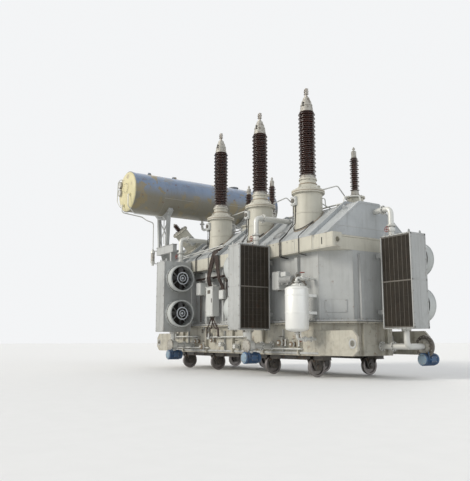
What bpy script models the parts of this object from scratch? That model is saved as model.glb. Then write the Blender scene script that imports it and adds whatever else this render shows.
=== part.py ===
"""A 220 kV class power transformer on roller wheels, at its real size.

Metres, +Z up. Lengths along X are given from the middle of the tank, and the
frame empty then moves everything so that the origin is under the middle of
the whole unit, on the floor that the wheels stand on. The front, with the
high-voltage bushings, looks along -Y.
"""
import math

import bmesh
import bpy
from mathutils import Matrix, Vector

# Clearance left between two faces that are bolted or welded together
SEAT = 0.0003
# Points closer than this are one point
WELD = 0.000004
# How deep a piece reaches into the one that it is fused with
BITE = 0.02
# Bolted flanges of pipes
FLANGE_THICKNESS = 0.03
FLANGE_SIDES = 8

# Wheels and the beams that carry them
WHEEL_SIDES = 16
WHEEL_TREAD_RADIUS = 0.25
WHEEL_FLANGE_DEPTH = 0.03
WHEEL_FLANGE_WIDTH = 0.03
WHEEL_WIDTH = 0.13
WHEEL_WEB_WIDTH = 0.07
WHEEL_HUB_RADIUS = 0.10
WHEEL_RIM_THICKNESS = 0.045
AXLE_RADIUS = 0.055
AXLE_SIDES = 8
AXLE_CLEARANCE = 0.0002
WHEEL_SIDE_GAP = 0.012
WHEEL_TOP_GAP = 0.008
WHEEL_PLACES_X = (-3.53, -1.56, 1.56, 3.53)
WHEEL_TRACK_INSET = 0.35
FORK_PLATE = 0.035
FORK_LENGTH = 0.46
FORK_BELOW_AXLE = 0.10
CARRIAGE_TOP = 0.58
CARRIAGE_BEAM_HEIGHT = 0.12
CARRIAGE_BEAM_WIDTH = 0.30
CARRIAGE_BEAM_OVERHANG = 0.45

# Tank
TANK_HALF_LENGTH = 4.75
TANK_HALF_WIDTH = 1.35
TANK_CORNER_CUT = 0.65
LOWER_TANK_HEIGHT = 0.90
BELL_HEIGHT = 1.89
BELT_FLANGE_REACH = 0.13
BELT_FLANGE_THICKNESS = 0.045
RIB_SPACING = 1.635
RIB_COUNT = 5
RIB_WIDTH = 0.13
RIB_DEPTH = 0.09
RIB_END_MARGIN = 0.10
LOWER_RIB_WIDTH = 0.05
END_RIB_PLACE = 0.45
EAVE_END_OVERHANG = 0.22
EAVE_OVERHANG = 0.25
EAVE_HEIGHT = 0.39
EAVE_EDGE = 0.025
EAVE_CORNER_WIDTH = 0.32
EAVE_LUG_HOLE_RADIUS = 0.07
EAVE_LUG_HOLE_DEPTH = 0.09
ROOF_RISE = 0.98
ROOF_FLAT_HALF_WIDTH = 0.38
ROOF_EDGE_BAND = 0.10
ROOF_EDGE_BAND_HEIGHT = 0.012
ROOF_RIB_PLACES_X = (-3.05, 4.20)
ROOF_FRONT_RIB_PLACES_X = (-0.52, 1.55)
ROOF_RIB_WIDTH = 0.05
ROOF_RIB_HEIGHT = 0.10

# Pulling plates at the four corners
PULL_PLATE_REACH = 0.75
PULL_PLATE_HEIGHT = 0.66
PULL_PLATE_THICKNESS = 0.06
PULL_PLATE_PROUD = 0.01
PULL_EYE_RADIUS = 0.075
PULL_EYE_MARGIN = 0.17

# Share of a shed's pitch that its upper slope takes
SHED_SLOPE_SHARE = 0.62

# High-voltage bushings
HV_PLACES_X = (-1.73, 0.70, 3.10)
HV_PLACE_INSET = 0.80
HV_BARREL_RADIUS = 0.43
HV_FLANGE_RADIUS = 0.50
HV_FLANGE_THICKNESS = 0.10
HV_FLANGE_TOP = 5.29
HV_COLLAR_RADIUS = 0.24
HV_CONE_HEIGHT = 0.20
HV_COLLAR_TOP = 5.65
HV_PORCELAIN_HEIGHT = 2.16
HV_SHED_RADIUS = 0.255
HV_CORE_RADIUS = 0.185
HV_SHED_COUNT = 10
HV_PORCELAIN_SIDES = 12
HV_CAP_RADIUS = 0.17
HV_CAP_HEIGHT = 0.37
HV_CAP_TOP_RADIUS = 0.10
HV_TERMINAL_RADIUS = 0.035
HV_TERMINAL_HEIGHT = 0.30
TURRET_SIDES = 16
CT_BOX_WIDTH = 0.26
CT_BOX_DEPTH = 0.12
CT_BOX_HEIGHT = 0.30
CT_BOX_DROP = 0.16

# Medium-voltage and neutral bushings
MV_PLACES_X = (-0.92, 1.20, 3.30)
MV_PLACE_INSET = 0.70
MV_BARREL_RADIUS = 0.25
MV_FLANGE_RADIUS = 0.30
MV_FLANGE_THICKNESS = 0.05
MV_BANK_TOP = 5.30
MV_BANK_HEADER_TOP = 4.60
MV_BANK_HEADER_HALF_WIDTH = 0.29
MV_BANK_HEADER_OVERHANG = 0.45
MV_BUSHING_FOOT_RADIUS = 0.17
MV_BUSHING_FOOT_HEIGHT = 0.20
MV_PORCELAIN_HEIGHT = 1.05
MV_SHED_RADIUS = 0.145
MV_CORE_RADIUS = 0.085
MV_SHED_COUNT = 5
MV_CAP_RADIUS = 0.08
MV_CAP_HEIGHT = 0.22
MV_TERMINAL_RADIUS = 0.025
MV_TERMINAL_HEIGHT = 0.12
MV_SIDES = 8
NEUTRAL_PLACE_X = -2.40

# Leaning turret on the front slope and its bushing
SIDE_TURRET_X = -3.66
SIDE_TURRET_UP_SLOPE = 0.52
SIDE_TURRET_LEAN = math.radians(45.0)
SIDE_TURRET_RADIUS = 0.26
SIDE_TURRET_LENGTH = 0.72
SIDE_TURRET_FLANGE_RADIUS = 0.31
SIDE_TURRET_BASE_HALF_WIDTH = 0.33
SIDE_TURRET_BASE_HEIGHT = 0.10
SIDE_TURRET_BASE_DEPTH = 0.55
SIDE_BUSHING_LENGTH = 0.36
SIDE_BUSHING_RADIUS = 0.10
SIDE_BUSHING_CORE = 0.06
SIDE_BUSHING_SHEDS = 4

# Conservator
CONSERVATOR_X = -4.42
CONSERVATOR_Z = 6.50
CONSERVATOR_RADIUS = 0.75
CONSERVATOR_HALF_LENGTH = 3.38
CONSERVATOR_WALL = 0.008
CONSERVATOR_SIDES = 24
CONSERVATOR_HEAD_DEPTH = 0.14
CONSERVATOR_HEAD_STEPS = 3
CONSERVATOR_BAND = 0.03
GAUGE_RADIUS = 0.13
GAUGE_DEPTH = 0.07
GAUGE_OFFSET = 0.36
GAUGE_RISE = 0.30
SUPPORT_OVERHANG = 0.12
SUPPORT_BEAM_BOTTOM = 4.23
SUPPORT_BEAM_HEIGHT = 0.28
SUPPORT_BEAM_HALF_LENGTH = 0.68
SUPPORT_BEAM_WIDTH = 0.16
SUPPORT_BEAM_X = -4.15
SUPPORT_LEG_WIDTH = 0.11
SUPPORT_LEG_DEPTH = 0.13
SUPPORT_LEG_ENTRY = 0.22
SUPPORT_LEG_SPREAD_FOOT = 0.30
SUPPORT_LEG_SPREAD_HEAD = 0.42
SUPPORT_SADDLE_HALF_ANGLE = math.radians(46.0)
SUPPORT_SADDLE_DEPTH = 0.17
SUPPORT_GUSSET_THICKNESS = 0.04
SUPPORT_GUSSET_INSET = 0.22
SUPPORT_POST_DROP = 0.15
RELAY_PIPE_RADIUS = 0.05
RELAY_PIPE_ROOF_X = -3.25
RELAY_PIPE_Y = 0.0
RELAY_PIPE_RUN_Z = 5.34
RELAY_BOX = (0.24, 0.20, 0.26)
RELAY_BOX_X = -3.78

# Coolers: core face, then plenum, then two fan barrels one above the other
COOLER_WIDTH = 1.05
COOLER_HEIGHT = 2.43
COOLER_DEPTH = 0.58
COOLER_BOTTOM = 1.28
COOLER_WALL = 0.03
CORE_DEPTH = 0.26
CORE_FINS = 8
CORE_FIN_DEPTH = 0.05
BARREL_LENGTH = 0.36
BARREL_RADIUS = 0.45
BARREL_WALL = 0.03
BARREL_SIDES = 16
FAN_SPACING = 1.20
FAN_TIP_CLEARANCE = 0.015
FAN_HUB_RADIUS = 0.10
FAN_HUB_DEPTH = 0.10
FAN_BLADES = 4
FAN_BLADE_CHORD = 0.17
FAN_BLADE_THICKNESS = 0.012
FAN_BLADE_PITCH = math.radians(32.0)
FAN_SHAFT_RADIUS = 0.03
FAN_SHAFT_CLEARANCE = 0.0002
FAN_FACE_GAP = 0.012
FAN_INSET = 0.10
MOTOR_RADIUS = 0.09
MOTOR_LENGTH = 0.16
MOTOR_ARM_WIDTH = 0.05
MOTOR_ARM_THICKNESS = 0.03
COOLER_BRACKET = 0.12
COOLER_BRACKET_DROP = 0.45
FRONT_LEFT_COOLER_X = -2.94
FRONT_RIGHT_COOLER_X = 2.30
END_COOLER_Y = -0.10
FRONT_COOLER_GAP = 0.035
END_COOLER_GAP = 0.20
OIL_PIPE_RADIUS = 0.075
OIL_PIPE_FLANGE_RADIUS = 0.125
OIL_PIPE_BEND = 0.14
TOP_PIPE_RUN_Z = 4.57
TOP_PIPE_SHIFT = 0.26
PUMP_LINE_Z = 0.83
PUMP_FACE_RADIUS = 0.19
PUMP_FACE_THICKNESS = 0.05
PUMP_VOLUTE_RADIUS = 0.15
PUMP_VOLUTE_LENGTH = 0.20
PUMP_NECK_RADIUS = 0.09
PUMP_MOTOR_DROP = 0.33
PUMP_MOTOR_RADIUS = 0.15
PUMP_MOTOR_LENGTH = 0.52
PUMP_MOTOR_FRONT = 0.12
PUMP_SIDES = 10
END_TOP_PIPE_Z = 4.50
END_TOP_PIPE_SHIFT = 0.37
END_PUMP_REACH = 0.66
END_PUMP_BRANCH = 0.08

# Oil filter vessel and control cabinet on the front wall
VESSEL_X = 3.95
VESSEL_REACH = 0.63
VESSEL_RADIUS = 0.31
VESSEL_BOTTOM = 1.30
VESSEL_HEIGHT = 1.02
VESSEL_DOME = 0.10
VESSEL_DOME_STEPS = 3
VESSEL_SIDES = 20
VESSEL_BRACKET_WIDTH = 0.16
VESSEL_BRACKET_HEIGHT = 0.08
VESSEL_BRACKET_RISE = 0.14
CABINET_X = -1.03
CABINET_WIDTH = 0.44
CABINET_DEPTH = 0.26
CABINET_HEIGHT = 0.97
CABINET_BOTTOM = 1.77
CABINET_BRACKET = 0.06

# Heights and places that follow from the sizes above
AXLE_HALF_STEP = math.pi / AXLE_SIDES
AXLE_HEIGHT = (WHEEL_TREAD_RADIUS + WHEEL_FLANGE_DEPTH) * math.cos(math.pi / WHEEL_SIDES)
TANK_BOTTOM = CARRIAGE_TOP + SEAT
WHEEL_TRACK_HALF = TANK_HALF_WIDTH - WHEEL_TRACK_INSET
EAVE_HALF_LENGTH = TANK_HALF_LENGTH + EAVE_END_OVERHANG
EAVE_HALF_WIDTH = TANK_HALF_WIDTH + EAVE_OVERHANG
HV_PLACE_Y = -(EAVE_HALF_WIDTH - HV_PLACE_INSET)
MV_PLACE_Y = EAVE_HALF_WIDTH - MV_PLACE_INSET
SUPPORT_PLACE_Y = EAVE_HALF_WIDTH + SUPPORT_OVERHANG
VESSEL_Y = -(TANK_HALF_WIDTH + VESSEL_REACH)
BELT_LEVEL = CARRIAGE_TOP + LOWER_TANK_HEIGHT
EAVE_BOTTOM = BELT_LEVEL + BELL_HEIGHT
EAVE_TOP = EAVE_BOTTOM + EAVE_HEIGHT
ROOF_TOP = EAVE_TOP + ROOF_RISE
FRONT_COOLER_Y = -(EAVE_HALF_WIDTH + FRONT_COOLER_GAP + COOLER_WIDTH / 2)
END_COOLER_X = EAVE_HALF_LENGTH + END_COOLER_GAP + COOLER_WIDTH / 2
FAN_MIDDLE_Z = COOLER_BOTTOM + COOLER_HEIGHT / 2

# The whole unit reaches from the pulling plates on the left to the end cooler
UNIT_LEFT = -(TANK_HALF_LENGTH + PULL_PLATE_REACH)
UNIT_RIGHT = END_COOLER_X + COOLER_WIDTH / 2
FRAME_X = -(UNIT_LEFT + UNIT_RIGHT) / 2
FRAME_Y = GAUGE_DEPTH / 2

PART_COLLECTION = "power_transformer"
CUTTER_COLLECTION = "shaping_bodies"


def clear_scene():
    """Remove whatever the file holds, and make the two collections."""
    for obj in list(bpy.data.objects):
        bpy.data.objects.remove(obj, do_unlink=True)
    for name in (PART_COLLECTION, CUTTER_COLLECTION):
        if name not in bpy.data.collections:
            bpy.data.collections.new(name)
        if name not in bpy.context.scene.collection.children:
            bpy.context.scene.collection.children.link(bpy.data.collections[name])
    frame = bpy.data.objects.new("transformer_frame", None)
    frame.location = (FRAME_X, FRAME_Y, 0.0)
    bpy.data.collections[PART_COLLECTION].objects.link(frame)
    return frame


def finish(name, colour, roughness, metallic=0.0):
    """Make one plain Principled material."""
    material = bpy.data.materials.new(name)
    material.use_nodes = True
    shader = material.node_tree.nodes["Principled BSDF"]
    shader.inputs["Base Color"].default_value = (*colour, 1.0)
    shader.inputs["Roughness"].default_value = roughness
    shader.inputs["Metallic"].default_value = metallic
    return material


# Shapes: each function gives an object in the cutters' collection, until it
# is published as a part or used up in a Boolean

def hold(name, data):
    """Put new mesh or curve data in the cutters' collection."""
    obj = bpy.data.objects.new(name, data)
    bpy.data.collections[CUTTER_COLLECTION].objects.link(obj)
    obj.hide_render = True
    obj.display_type = 'WIRE'
    return obj


def discard(obj):
    """Remove an object that has been used up."""
    bpy.data.objects.remove(obj, do_unlink=True)


def box(low, high):
    """A box between two corners."""
    low, high = Vector(low), Vector(high)
    mesh = bpy.data.meshes.new("box")
    shape = bmesh.new()
    place = Matrix.Translation((low + high) / 2) @ Matrix.Diagonal((*(high - low), 1.0))
    bmesh.ops.create_cube(shape, size=1.0, matrix=place)
    shape.to_mesh(mesh)
    shape.free()
    return hold("box", mesh)


def chamfered_slab(half_length, half_width, corner, bottom, top):
    """A slab whose four upright edges are cut off at 45 degrees."""
    slab = box((-half_length, -half_width, bottom), (half_length, half_width, top))
    shape = bmesh.new()
    shape.from_mesh(slab.data)
    upright = [edge for edge in shape.edges
               if abs(edge.verts[0].co.z - edge.verts[1].co.z) > SEAT]
    bmesh.ops.bevel(shape, geom=upright, offset=corner, segments=1, affect='EDGES')
    shape.to_mesh(slab.data)
    shape.free()
    return slab


def turned(profile, sides, place=None):
    """A solid of revolution about Z; the profile runs from top to bottom."""
    mesh = bpy.data.meshes.new("turned")
    mesh.from_pydata([(radius, 0.0, z) for radius, z in profile],
                     [(i, i + 1) for i in range(len(profile) - 1)], [])
    obj = hold("turned", mesh)
    screw = obj.modifiers.new("turn", 'SCREW')
    screw.steps = screw.render_steps = sides
    screw.use_merge_vertices = True
    screw.merge_threshold = 0.0001
    return settle(obj, place)


def turned_ring(profile, sides, place=None):
    """A turned shape with a bore: the closed profile runs top to bottom outside."""
    return turned([*profile, profile[0]], sides, place)


def outline_plate(loops, thickness, place=None):
    """A flat plate about the XY plane; the loops after the first are holes."""
    curve = bpy.data.curves.new("outline", 'CURVE')
    curve.dimensions = '2D'
    curve.fill_mode = 'BOTH'
    curve.extrude = thickness / 2
    for loop in loops:
        spline = curve.splines.new('POLY')
        spline.points.add(len(loop) - 1)
        for point, (x, y) in zip(spline.points, loop):
            point.co = (x, y, 0.0, 1.0)
        spline.use_cyclic_u = True
    return settle(hold("plate", curve), place)


def rounded_route(points, radius, steps=2):
    """Corner points of a pipe route, with each corner replaced by an arc."""
    points = [Vector(point) for point in points]
    route = [points[0]]
    for before, corner, after in zip(points, points[1:], points[2:]):
        arrive = (before - corner).normalized()
        leave = (after - corner).normalized()
        half = arrive.angle(leave) / 2
        setback = radius / math.tan(half)
        centre = corner + (arrive + leave).normalized() * (radius / math.sin(half))
        start = corner + arrive * setback - centre
        end = corner + leave * setback - centre
        swing = start.angle(end)
        route += [centre + (start * math.sin(swing * (1 - k / steps))
                            + end * math.sin(swing * k / steps)) / math.sin(swing)
                  for k in range(steps + 1)]
    return [*route, points[-1]]


def tube(points, radius, bend=None):
    """A round bar or pipe along a route."""
    route = rounded_route(points, bend) if bend else [Vector(point) for point in points]
    curve = bpy.data.curves.new("tube", 'CURVE')
    curve.dimensions = '3D'
    curve.bevel_depth = radius
    curve.bevel_resolution = 2
    curve.use_fill_caps = True
    spline = curve.splines.new('POLY')
    spline.points.add(len(route) - 1)
    for point, place in zip(spline.points, route):
        point.co = (*place, 1.0)
    pipe = settle(hold("tube", curve))
    shape = bmesh.new()
    shape.from_mesh(pipe.data)
    bmesh.ops.triangulate(shape, faces=shape.faces)
    shape.to_mesh(pipe.data)
    shape.free()
    return pipe


def settle(obj, place=None):
    """Turn an object and its modifiers into one plain mesh, set in place."""
    bpy.context.view_layer.update()
    evaluated = obj.evaluated_get(bpy.context.evaluated_depsgraph_get())
    mesh = bpy.data.meshes.new_from_object(evaluated)
    matrix = obj.matrix_world.copy()
    discard(obj)
    mesh.transform(place @ matrix if place else matrix)
    shape = bmesh.new()
    shape.from_mesh(mesh)
    bmesh.ops.remove_doubles(shape, verts=shape.verts, dist=WELD)
    bmesh.ops.recalc_face_normals(shape, faces=shape.faces)
    shape.to_mesh(mesh)
    shape.free()
    return hold("settled", mesh)


def joined(base, others, operation='UNION'):
    """Fuse the others with the base, or cut them out of it, and use them up."""
    for other in others:
        step = base.modifiers.new("join", 'BOOLEAN')
        step.operation = operation
        step.solver = 'EXACT'
        step.object = other
    result = settle(base)
    for other in others:
        discard(other)
    return result


def cut(base, cutters):
    """Cut shapes out of a base."""
    return joined(base, cutters, 'DIFFERENCE')


def copied(obj, offset=(0.0, 0.0, 0.0)):
    """A copy of a settled shape, moved."""
    mesh = obj.data.copy()
    mesh.transform(Matrix.Translation(offset))
    return hold("copy", mesh)


def publish(name, shape, material, frame, place=None, angle=30.0):
    """Make a settled shape a part of the transformer under its own name."""
    mesh = shape.data.copy()
    mesh.name = name
    discard(shape)
    mesh.materials.clear()
    mesh.materials.append(material)
    mesh.shade_smooth()
    mesh.set_sharp_from_angle(angle=math.radians(angle))
    return publish_mesh(name, mesh, frame, place)


def publish_mesh(name, mesh, frame, place=None):
    """Put a finished mesh under the frame; copies may share one mesh."""
    obj = bpy.data.objects.new(name, mesh)
    bpy.data.collections[PART_COLLECTION].objects.link(obj)
    obj.parent = frame
    if place:
        obj.matrix_local = place
    return obj


def moved(obj, place):
    """Move a settled shape; a mirroring matrix keeps its faces outwards."""
    obj.data.transform(place)
    if place.determinant() < 0:
        obj.data.flip_normals()
    return obj


def at(x, y, z):
    """A matrix that moves to a point."""
    return Matrix.Translation((x, y, z))


def turn(angle, axis):
    """A matrix that turns about an axis."""
    return Matrix.Rotation(angle, 4, axis)


# Axis Z turned so that it points along X, along Y or down the front slope
ALONG_X = turn(math.pi / 2, 'Y')
ALONG_Y = turn(-math.pi / 2, 'X')


def roof_outline(proud=0.0):
    """Half-section of the roof as (y, z), grown outwards by a clearance."""
    run = EAVE_HALF_WIDTH - ROOF_FLAT_HALF_WIDTH
    slope = math.atan2(ROOF_RISE, run)
    shift = proud / math.sin(slope) - proud / math.tan(slope) if proud else 0.0
    wide = EAVE_HALF_WIDTH + proud / math.sin(slope)
    flat = ROOF_FLAT_HALF_WIDTH + shift
    return [(wide, EAVE_TOP), (flat, ROOF_TOP + proud)]


def roof_prism(half_length, proud=0.0, bottom=None):
    """The roof's cross-section carried along X."""
    half = roof_outline(proud)
    low = EAVE_TOP if bottom is None else bottom
    foot = [(half[0][0], low)] if bottom is not None else []
    side = foot + half
    outline = side + [(-y, z) for y, z in reversed(side)]
    place = Matrix(((0, 0, 1, 0), (1, 0, 0, 0), (0, 1, 0, 0), (0, 0, 0, 1)))
    return outline_plate([outline], 2 * half_length, place)


def roof_cutter():
    """What a piece that stands on the roof is cut by."""
    return roof_prism(EAVE_HALF_LENGTH + SEAT, SEAT, EAVE_BOTTOM)


def conservator_cutter():
    """What a piece that carries the conservator is cut by."""
    radius = (CONSERVATOR_RADIUS + SEAT) / math.cos(math.pi / CONSERVATOR_SIDES)
    half = CONSERVATOR_HALF_LENGTH
    place = at(CONSERVATOR_X, 0.0, CONSERVATOR_Z) @ ALONG_Y
    return turned([(0, half), (radius, half), (radius, -half), (0, -half)],
                  CONSERVATOR_SIDES, place)


def wall_ribs(bottom, top, width, depth, places_x, places_y):
    """Upright stiffeners on the four walls of the tank."""
    ribs = []
    for x in places_x:
        for side in (-1, 1):
            inner = side * (TANK_HALF_WIDTH - BITE)
            outer = side * (TANK_HALF_WIDTH + depth)
            ribs.append(box((x - width / 2, min(inner, outer), bottom),
                            (x + width / 2, max(inner, outer), top)))
    for y in places_y:
        for side in (-1, 1):
            inner = side * (TANK_HALF_LENGTH - BITE)
            outer = side * (TANK_HALF_LENGTH + depth)
            ribs.append(box((min(inner, outer), y - width / 2, bottom),
                            (max(inner, outer), y + width / 2, top)))
    return ribs


def rib_places():
    """Where the stiffeners stand along the tank."""
    return [RIB_SPACING * (i - (RIB_COUNT - 1) / 2) for i in range(RIB_COUNT)]


def belt_flange(bottom, top):
    """One of the two flanges that are bolted together round the tank."""
    corner = TANK_CORNER_CUT + BELT_FLANGE_REACH * (2 - math.sqrt(2))
    return chamfered_slab(TANK_HALF_LENGTH + BELT_FLANGE_REACH,
                          TANK_HALF_WIDTH + BELT_FLANGE_REACH, corner, bottom, top)


def pull_plate(side_x, side_y):
    """A towing plate with an eye at one corner of the lower tank."""
    root = TANK_HALF_LENGTH - 2 * TANK_CORNER_CUT
    tip = TANK_HALF_LENGTH + PULL_PLATE_REACH
    top = TANK_BOTTOM + PULL_PLATE_HEIGHT
    eye_x = tip - PULL_EYE_MARGIN
    eye_z = TANK_BOTTOM + PULL_PLATE_HEIGHT / 2
    nose = PULL_PLATE_HEIGHT / 4
    outline = [(root, TANK_BOTTOM + BITE), (tip - nose, TANK_BOTTOM + BITE),
               (tip, TANK_BOTTOM + nose), (tip, top - nose), (tip - nose, top), (root, top)]
    eye = [(eye_x + PULL_EYE_RADIUS * math.cos(a), eye_z + PULL_EYE_RADIUS * math.sin(a))
           for a in [2 * math.pi * k / AXLE_SIDES for k in range(AXLE_SIDES)]]
    loops = [[(side_x * x, z) for x, z in loop] for loop in (outline, eye)]
    middle = TANK_HALF_WIDTH + PULL_PLATE_PROUD - PULL_PLATE_THICKNESS / 2
    return outline_plate(loops, PULL_PLATE_THICKNESS,
                         at(0, side_y * middle, 0) @ turn(math.pi / 2, 'X'))


def build_lower_tank(frame, paint):
    """The trough under the belt flange, with stiffeners and pulling plates."""
    body = chamfered_slab(TANK_HALF_LENGTH, TANK_HALF_WIDTH, TANK_CORNER_CUT,
                          TANK_BOTTOM, BELT_LEVEL - BITE / 2)
    flange = belt_flange(BELT_LEVEL - BELT_FLANGE_THICKNESS, BELT_LEVEL)
    rib_top = BELT_LEVEL - BELT_FLANGE_THICKNESS / 2
    ribs = wall_ribs(TANK_BOTTOM + BITE, rib_top, LOWER_RIB_WIDTH, RIB_DEPTH,
                     rib_places(), (-END_RIB_PLACE, END_RIB_PLACE))
    plates = [pull_plate(sx, sy) for sx in (-1, 1) for sy in (-1, 1)]
    publish("lower_tank", joined(body, [flange, *ribs, *plates]), paint, frame)


def build_bell_tank(frame, paint):
    """The upper part of the tank, from the belt flange to the eave."""
    bottom = BELT_LEVEL + SEAT
    body = chamfered_slab(TANK_HALF_LENGTH, TANK_HALF_WIDTH, TANK_CORNER_CUT,
                          bottom + BITE / 2, EAVE_BOTTOM)
    flange = belt_flange(bottom, bottom + BELT_FLANGE_THICKNESS)
    ribs = wall_ribs(bottom + BELT_FLANGE_THICKNESS / 2, EAVE_BOTTOM - RIB_END_MARGIN,
                     RIB_WIDTH, RIB_DEPTH, rib_places(), (-END_RIB_PLACE, END_RIB_PLACE))
    publish("bell_tank", joined(body, [flange, *ribs]), paint, frame)


def build_eave(frame, paint):
    """The box beam along both long walls, with a lifting corner at each end."""
    bottom, top = EAVE_BOTTOM + SEAT, EAVE_TOP - SEAT
    beam = chamfered_slab(EAVE_HALF_LENGTH, EAVE_HALF_WIDTH, EAVE_EDGE, bottom, top)
    recess_half = EAVE_HALF_WIDTH - EAVE_CORNER_WIDTH
    openings = []
    for side in (-1, 1):
        inner, outer = side * TANK_HALF_LENGTH, side * (EAVE_HALF_LENGTH + BITE)
        openings.append(box((min(inner, outer), -recess_half, bottom - BITE),
                            (max(inner, outer), recess_half, top + BITE)))
        for edge in (-1, 1):
            hole_y = edge * (EAVE_HALF_WIDTH - EAVE_CORNER_WIDTH / 2)
            face = side * EAVE_HALF_LENGTH
            hole = turned([(0, EAVE_LUG_HOLE_DEPTH),
                           (EAVE_LUG_HOLE_RADIUS, EAVE_LUG_HOLE_DEPTH),
                           (EAVE_LUG_HOLE_RADIUS, -EAVE_LUG_HOLE_DEPTH),
                           (0, -EAVE_LUG_HOLE_DEPTH)], AXLE_SIDES,
                          at(face, hole_y, (bottom + top) / 2) @ ALONG_X)
            openings.append(hole)
    publish("eave_beam", cut(beam, openings), paint, frame)


def build_roof(frame, paint):
    """The roof with its sloping shoulders, edge bands and stiffeners."""
    body = roof_prism(TANK_HALF_LENGTH)
    bands = []
    for side in (-1, 1):
        place = at(side * (TANK_HALF_LENGTH - ROOF_EDGE_BAND / 2), 0, 0)
        bands.append(moved(roof_prism(ROOF_EDGE_BAND / 2, ROOF_EDGE_BAND_HEIGHT), place))
    ribs = []
    for x in ROOF_RIB_PLACES_X:
        ribs.append(moved(roof_prism(ROOF_RIB_WIDTH / 2, ROOF_RIB_HEIGHT), at(x, 0, 0)))
    for x in ROOF_FRONT_RIB_PLACES_X:
        rear = box((-ROOF_RIB_WIDTH, 0, EAVE_BOTTOM),
                   (ROOF_RIB_WIDTH, 2 * EAVE_HALF_WIDTH, 2 * ROOF_TOP))
        rib = cut(roof_prism(ROOF_RIB_WIDTH / 2, ROOF_RIB_HEIGHT), [rear])
        ribs.append(moved(rib, at(x, 0, 0)))
    roof = joined(body, [*bands, *ribs])
    trim = box((-2 * EAVE_HALF_LENGTH, -2 * EAVE_HALF_WIDTH, EAVE_BOTTOM),
               (2 * EAVE_HALF_LENGTH, 2 * EAVE_HALF_WIDTH, EAVE_TOP))
    publish("shoulder_roof", cut(roof, [trim]), paint, frame)


def shed_profile(core, shed, bottom, top, count):
    """Profile of a porcelain with sloping sheds, from top to bottom."""
    pitch = (top - bottom) / count
    points = [(0.0, top), (core, top)]
    for k in range(count):
        shed_top = top - k * pitch
        points += [(shed, shed_top - SHED_SLOPE_SHARE * pitch), (core, shed_top - pitch)]
    return [*points, (0.0, bottom)]


def build_hv_bushings(frame, paint, glaze, metal):
    """The three tall bushings and the turrets that they stand on."""
    cone_top = HV_FLANGE_TOP + HV_CONE_HEIGHT
    barrel = turned([(0, HV_COLLAR_TOP), (HV_COLLAR_RADIUS, HV_COLLAR_TOP),
                     (HV_COLLAR_RADIUS, cone_top), (HV_BARREL_RADIUS, HV_FLANGE_TOP),
                     (HV_FLANGE_RADIUS, HV_FLANGE_TOP),
                     (HV_FLANGE_RADIUS, HV_FLANGE_TOP - HV_FLANGE_THICKNESS),
                     (HV_BARREL_RADIUS, HV_FLANGE_TOP - HV_FLANGE_THICKNESS),
                     (HV_BARREL_RADIUS, EAVE_BOTTOM + BITE), (0, EAVE_BOTTOM + BITE)],
                    TURRET_SIDES, at(0, HV_PLACE_Y, 0))
    box_top = HV_FLANGE_TOP - HV_FLANGE_THICKNESS - CT_BOX_DROP
    ct_box = box((-HV_BARREL_RADIUS - CT_BOX_DEPTH, HV_PLACE_Y - CT_BOX_WIDTH / 2,
                  box_top - CT_BOX_HEIGHT),
                 (-HV_BARREL_RADIUS + 2 * BITE, HV_PLACE_Y + CT_BOX_WIDTH / 2, box_top))
    turret = cut(joined(barrel, [ct_box]), [roof_cutter()])
    porcelain_bottom = HV_COLLAR_TOP + SEAT
    porcelain_top = HV_COLLAR_TOP + HV_PORCELAIN_HEIGHT
    porcelain = turned(shed_profile(HV_CORE_RADIUS, HV_SHED_RADIUS, porcelain_bottom,
                                    porcelain_top, HV_SHED_COUNT),
                       HV_PORCELAIN_SIDES, at(0, HV_PLACE_Y, 0))
    cap_bottom = porcelain_top + SEAT
    cap_top = porcelain_top + HV_CAP_HEIGHT
    cap = turned([(0, cap_top + HV_TERMINAL_HEIGHT),
                  (HV_TERMINAL_RADIUS, cap_top + HV_TERMINAL_HEIGHT),
                  (HV_TERMINAL_RADIUS, cap_top), (HV_CAP_TOP_RADIUS, cap_top),
                  (HV_CAP_TOP_RADIUS, cap_top - HV_CAP_HEIGHT / 4),
                  (HV_CAP_RADIUS, cap_bottom + HV_CAP_HEIGHT / 4),
                  (HV_CAP_RADIUS, cap_bottom), (0, cap_bottom)],
                 TURRET_SIDES // 2, at(0, HV_PLACE_Y, 0))
    for number, x in enumerate(HV_PLACES_X, 1):
        publish(f"hv_turret_{number}", copied(turret, (x, 0, 0)), paint, frame)
        publish(f"hv_porcelain_{number}", copied(porcelain, (x, 0, 0)), glaze, frame)
        publish(f"hv_cap_{number}", copied(cap, (x, 0, 0)), metal, frame)
    for shape in (turret, porcelain, cap):
        discard(shape)


def small_bushing_profile(bottom):
    """Profile of a medium-voltage bushing with its foot, cap and terminal."""
    foot_top = bottom + MV_BUSHING_FOOT_HEIGHT
    shed_top = foot_top + MV_PORCELAIN_HEIGHT
    cap_top = shed_top + MV_CAP_HEIGHT
    sheds = shed_profile(MV_CORE_RADIUS, MV_SHED_RADIUS, foot_top, shed_top, MV_SHED_COUNT)
    return [(0, cap_top + MV_TERMINAL_HEIGHT), (MV_TERMINAL_RADIUS, cap_top + MV_TERMINAL_HEIGHT),
            (MV_TERMINAL_RADIUS, cap_top), (MV_CAP_RADIUS, cap_top), (MV_CAP_RADIUS, shed_top),
            *sheds[1:-1], (MV_BUSHING_FOOT_RADIUS, foot_top), (MV_BUSHING_FOOT_RADIUS, bottom),
            (0, bottom)]


def small_turret(x, top):
    """An upright turret for one medium-voltage bushing."""
    return turned([(0, top), (MV_FLANGE_RADIUS, top),
                   (MV_FLANGE_RADIUS, top - MV_FLANGE_THICKNESS),
                   (MV_BARREL_RADIUS, top - MV_FLANGE_THICKNESS),
                   (MV_BARREL_RADIUS, EAVE_BOTTOM + BITE), (0, EAVE_BOTTOM + BITE)],
                  TURRET_SIDES // 2, at(x, MV_PLACE_Y, 0))


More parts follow.
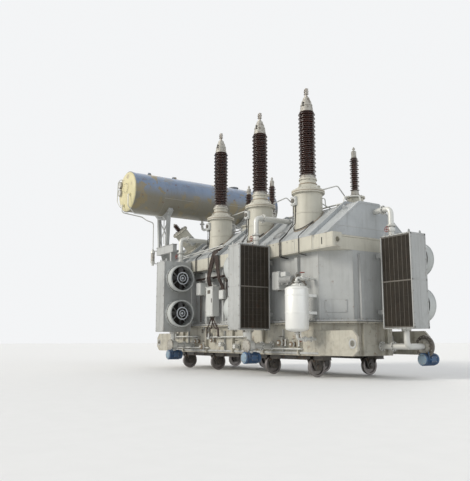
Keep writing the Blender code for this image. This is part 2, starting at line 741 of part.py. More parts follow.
def build_mv_bushings(frame, paint, glaze):
    """The row of smaller bushings on the rear slope and the neutral bushing."""
    first, last = MV_PLACES_X[0], MV_PLACES_X[-1]
    header = box((first - MV_BANK_HEADER_OVERHANG, MV_PLACE_Y - MV_BANK_HEADER_HALF_WIDTH,
                  EAVE_BOTTOM + BITE),
                 (last + MV_BANK_HEADER_OVERHANG, MV_PLACE_Y + MV_BANK_HEADER_HALF_WIDTH,
                  MV_BANK_HEADER_TOP))
    turrets = [small_turret(x, MV_BANK_TOP) for x in MV_PLACES_X]
    bank = cut(joined(header, turrets), [roof_cutter()])
    publish("mv_turret_bank", bank, paint, frame)
    profile = small_bushing_profile(MV_BANK_TOP + SEAT)
    for number, x in enumerate(MV_PLACES_X, 1):
        publish(f"mv_bushing_{number}", turned(profile, MV_SIDES, at(x, MV_PLACE_Y, 0)),
                glaze, frame)
    publish("neutral_turret", cut(small_turret(NEUTRAL_PLACE_X, MV_BANK_TOP), [roof_cutter()]),
            paint, frame)
    publish("neutral_bushing", turned(profile, MV_SIDES, at(NEUTRAL_PLACE_X, MV_PLACE_Y, 0)),
            glaze, frame)


def build_side_turret(frame, paint, glaze):
    """The turret that leans forward on the front slope, with its bushing."""
    run = EAVE_HALF_WIDTH - ROOF_FLAT_HALF_WIDTH
    slope = math.atan2(ROOF_RISE, run)
    foot_y = -ROOF_FLAT_HALF_WIDTH - SIDE_TURRET_UP_SLOPE * math.cos(slope)
    foot_z = ROOF_TOP - SIDE_TURRET_UP_SLOPE * math.sin(slope)
    lean = at(SIDE_TURRET_X, foot_y, foot_z) @ turn(SIDE_TURRET_LEAN, 'X')
    top = SIDE_TURRET_LENGTH
    half = SIDE_TURRET_BASE_HALF_WIDTH
    base = moved(box((-half, -half, -SIDE_TURRET_BASE_DEPTH),
                     (half, half, SIDE_TURRET_BASE_HEIGHT)), lean)
    barrel = turned([(0, top), (SIDE_TURRET_FLANGE_RADIUS, top),
                     (SIDE_TURRET_FLANGE_RADIUS, top - FLANGE_THICKNESS * 2),
                     (SIDE_TURRET_RADIUS, top - FLANGE_THICKNESS * 2),
                     (SIDE_TURRET_RADIUS, 0.0), (0, 0.0)], TURRET_SIDES // 2, lean)
    publish("side_turret", cut(joined(barrel, [base]), [roof_cutter()]), paint, frame)
    low = top + SEAT
    sheds = shed_profile(SIDE_BUSHING_CORE, SIDE_BUSHING_RADIUS, low,
                         low + SIDE_BUSHING_LENGTH, SIDE_BUSHING_SHEDS)
    publish("side_bushing", turned(sheds, MV_SIDES, lean), glaze, frame)


def conservator_head(side):
    """A dished end of the conservator, with a rim that butts on the shell."""
    rim = CONSERVATOR_HALF_LENGTH - CONSERVATOR_HEAD_DEPTH - CONSERVATOR_BAND
    band = CONSERVATOR_HALF_LENGTH - CONSERVATOR_HEAD_DEPTH
    tip = CONSERVATOR_HALF_LENGTH
    outer = CONSERVATOR_RADIUS / math.cos(math.pi / CONSERVATOR_SIDES)
    arc = [(outer * math.sin(a), band + (tip - band) * math.cos(a))
           for a in [math.pi / 2 * k / CONSERVATOR_HEAD_STEPS
                     for k in range(CONSERVATOR_HEAD_STEPS + 1)]]
    profile = [*arc, (outer, rim), (0, rim)]
    place = at(CONSERVATOR_X, 0, CONSERVATOR_Z) @ turn(-side * math.pi / 2, 'X')
    return turned(profile, CONSERVATOR_SIDES, place)


def build_conservator(frame, paint, metal):
    """The oil drum across the left end, with its ends, gauges and supports."""
    half = CONSERVATOR_HALF_LENGTH - CONSERVATOR_HEAD_DEPTH - CONSERVATOR_BAND - SEAT
    outer = CONSERVATOR_RADIUS / math.cos(math.pi / CONSERVATOR_SIDES)
    inner = outer - CONSERVATOR_WALL
    place = at(CONSERVATOR_X, 0, CONSERVATOR_Z) @ ALONG_Y
    shell = turned_ring([(inner, half), (outer, half), (outer, -half), (inner, -half)],
                        CONSERVATOR_SIDES, place)
    publish("conservator_shell", shell, paint, frame)
    gauge_y = -CONSERVATOR_HALF_LENGTH
    gauges = []
    for rise in (GAUGE_RISE, GAUGE_RISE - 2 * GAUGE_RADIUS - 2 * BITE):
        profile = [(0, GAUGE_DEPTH), (GAUGE_RADIUS, GAUGE_DEPTH),
                   (GAUGE_RADIUS, -CONSERVATOR_HEAD_DEPTH), (0, -CONSERVATOR_HEAD_DEPTH)]
        gauges.append(turned(profile, MV_SIDES,
                             at(CONSERVATOR_X - GAUGE_OFFSET, gauge_y, CONSERVATOR_Z + rise)
                             @ turn(math.pi / 2, 'X')))
    publish("conservator_front_end", joined(conservator_head(-1), gauges), paint, frame)
    publish("conservator_rear_end", conservator_head(1), paint, frame)
    for name, side in (("conservator_front_support", -1), ("conservator_rear_support", 1)):
        publish(name, conservator_support(side), metal, frame)


def conservator_support(side):
    """Two leaning legs with a saddle, on a beam with a gusset and a post."""
    y = side * SUPPORT_PLACE_Y
    beam_top = SUPPORT_BEAM_BOTTOM + SUPPORT_BEAM_HEIGHT
    half_width = SUPPORT_BEAM_WIDTH / 2
    beam = box((SUPPORT_BEAM_X - SUPPORT_BEAM_HALF_LENGTH, y - half_width, SUPPORT_BEAM_BOTTOM),
               (SUPPORT_BEAM_X + SUPPORT_BEAM_HALF_LENGTH, y + half_width, beam_top))
    additions = []
    for lean in (-1, 1):
        foot = Vector((CONSERVATOR_X + lean * SUPPORT_LEG_SPREAD_FOOT, y, beam_top - BITE))
        head = Vector((CONSERVATOR_X + lean * SUPPORT_LEG_SPREAD_HEAD, y,
                       CONSERVATOR_Z - CONSERVATOR_RADIUS + SUPPORT_LEG_ENTRY))
        leg = box((-SUPPORT_LEG_WIDTH / 2, -SUPPORT_LEG_DEPTH / 2, 0),
                  (SUPPORT_LEG_WIDTH / 2, SUPPORT_LEG_DEPTH / 2, (head - foot).length))
        direction = (head - foot).normalized()
        leg.data.transform(Matrix.Translation(foot)
                           @ Vector((0, 0, 1)).rotation_difference(direction).to_matrix().to_4x4())
        additions.append(leg)
    gusset_x = SUPPORT_BEAM_X - SUPPORT_BEAM_HALF_LENGTH + SUPPORT_GUSSET_INSET
    outline = [(SUPPORT_PLACE_Y, SUPPORT_BEAM_BOTTOM + BITE), (SUPPORT_PLACE_Y, beam_top - BITE),
               (ROOF_FLAT_HALF_WIDTH, beam_top - BITE),
               (EAVE_HALF_WIDTH - BITE, EAVE_TOP + BITE / 2),
               (EAVE_HALF_WIDTH, EAVE_TOP + BITE)]
    place = Matrix(((0, 0, 1, gusset_x), (side, 0, 0, 0), (0, 1, 0, 0), (0, 0, 0, 1)))
    additions.append(outline_plate([outline], SUPPORT_GUSSET_THICKNESS, place))
    post_x = SUPPORT_BEAM_X + SUPPORT_BEAM_HALF_LENGTH - SUPPORT_GUSSET_INSET
    post_half = SUPPORT_LEG_WIDTH / 2
    near, far = side * (EAVE_HALF_WIDTH + SEAT), y + side * (half_width - BITE)
    additions.append(box((post_x - post_half, min(near, far), EAVE_TOP - SUPPORT_POST_DROP),
                         (post_x + post_half, max(near, far), SUPPORT_BEAM_BOTTOM + BITE)))
    reach = CONSERVATOR_RADIUS + SUPPORT_SADDLE_DEPTH
    angles = [-math.pi / 2 + SUPPORT_SADDLE_HALF_ANGLE * (k / 3 - 1) for k in range(7)]
    outer = [(reach * math.cos(a), reach * math.sin(a)) for a in angles]
    inner_radius = CONSERVATOR_RADIUS - BITE * 3
    inner = [(inner_radius * math.cos(a), inner_radius * math.sin(a)) for a in reversed(angles)]
    additions.append(outline_plate([outer + inner], SUPPORT_BEAM_WIDTH,
                                   at(CONSERVATOR_X, y, CONSERVATOR_Z) @ turn(math.pi / 2, 'X')))
    return cut(joined(beam, additions), [conservator_cutter(), roof_cutter()])


def build_relay_pipe(frame, paint):
    """The pipe from the roof to the conservator, with the gas relay in it."""
    foot = ROOF_TOP + SEAT
    points = [(RELAY_PIPE_ROOF_X, RELAY_PIPE_Y, foot),
              (RELAY_PIPE_ROOF_X, RELAY_PIPE_Y, RELAY_PIPE_RUN_Z),
              (CONSERVATOR_X, RELAY_PIPE_Y, RELAY_PIPE_RUN_Z),
              (CONSERVATOR_X, RELAY_PIPE_Y, CONSERVATOR_Z - CONSERVATOR_RADIUS + BITE * 3)]
    pipe = tube(inset_ends(points), RELAY_PIPE_RADIUS, OIL_PIPE_BEND)
    size = [side / 2 for side in RELAY_BOX]
    relay = box((RELAY_BOX_X - size[0], RELAY_PIPE_Y - size[1], RELAY_PIPE_RUN_Z - size[2]),
                (RELAY_BOX_X + size[0], RELAY_PIPE_Y + size[1], RELAY_PIPE_RUN_Z + size[2]))
    foot_flange = flange_disc(foot, RELAY_PIPE_RADIUS * 2, at(RELAY_PIPE_ROOF_X, RELAY_PIPE_Y, 0))
    whole = cut(joined(pipe, [relay, foot_flange]), [conservator_cutter()])
    publish("relay_pipe", whole, paint, frame)


def flange_disc(low, radius, place):
    """A bolted flange, as a disc that stands on a height."""
    high = low + FLANGE_THICKNESS
    return turned([(0, high), (radius, high), (radius, low), (0, low)], FLANGE_SIDES, place)


def build_cooler(name, frame, place, bracket_reach, materials):
    """One cooler: housing with two fan barrels, finned core and two rotors.

    Its own +X looks out of the core face, Y runs across it, and the bracket
    goes towards the tank on the +Y side.
    """
    paint, core_paint, rotor_paint = materials
    half = COOLER_WIDTH / 2
    top = COOLER_BOTTOM + COOLER_HEIGHT
    shell = box((-COOLER_DEPTH, -half, COOLER_BOTTOM), (0, half, top))
    back = -COOLER_DEPTH
    aim = turn(-math.pi / 2, 'Y') @ turn(math.pi / BARREL_SIDES, 'Z')
    barrels = [turned([(0, BARREL_LENGTH), (BARREL_RADIUS, BARREL_LENGTH),
                       (BARREL_RADIUS, -COOLER_WALL / 2), (0, -COOLER_WALL / 2)],
                      BARREL_SIDES, at(back, 0, z) @ aim)
               for z in fan_heights()]
    brackets = [box((back / 2 - COOLER_BRACKET / 2, half - BITE, z - COOLER_BRACKET / 2),
                    (back / 2 + COOLER_BRACKET / 2, half + bracket_reach - SEAT,
                     z + COOLER_BRACKET / 2))
                for z in (COOLER_BOTTOM + COOLER_BRACKET_DROP, top - COOLER_BRACKET_DROP)]
    shell = joined(shell, [*barrels, *brackets])
    wall = COOLER_WALL
    cavity = box((back + wall, -half + wall, COOLER_BOTTOM + wall),
                 (2 * wall, half - wall, top - wall))
    bore_radius = BARREL_RADIUS - BARREL_WALL
    bores = [turned([(0, BARREL_LENGTH * 2), (bore_radius, BARREL_LENGTH * 2),
                     (bore_radius, -2 * wall), (0, -2 * wall)],
                    BARREL_SIDES, at(back, 0, z) @ aim)
             for z in fan_heights()]
    shell = cut(shell, [cavity, *bores])
    shell = joined(shell, [motor_mount(z) for z in fan_heights()])
    publish(f"{name}_housing", moved(shell, place), paint, frame)
    publish(f"{name}_core", moved(cooler_core(), place), core_paint, frame)


def fan_heights():
    """Heights of the upper and the lower fan."""
    return (FAN_MIDDLE_Z + FAN_SPACING / 2, FAN_MIDDLE_Z - FAN_SPACING / 2)


def rotor_plane():
    """Distance of a rotor's middle from the core face, towards the barrels."""
    return COOLER_DEPTH + BARREL_LENGTH - FAN_INSET - FAN_HUB_DEPTH / 2


def motor_mount(z):
    """A fan motor with its shaft, on four arms across the barrel."""
    motor_front = rotor_plane() - FAN_HUB_DEPTH / 2 - FAN_FACE_GAP
    motor_back = motor_front - MOTOR_LENGTH
    shaft_end = rotor_plane() + FAN_HUB_DEPTH / 2 + FAN_FACE_GAP
    motor = turned([(0, shaft_end), (FAN_SHAFT_RADIUS, shaft_end),
                    (FAN_SHAFT_RADIUS, motor_front), (MOTOR_RADIUS, motor_front),
                    (MOTOR_RADIUS, motor_back), (0, motor_back)],
                   AXLE_SIDES, at(0, 0, z) @ turn(-math.pi / 2, 'Y')
                   @ turn(AXLE_HALF_STEP, 'Z'))
    arm_reach = BARREL_RADIUS - BARREL_WALL / 2
    arm_middle = -(motor_front - MOTOR_LENGTH / 2)
    half = MOTOR_ARM_THICKNESS / 2
    arms = []
    for tilt in (math.pi / 4, -math.pi / 4):
        arm = box((-MOTOR_ARM_WIDTH / 2, -arm_reach, -half), (MOTOR_ARM_WIDTH / 2, arm_reach, half))
        arm.data.transform(at(arm_middle, 0, z) @ turn(tilt, 'X'))
        arms.append(arm)
    return joined(motor, arms)


def cooler_core():
    """The block behind the core face, with upright fins."""
    half = COOLER_WIDTH / 2 - COOLER_WALL - SEAT
    pitch = 2 * half / CORE_FINS
    outline = [(-CORE_DEPTH, -half)]
    for k in range(CORE_FINS):
        left = -half + k * pitch
        outline += [(0.0, left), (0.0, left + pitch / 2)]
        if k < CORE_FINS - 1:
            outline += [(-CORE_FIN_DEPTH, left + pitch / 2), (-CORE_FIN_DEPTH, left + pitch)]
    outline += [(-CORE_FIN_DEPTH, half - pitch / 2), (-CORE_FIN_DEPTH, half), (-CORE_DEPTH, half)]
    height = COOLER_HEIGHT - 2 * COOLER_WALL - 2 * SEAT
    return outline_plate([outline], height, at(0, 0, FAN_MIDDLE_Z))


def rotor_mesh(material):
    """Hub with a bore and pitched blades, about its own Z axis."""
    bore = (FAN_SHAFT_RADIUS + FAN_SHAFT_CLEARANCE) / math.cos(math.pi / AXLE_SIDES)
    half = FAN_HUB_DEPTH / 2
    tip = (BARREL_RADIUS - BARREL_WALL) * math.cos(math.pi / BARREL_SIDES) - FAN_TIP_CLEARANCE
    hub = turned([(0, half), (FAN_HUB_RADIUS, half), (FAN_HUB_RADIUS, -half), (0, -half)],
                 AXLE_SIDES)
    blades = []
    for k in range(FAN_BLADES):
        blade = box((FAN_HUB_RADIUS - 2 * BITE, -FAN_BLADE_CHORD / 2, -FAN_BLADE_THICKNESS / 2),
                    (tip, FAN_BLADE_CHORD / 2, FAN_BLADE_THICKNESS / 2))
        corner_trim = math.sqrt(tip ** 2 - (FAN_BLADE_CHORD / 2) ** 2)
        for vertex in blade.data.vertices:
            if vertex.co.x > FAN_HUB_RADIUS:
                vertex.co.x = corner_trim
        blade.data.transform(turn(2 * math.pi * k / FAN_BLADES, 'Z') @ turn(FAN_BLADE_PITCH, 'X'))
        blades.append(blade)
    hole = turned([(0, 2 * half), (bore, 2 * half), (bore, -2 * half), (0, -2 * half)], AXLE_SIDES)
    rotor = cut(joined(hub, blades), [hole])
    return shared_mesh("fan_rotor", rotor, material)


def shared_mesh(name, shape, material):
    """The mesh of a settled shape, ready to be used by several parts."""
    mesh = shape.data.copy()
    mesh.name = name
    discard(shape)
    mesh.materials.clear()
    mesh.materials.append(material)
    mesh.shade_smooth()
    mesh.set_sharp_from_angle(angle=math.radians(30.0))
    return mesh


def inset_ends(points):
    """A pipe's route with both ends drawn back into their flanges."""
    points = [Vector(point) for point in points]
    first = (points[1] - points[0]).normalized() * FLANGE_THICKNESS / 2
    last = (points[-2] - points[-1]).normalized() * FLANGE_THICKNESS / 2
    return [points[0] + first, *points[1:-1], points[-1] + last]


def oil_pipe(points, flange_places, extra=()):
    """A pipe with bolted flanges; each place is a point and a direction."""
    pipe = tube(inset_ends(points), OIL_PIPE_RADIUS, OIL_PIPE_BEND)
    flanges = []
    for point, direction in flange_places:
        aim = Vector((0, 0, 1)).rotation_difference(Vector(direction)).to_matrix().to_4x4()
        flanges.append(flange_disc(0.0, OIL_PIPE_FLANGE_RADIUS, at(*point) @ aim))
    return joined(pipe, [*flanges, *extra])


def pump(place):
    """An oil pump with its round cover along +Z, and its motor hung under it.

    The place puts +Z along the flow and +Y downwards.
    """
    volute = turned([(0, PUMP_FACE_THICKNESS), (PUMP_FACE_RADIUS, PUMP_FACE_THICKNESS),
                     (PUMP_FACE_RADIUS, 0), (PUMP_VOLUTE_RADIUS, 0),
                     (PUMP_VOLUTE_RADIUS, -PUMP_VOLUTE_LENGTH), (0, -PUMP_VOLUTE_LENGTH)],
                    PUMP_SIDES, turn(math.pi / PUMP_SIDES, 'Z'))
    neck_middle = -PUMP_VOLUTE_LENGTH / 2
    neck = turned([(0, PUMP_MOTOR_DROP), (PUMP_NECK_RADIUS, PUMP_MOTOR_DROP),
                   (PUMP_NECK_RADIUS, 0), (0, 0)], AXLE_SIDES,
                  at(0, 0, neck_middle) @ turn(-math.pi / 2, 'X'))
    front = PUMP_MOTOR_FRONT
    motor = turned([(0, front), (PUMP_MOTOR_RADIUS, front),
                    (PUMP_MOTOR_RADIUS, front - PUMP_MOTOR_LENGTH),
                    (0, front - PUMP_MOTOR_LENGTH)], PUMP_SIDES,
                   at(0, PUMP_MOTOR_DROP, 0) @ turn(math.pi / PUMP_SIDES, 'Z'))
    return moved(joined(volute, [neck, motor]), place)


def build_top_pipe(name, x, y, frame, paint):
    """The oil pipe from the top of a cooler before the front wall to the roof."""
    run_z = TOP_PIPE_RUN_Z
    top = COOLER_BOTTOM + COOLER_HEIGHT + SEAT
    points = [(x, y, top), (x, y, run_z), (x, -ROOF_FLAT_HALF_WIDTH, run_z)]
    slope_y = -(EAVE_HALF_WIDTH - (run_z - EAVE_TOP)
                * (EAVE_HALF_WIDTH - ROOF_FLAT_HALF_WIDTH) / ROOF_RISE)
    joints = [((x, y, top), (0, 0, 1)),
              ((x, slope_y - 2 * OIL_PIPE_FLANGE_RADIUS, run_z), (0, 1, 0))]
    publish(f"{name}_top_pipe", cut(oil_pipe(points, joints), [roof_cutter()]), paint, frame)


def build_pump_line(name, x, y, frame, paint):
    """The oil pipe from the foot of such a cooler to the tank, with its pump."""
    bottom = COOLER_BOTTOM - SEAT
    wall = -TANK_HALF_WIDTH - SEAT
    points = [(x, y, bottom), (x, y, PUMP_LINE_Z), (x, wall, PUMP_LINE_Z)]
    joints = [((x, y, bottom - FLANGE_THICKNESS), (0, 0, 1)),
              ((x, wall - FLANGE_THICKNESS, PUMP_LINE_Z), (0, 1, 0))]
    body = pump(at(x, y - OIL_PIPE_RADIUS, PUMP_LINE_Z) @ turn(math.pi / 2, 'X')
                @ turn(math.pi, 'Z'))
    publish(f"{name}_pump_line", oil_pipe(points, joints, [body]), paint, frame)


def build_end_cooler_pipes(name, x, y, frame, paint):
    """Top and bottom oil pipes of the cooler at the right end."""
    top = COOLER_BOTTOM + COOLER_HEIGHT + SEAT
    wall = TANK_HALF_LENGTH + SEAT
    top_x = x - END_TOP_PIPE_SHIFT
    points = [(top_x, y, top), (top_x, y, END_TOP_PIPE_Z), (wall, y, END_TOP_PIPE_Z)]
    joints = [((top_x, y, top), (0, 0, 1)),
              ((wall + FLANGE_THICKNESS, y, END_TOP_PIPE_Z), (-1, 0, 0))]
    publish(f"{name}_top_pipe", oil_pipe(points, joints), paint, frame)
    bottom = COOLER_BOTTOM - SEAT
    pump_y = y + END_PUMP_REACH
    branch_y = y + END_PUMP_BRANCH
    points = [(x, y, bottom), (x, y, PUMP_LINE_Z), (x, pump_y, PUMP_LINE_Z)]
    joints = [((x, y, bottom - FLANGE_THICKNESS), (0, 0, 1)),
              ((wall + FLANGE_THICKNESS, branch_y, PUMP_LINE_Z), (-1, 0, 0))]
    branch = tube([(x, branch_y, PUMP_LINE_Z),
                   (wall + FLANGE_THICKNESS / 2, branch_y, PUMP_LINE_Z)], OIL_PIPE_RADIUS)
    body = pump(at(x, pump_y, PUMP_LINE_Z) @ turn(math.pi / 2, 'X') @ turn(math.pi, 'Z'))
    publish(f"{name}_pump_line", oil_pipe(points, joints, [branch, body]), paint, frame)


def build_coolers(frame, materials, pipe_paint):
    """The three coolers, each with its pipes, pump and two fans."""
    middle = COOLER_DEPTH / 2
    front_reach = -TANK_HALF_WIDTH - (FRONT_COOLER_Y + COOLER_WIDTH / 2)
    left = at(FRONT_LEFT_COOLER_X, FRONT_COOLER_Y, 0) @ Matrix.Diagonal((-1, 1, 1, 1))
    right = at(FRONT_RIGHT_COOLER_X, FRONT_COOLER_Y, 0)
    end = at(END_COOLER_X, END_COOLER_Y, 0) @ turn(-math.pi / 2, 'Z') @ Matrix.Diagonal((1, -1, 1, 1))
    end_reach = END_COOLER_X - COOLER_WIDTH / 2 - TANK_HALF_LENGTH
    plans = (("left_cooler", left, front_reach), ("right_cooler", right, front_reach),
             ("end_cooler", end, end_reach))
    rotor = rotor_mesh(materials[2])
    for name, place, reach in plans:
        build_cooler(name, frame, place, reach, materials)
        for position, z in zip(("upper", "lower"), fan_heights()):
            hub = place @ Vector((-rotor_plane(), 0, z))
            outward = (place.to_3x3() @ Vector((-1, 0, 0))).normalized()
            aim = Vector((0, 0, 1)).rotation_difference(outward).to_matrix().to_4x4()
            publish_mesh(f"{name}_{position}_fan", rotor, frame, at(*hub) @ aim)
    for name, x in (("left_cooler", FRONT_LEFT_COOLER_X + middle),
                    ("right_cooler", FRONT_RIGHT_COOLER_X - middle)):
        build_top_pipe(name, x, FRONT_COOLER_Y + TOP_PIPE_SHIFT, frame, pipe_paint)
        build_pump_line(name, x, FRONT_COOLER_Y, frame, pipe_paint)
    build_end_cooler_pipes("end_cooler", END_COOLER_X, END_COOLER_Y + middle, frame, pipe_paint)


def build_undercarriage(frame, paint, steel):
    """Two beams under the tank, each with four forks and four wheels."""
    gap_half = WHEEL_WIDTH / 2 + WHEEL_SIDE_GAP
    beam_bottom = CARRIAGE_TOP - CARRIAGE_BEAM_HEIGHT
    for name, side in (("front_carriage", -1), ("rear_carriage", 1)):
        y = side * WHEEL_TRACK_HALF
        beam = box((WHEEL_PLACES_X[0] - CARRIAGE_BEAM_OVERHANG, y - CARRIAGE_BEAM_WIDTH / 2,
                    beam_bottom),
                   (WHEEL_PLACES_X[-1] + CARRIAGE_BEAM_OVERHANG, y + CARRIAGE_BEAM_WIDTH / 2,
                    CARRIAGE_TOP))
        wheel_wells = []
        forks = []
        for x in WHEEL_PLACES_X:
            well_top = AXLE_HEIGHT + WHEEL_TREAD_RADIUS + WHEEL_FLANGE_DEPTH + WHEEL_TOP_GAP
            wheel_wells.append(box((x - gap_half, y - CARRIAGE_BEAM_WIDTH, 0),
                                   (x + gap_half, y + CARRIAGE_BEAM_WIDTH, well_top)))
            for cheek in (-1, 1):
                inner = x + cheek * gap_half
                outer = x + cheek * (gap_half + FORK_PLATE)
                middle_x = (inner + outer) / 2
                foot = AXLE_HEIGHT - FORK_BELOW_AXLE
                outline = [(-FORK_LENGTH / 2, beam_bottom + BITE), (-FORK_LENGTH / 5, foot),
                           (FORK_LENGTH / 5, foot), (FORK_LENGTH / 2, beam_bottom + BITE)]
                place = Matrix(((0, 0, 1, middle_x), (1, 0, 0, y), (0, 1, 0, 0), (0, 0, 0, 1)))
                forks.append(outline_plate([outline], FORK_PLATE, place))
            forks.append(turned([(0, gap_half + 2 * FORK_PLATE),
                                 (AXLE_RADIUS, gap_half + 2 * FORK_PLATE),
                                 (AXLE_RADIUS, -gap_half - 2 * FORK_PLATE),
                                 (0, -gap_half - 2 * FORK_PLATE)],
                                AXLE_SIDES,
                                at(x, y, AXLE_HEIGHT) @ ALONG_X @ turn(AXLE_HALF_STEP, 'Z')))
        carriage = joined(cut(beam, wheel_wells), forks)
        publish(name, carriage, paint, frame)
    mesh = wheel_mesh(steel)
    spin = ALONG_X @ turn(math.pi / WHEEL_SIDES, 'Z')
    for row, side in (("front", -1), ("rear", 1)):
        for number, x in enumerate(WHEEL_PLACES_X, 1):
            publish_mesh(f"{row}_wheel_{number}", mesh, frame,
                         at(x, side * WHEEL_TRACK_HALF, AXLE_HEIGHT) @ spin)


def wheel_mesh(material):
    """A flanged roller with a recessed web, about its own Z axis."""
    half = WHEEL_WIDTH / 2
    web = WHEEL_WEB_WIDTH / 2
    bore = (AXLE_RADIUS + AXLE_CLEARANCE) / math.cos(math.pi / AXLE_SIDES)
    tread = WHEEL_TREAD_RADIUS
    rim = tread - WHEEL_RIM_THICKNESS
    flange = tread + WHEEL_FLANGE_DEPTH
    profile = [(0, half), (WHEEL_HUB_RADIUS, half), (rim, web), (flange, half),
               (flange, half - WHEEL_FLANGE_WIDTH), (tread, half - WHEEL_FLANGE_WIDTH),
               (tread, -half), (0, -half)]
    wheel = turned(profile, WHEEL_SIDES)
    hole = turned([(0, WHEEL_WIDTH), (bore, WHEEL_WIDTH), (bore, -WHEEL_WIDTH),
                   (0, -WHEEL_WIDTH)], AXLE_SIDES, turn(-math.pi / WHEEL_SIDES, 'Z'))
    return shared_mesh("wheel", cut(wheel, [hole]), material)


def build_filter_vessel(frame, paint):
    """The upright oil filter vessel on two brackets at the front wall."""
    top = VESSEL_BOTTOM + VESSEL_HEIGHT
    arc = [math.pi / 2 * k / VESSEL_DOME_STEPS for k in range(VESSEL_DOME_STEPS + 1)]
    upper = [(VESSEL_RADIUS * math.sin(a), top + VESSEL_DOME * math.cos(a)) for a in arc]
    lower = [(r, VESSEL_BOTTOM + top + VESSEL_DOME - z) for r, z in reversed(upper)]
    vessel = turned([*upper, *lower], VESSEL_SIDES, at(VESSEL_X, VESSEL_Y, 0))
    half = VESSEL_BRACKET_WIDTH / 2
    brackets = [box((VESSEL_X - half, VESSEL_Y + VESSEL_RADIUS - 2 * BITE, z),
                    (VESSEL_X + half, -TANK_HALF_WIDTH - SEAT, z + VESSEL_BRACKET_HEIGHT))
                for z in (BELT_LEVEL + BELT_FLANGE_THICKNESS + VESSEL_BRACKET_RISE,
                          top - 2 * VESSEL_DOME)]
    publish("filter_vessel", joined(vessel, brackets), paint, frame)


def build_control_cabinet(frame, paint):
    """The cabinet for the fans and pumps, on the front wall."""
    wall = -TANK_HALF_WIDTH
    back = wall - CABINET_BRACKET
    top = CABINET_BOTTOM + CABINET_HEIGHT
    half = CABINET_WIDTH / 2
    body = box((CABINET_X - half, back - CABINET_DEPTH, CABINET_BOTTOM),
               (CABINET_X + half, back, top))
    rails = [box((CABINET_X - half + CABINET_BRACKET, back - BITE, z),
                 (CABINET_X + half - CABINET_BRACKET, wall - SEAT, z + CABINET_BRACKET))
             for z in (CABINET_BOTTOM + CABINET_BRACKET, top - 2 * CABINET_BRACKET)]
    publish("control_cabinet", joined(body, rails), paint, frame)


def main():
    """Build the whole transformer."""
    frame = clear_scene()
    tank_paint = finish("tank_paint", (0.62, 0.62, 0.58), 0.55)
    drum_paint = finish("drum_paint", (0.42, 0.46, 0.50), 0.5)
    glaze = finish("brown_glaze", (0.055, 0.022, 0.016), 0.18)
    cap_metal = finish("cap_metal", (0.55, 0.55, 0.54), 0.4, 0.6)
    core_paint = finish("core_paint", (0.03, 0.03, 0.032), 0.6)
    rotor_paint = finish("rotor_paint", (0.10, 0.10, 0.10), 0.45)
    pipe_paint = finish("pipe_paint", (0.60, 0.60, 0.57), 0.5)
    dark_steel = finish("dark_steel", (0.09, 0.08, 0.075), 0.6, 0.3)
    roller_steel = finish("roller_steel", (0.24, 0.22, 0.21), 0.45, 0.8)
    vessel_paint = finish("vessel_paint", (0.78, 0.78, 0.75), 0.4)
    build_lower_tank(frame, tank_paint)
    build_bell_tank(frame, tank_paint)
    build_eave(frame, tank_paint)
    build_roof(frame, tank_paint)
    build_hv_bushings(frame, tank_paint, glaze, cap_metal)
    build_mv_bushings(frame, tank_paint, glaze)
    build_side_turret(frame, tank_paint, glaze)
    build_conservator(frame, drum_paint, tank_paint)
    build_relay_pipe(frame, pipe_paint)
    build_coolers(frame, (tank_paint, core_paint, rotor_paint), pipe_paint)
    build_filter_vessel(frame, vessel_paint)
    build_control_cabinet(frame, vessel_paint)
    build_undercarriage(frame, dark_steel, roller_steel)
    bpy.context.view_layer.update()


main()
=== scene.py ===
"""Finishes, fittings, camera and studio for a large power transformer on rollers.

Metres, +Z up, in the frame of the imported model. Fittings are placed from the
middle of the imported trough, so each one sits on what carries it.
"""

import logging
import math
from dataclasses import dataclass
from enum import Enum
from typing import Sequence, Union

import bmesh
import bpy
from mathutils import Matrix, Vector


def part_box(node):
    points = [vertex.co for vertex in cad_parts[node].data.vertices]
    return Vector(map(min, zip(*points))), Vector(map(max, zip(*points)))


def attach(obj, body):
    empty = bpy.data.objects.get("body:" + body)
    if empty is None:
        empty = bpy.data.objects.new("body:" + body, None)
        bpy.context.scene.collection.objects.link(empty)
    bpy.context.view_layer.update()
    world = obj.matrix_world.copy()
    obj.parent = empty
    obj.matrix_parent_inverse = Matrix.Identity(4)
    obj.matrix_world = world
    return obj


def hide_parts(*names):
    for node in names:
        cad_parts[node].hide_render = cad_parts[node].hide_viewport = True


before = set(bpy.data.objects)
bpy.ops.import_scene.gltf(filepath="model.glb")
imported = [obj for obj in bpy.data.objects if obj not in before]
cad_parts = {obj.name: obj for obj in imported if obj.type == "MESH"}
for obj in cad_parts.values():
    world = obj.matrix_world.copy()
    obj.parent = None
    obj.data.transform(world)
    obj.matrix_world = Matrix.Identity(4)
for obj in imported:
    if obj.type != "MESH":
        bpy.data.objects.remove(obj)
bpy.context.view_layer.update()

log = logging.getLogger("transformer")
logging.basicConfig(level=logging.INFO, format="%(levelname)s %(message)s")

Point = Sequence[float]
Number = Union[float, "Signal"]
TANK = "tank"
FULL_TURN = 2 * math.pi


# Node trees

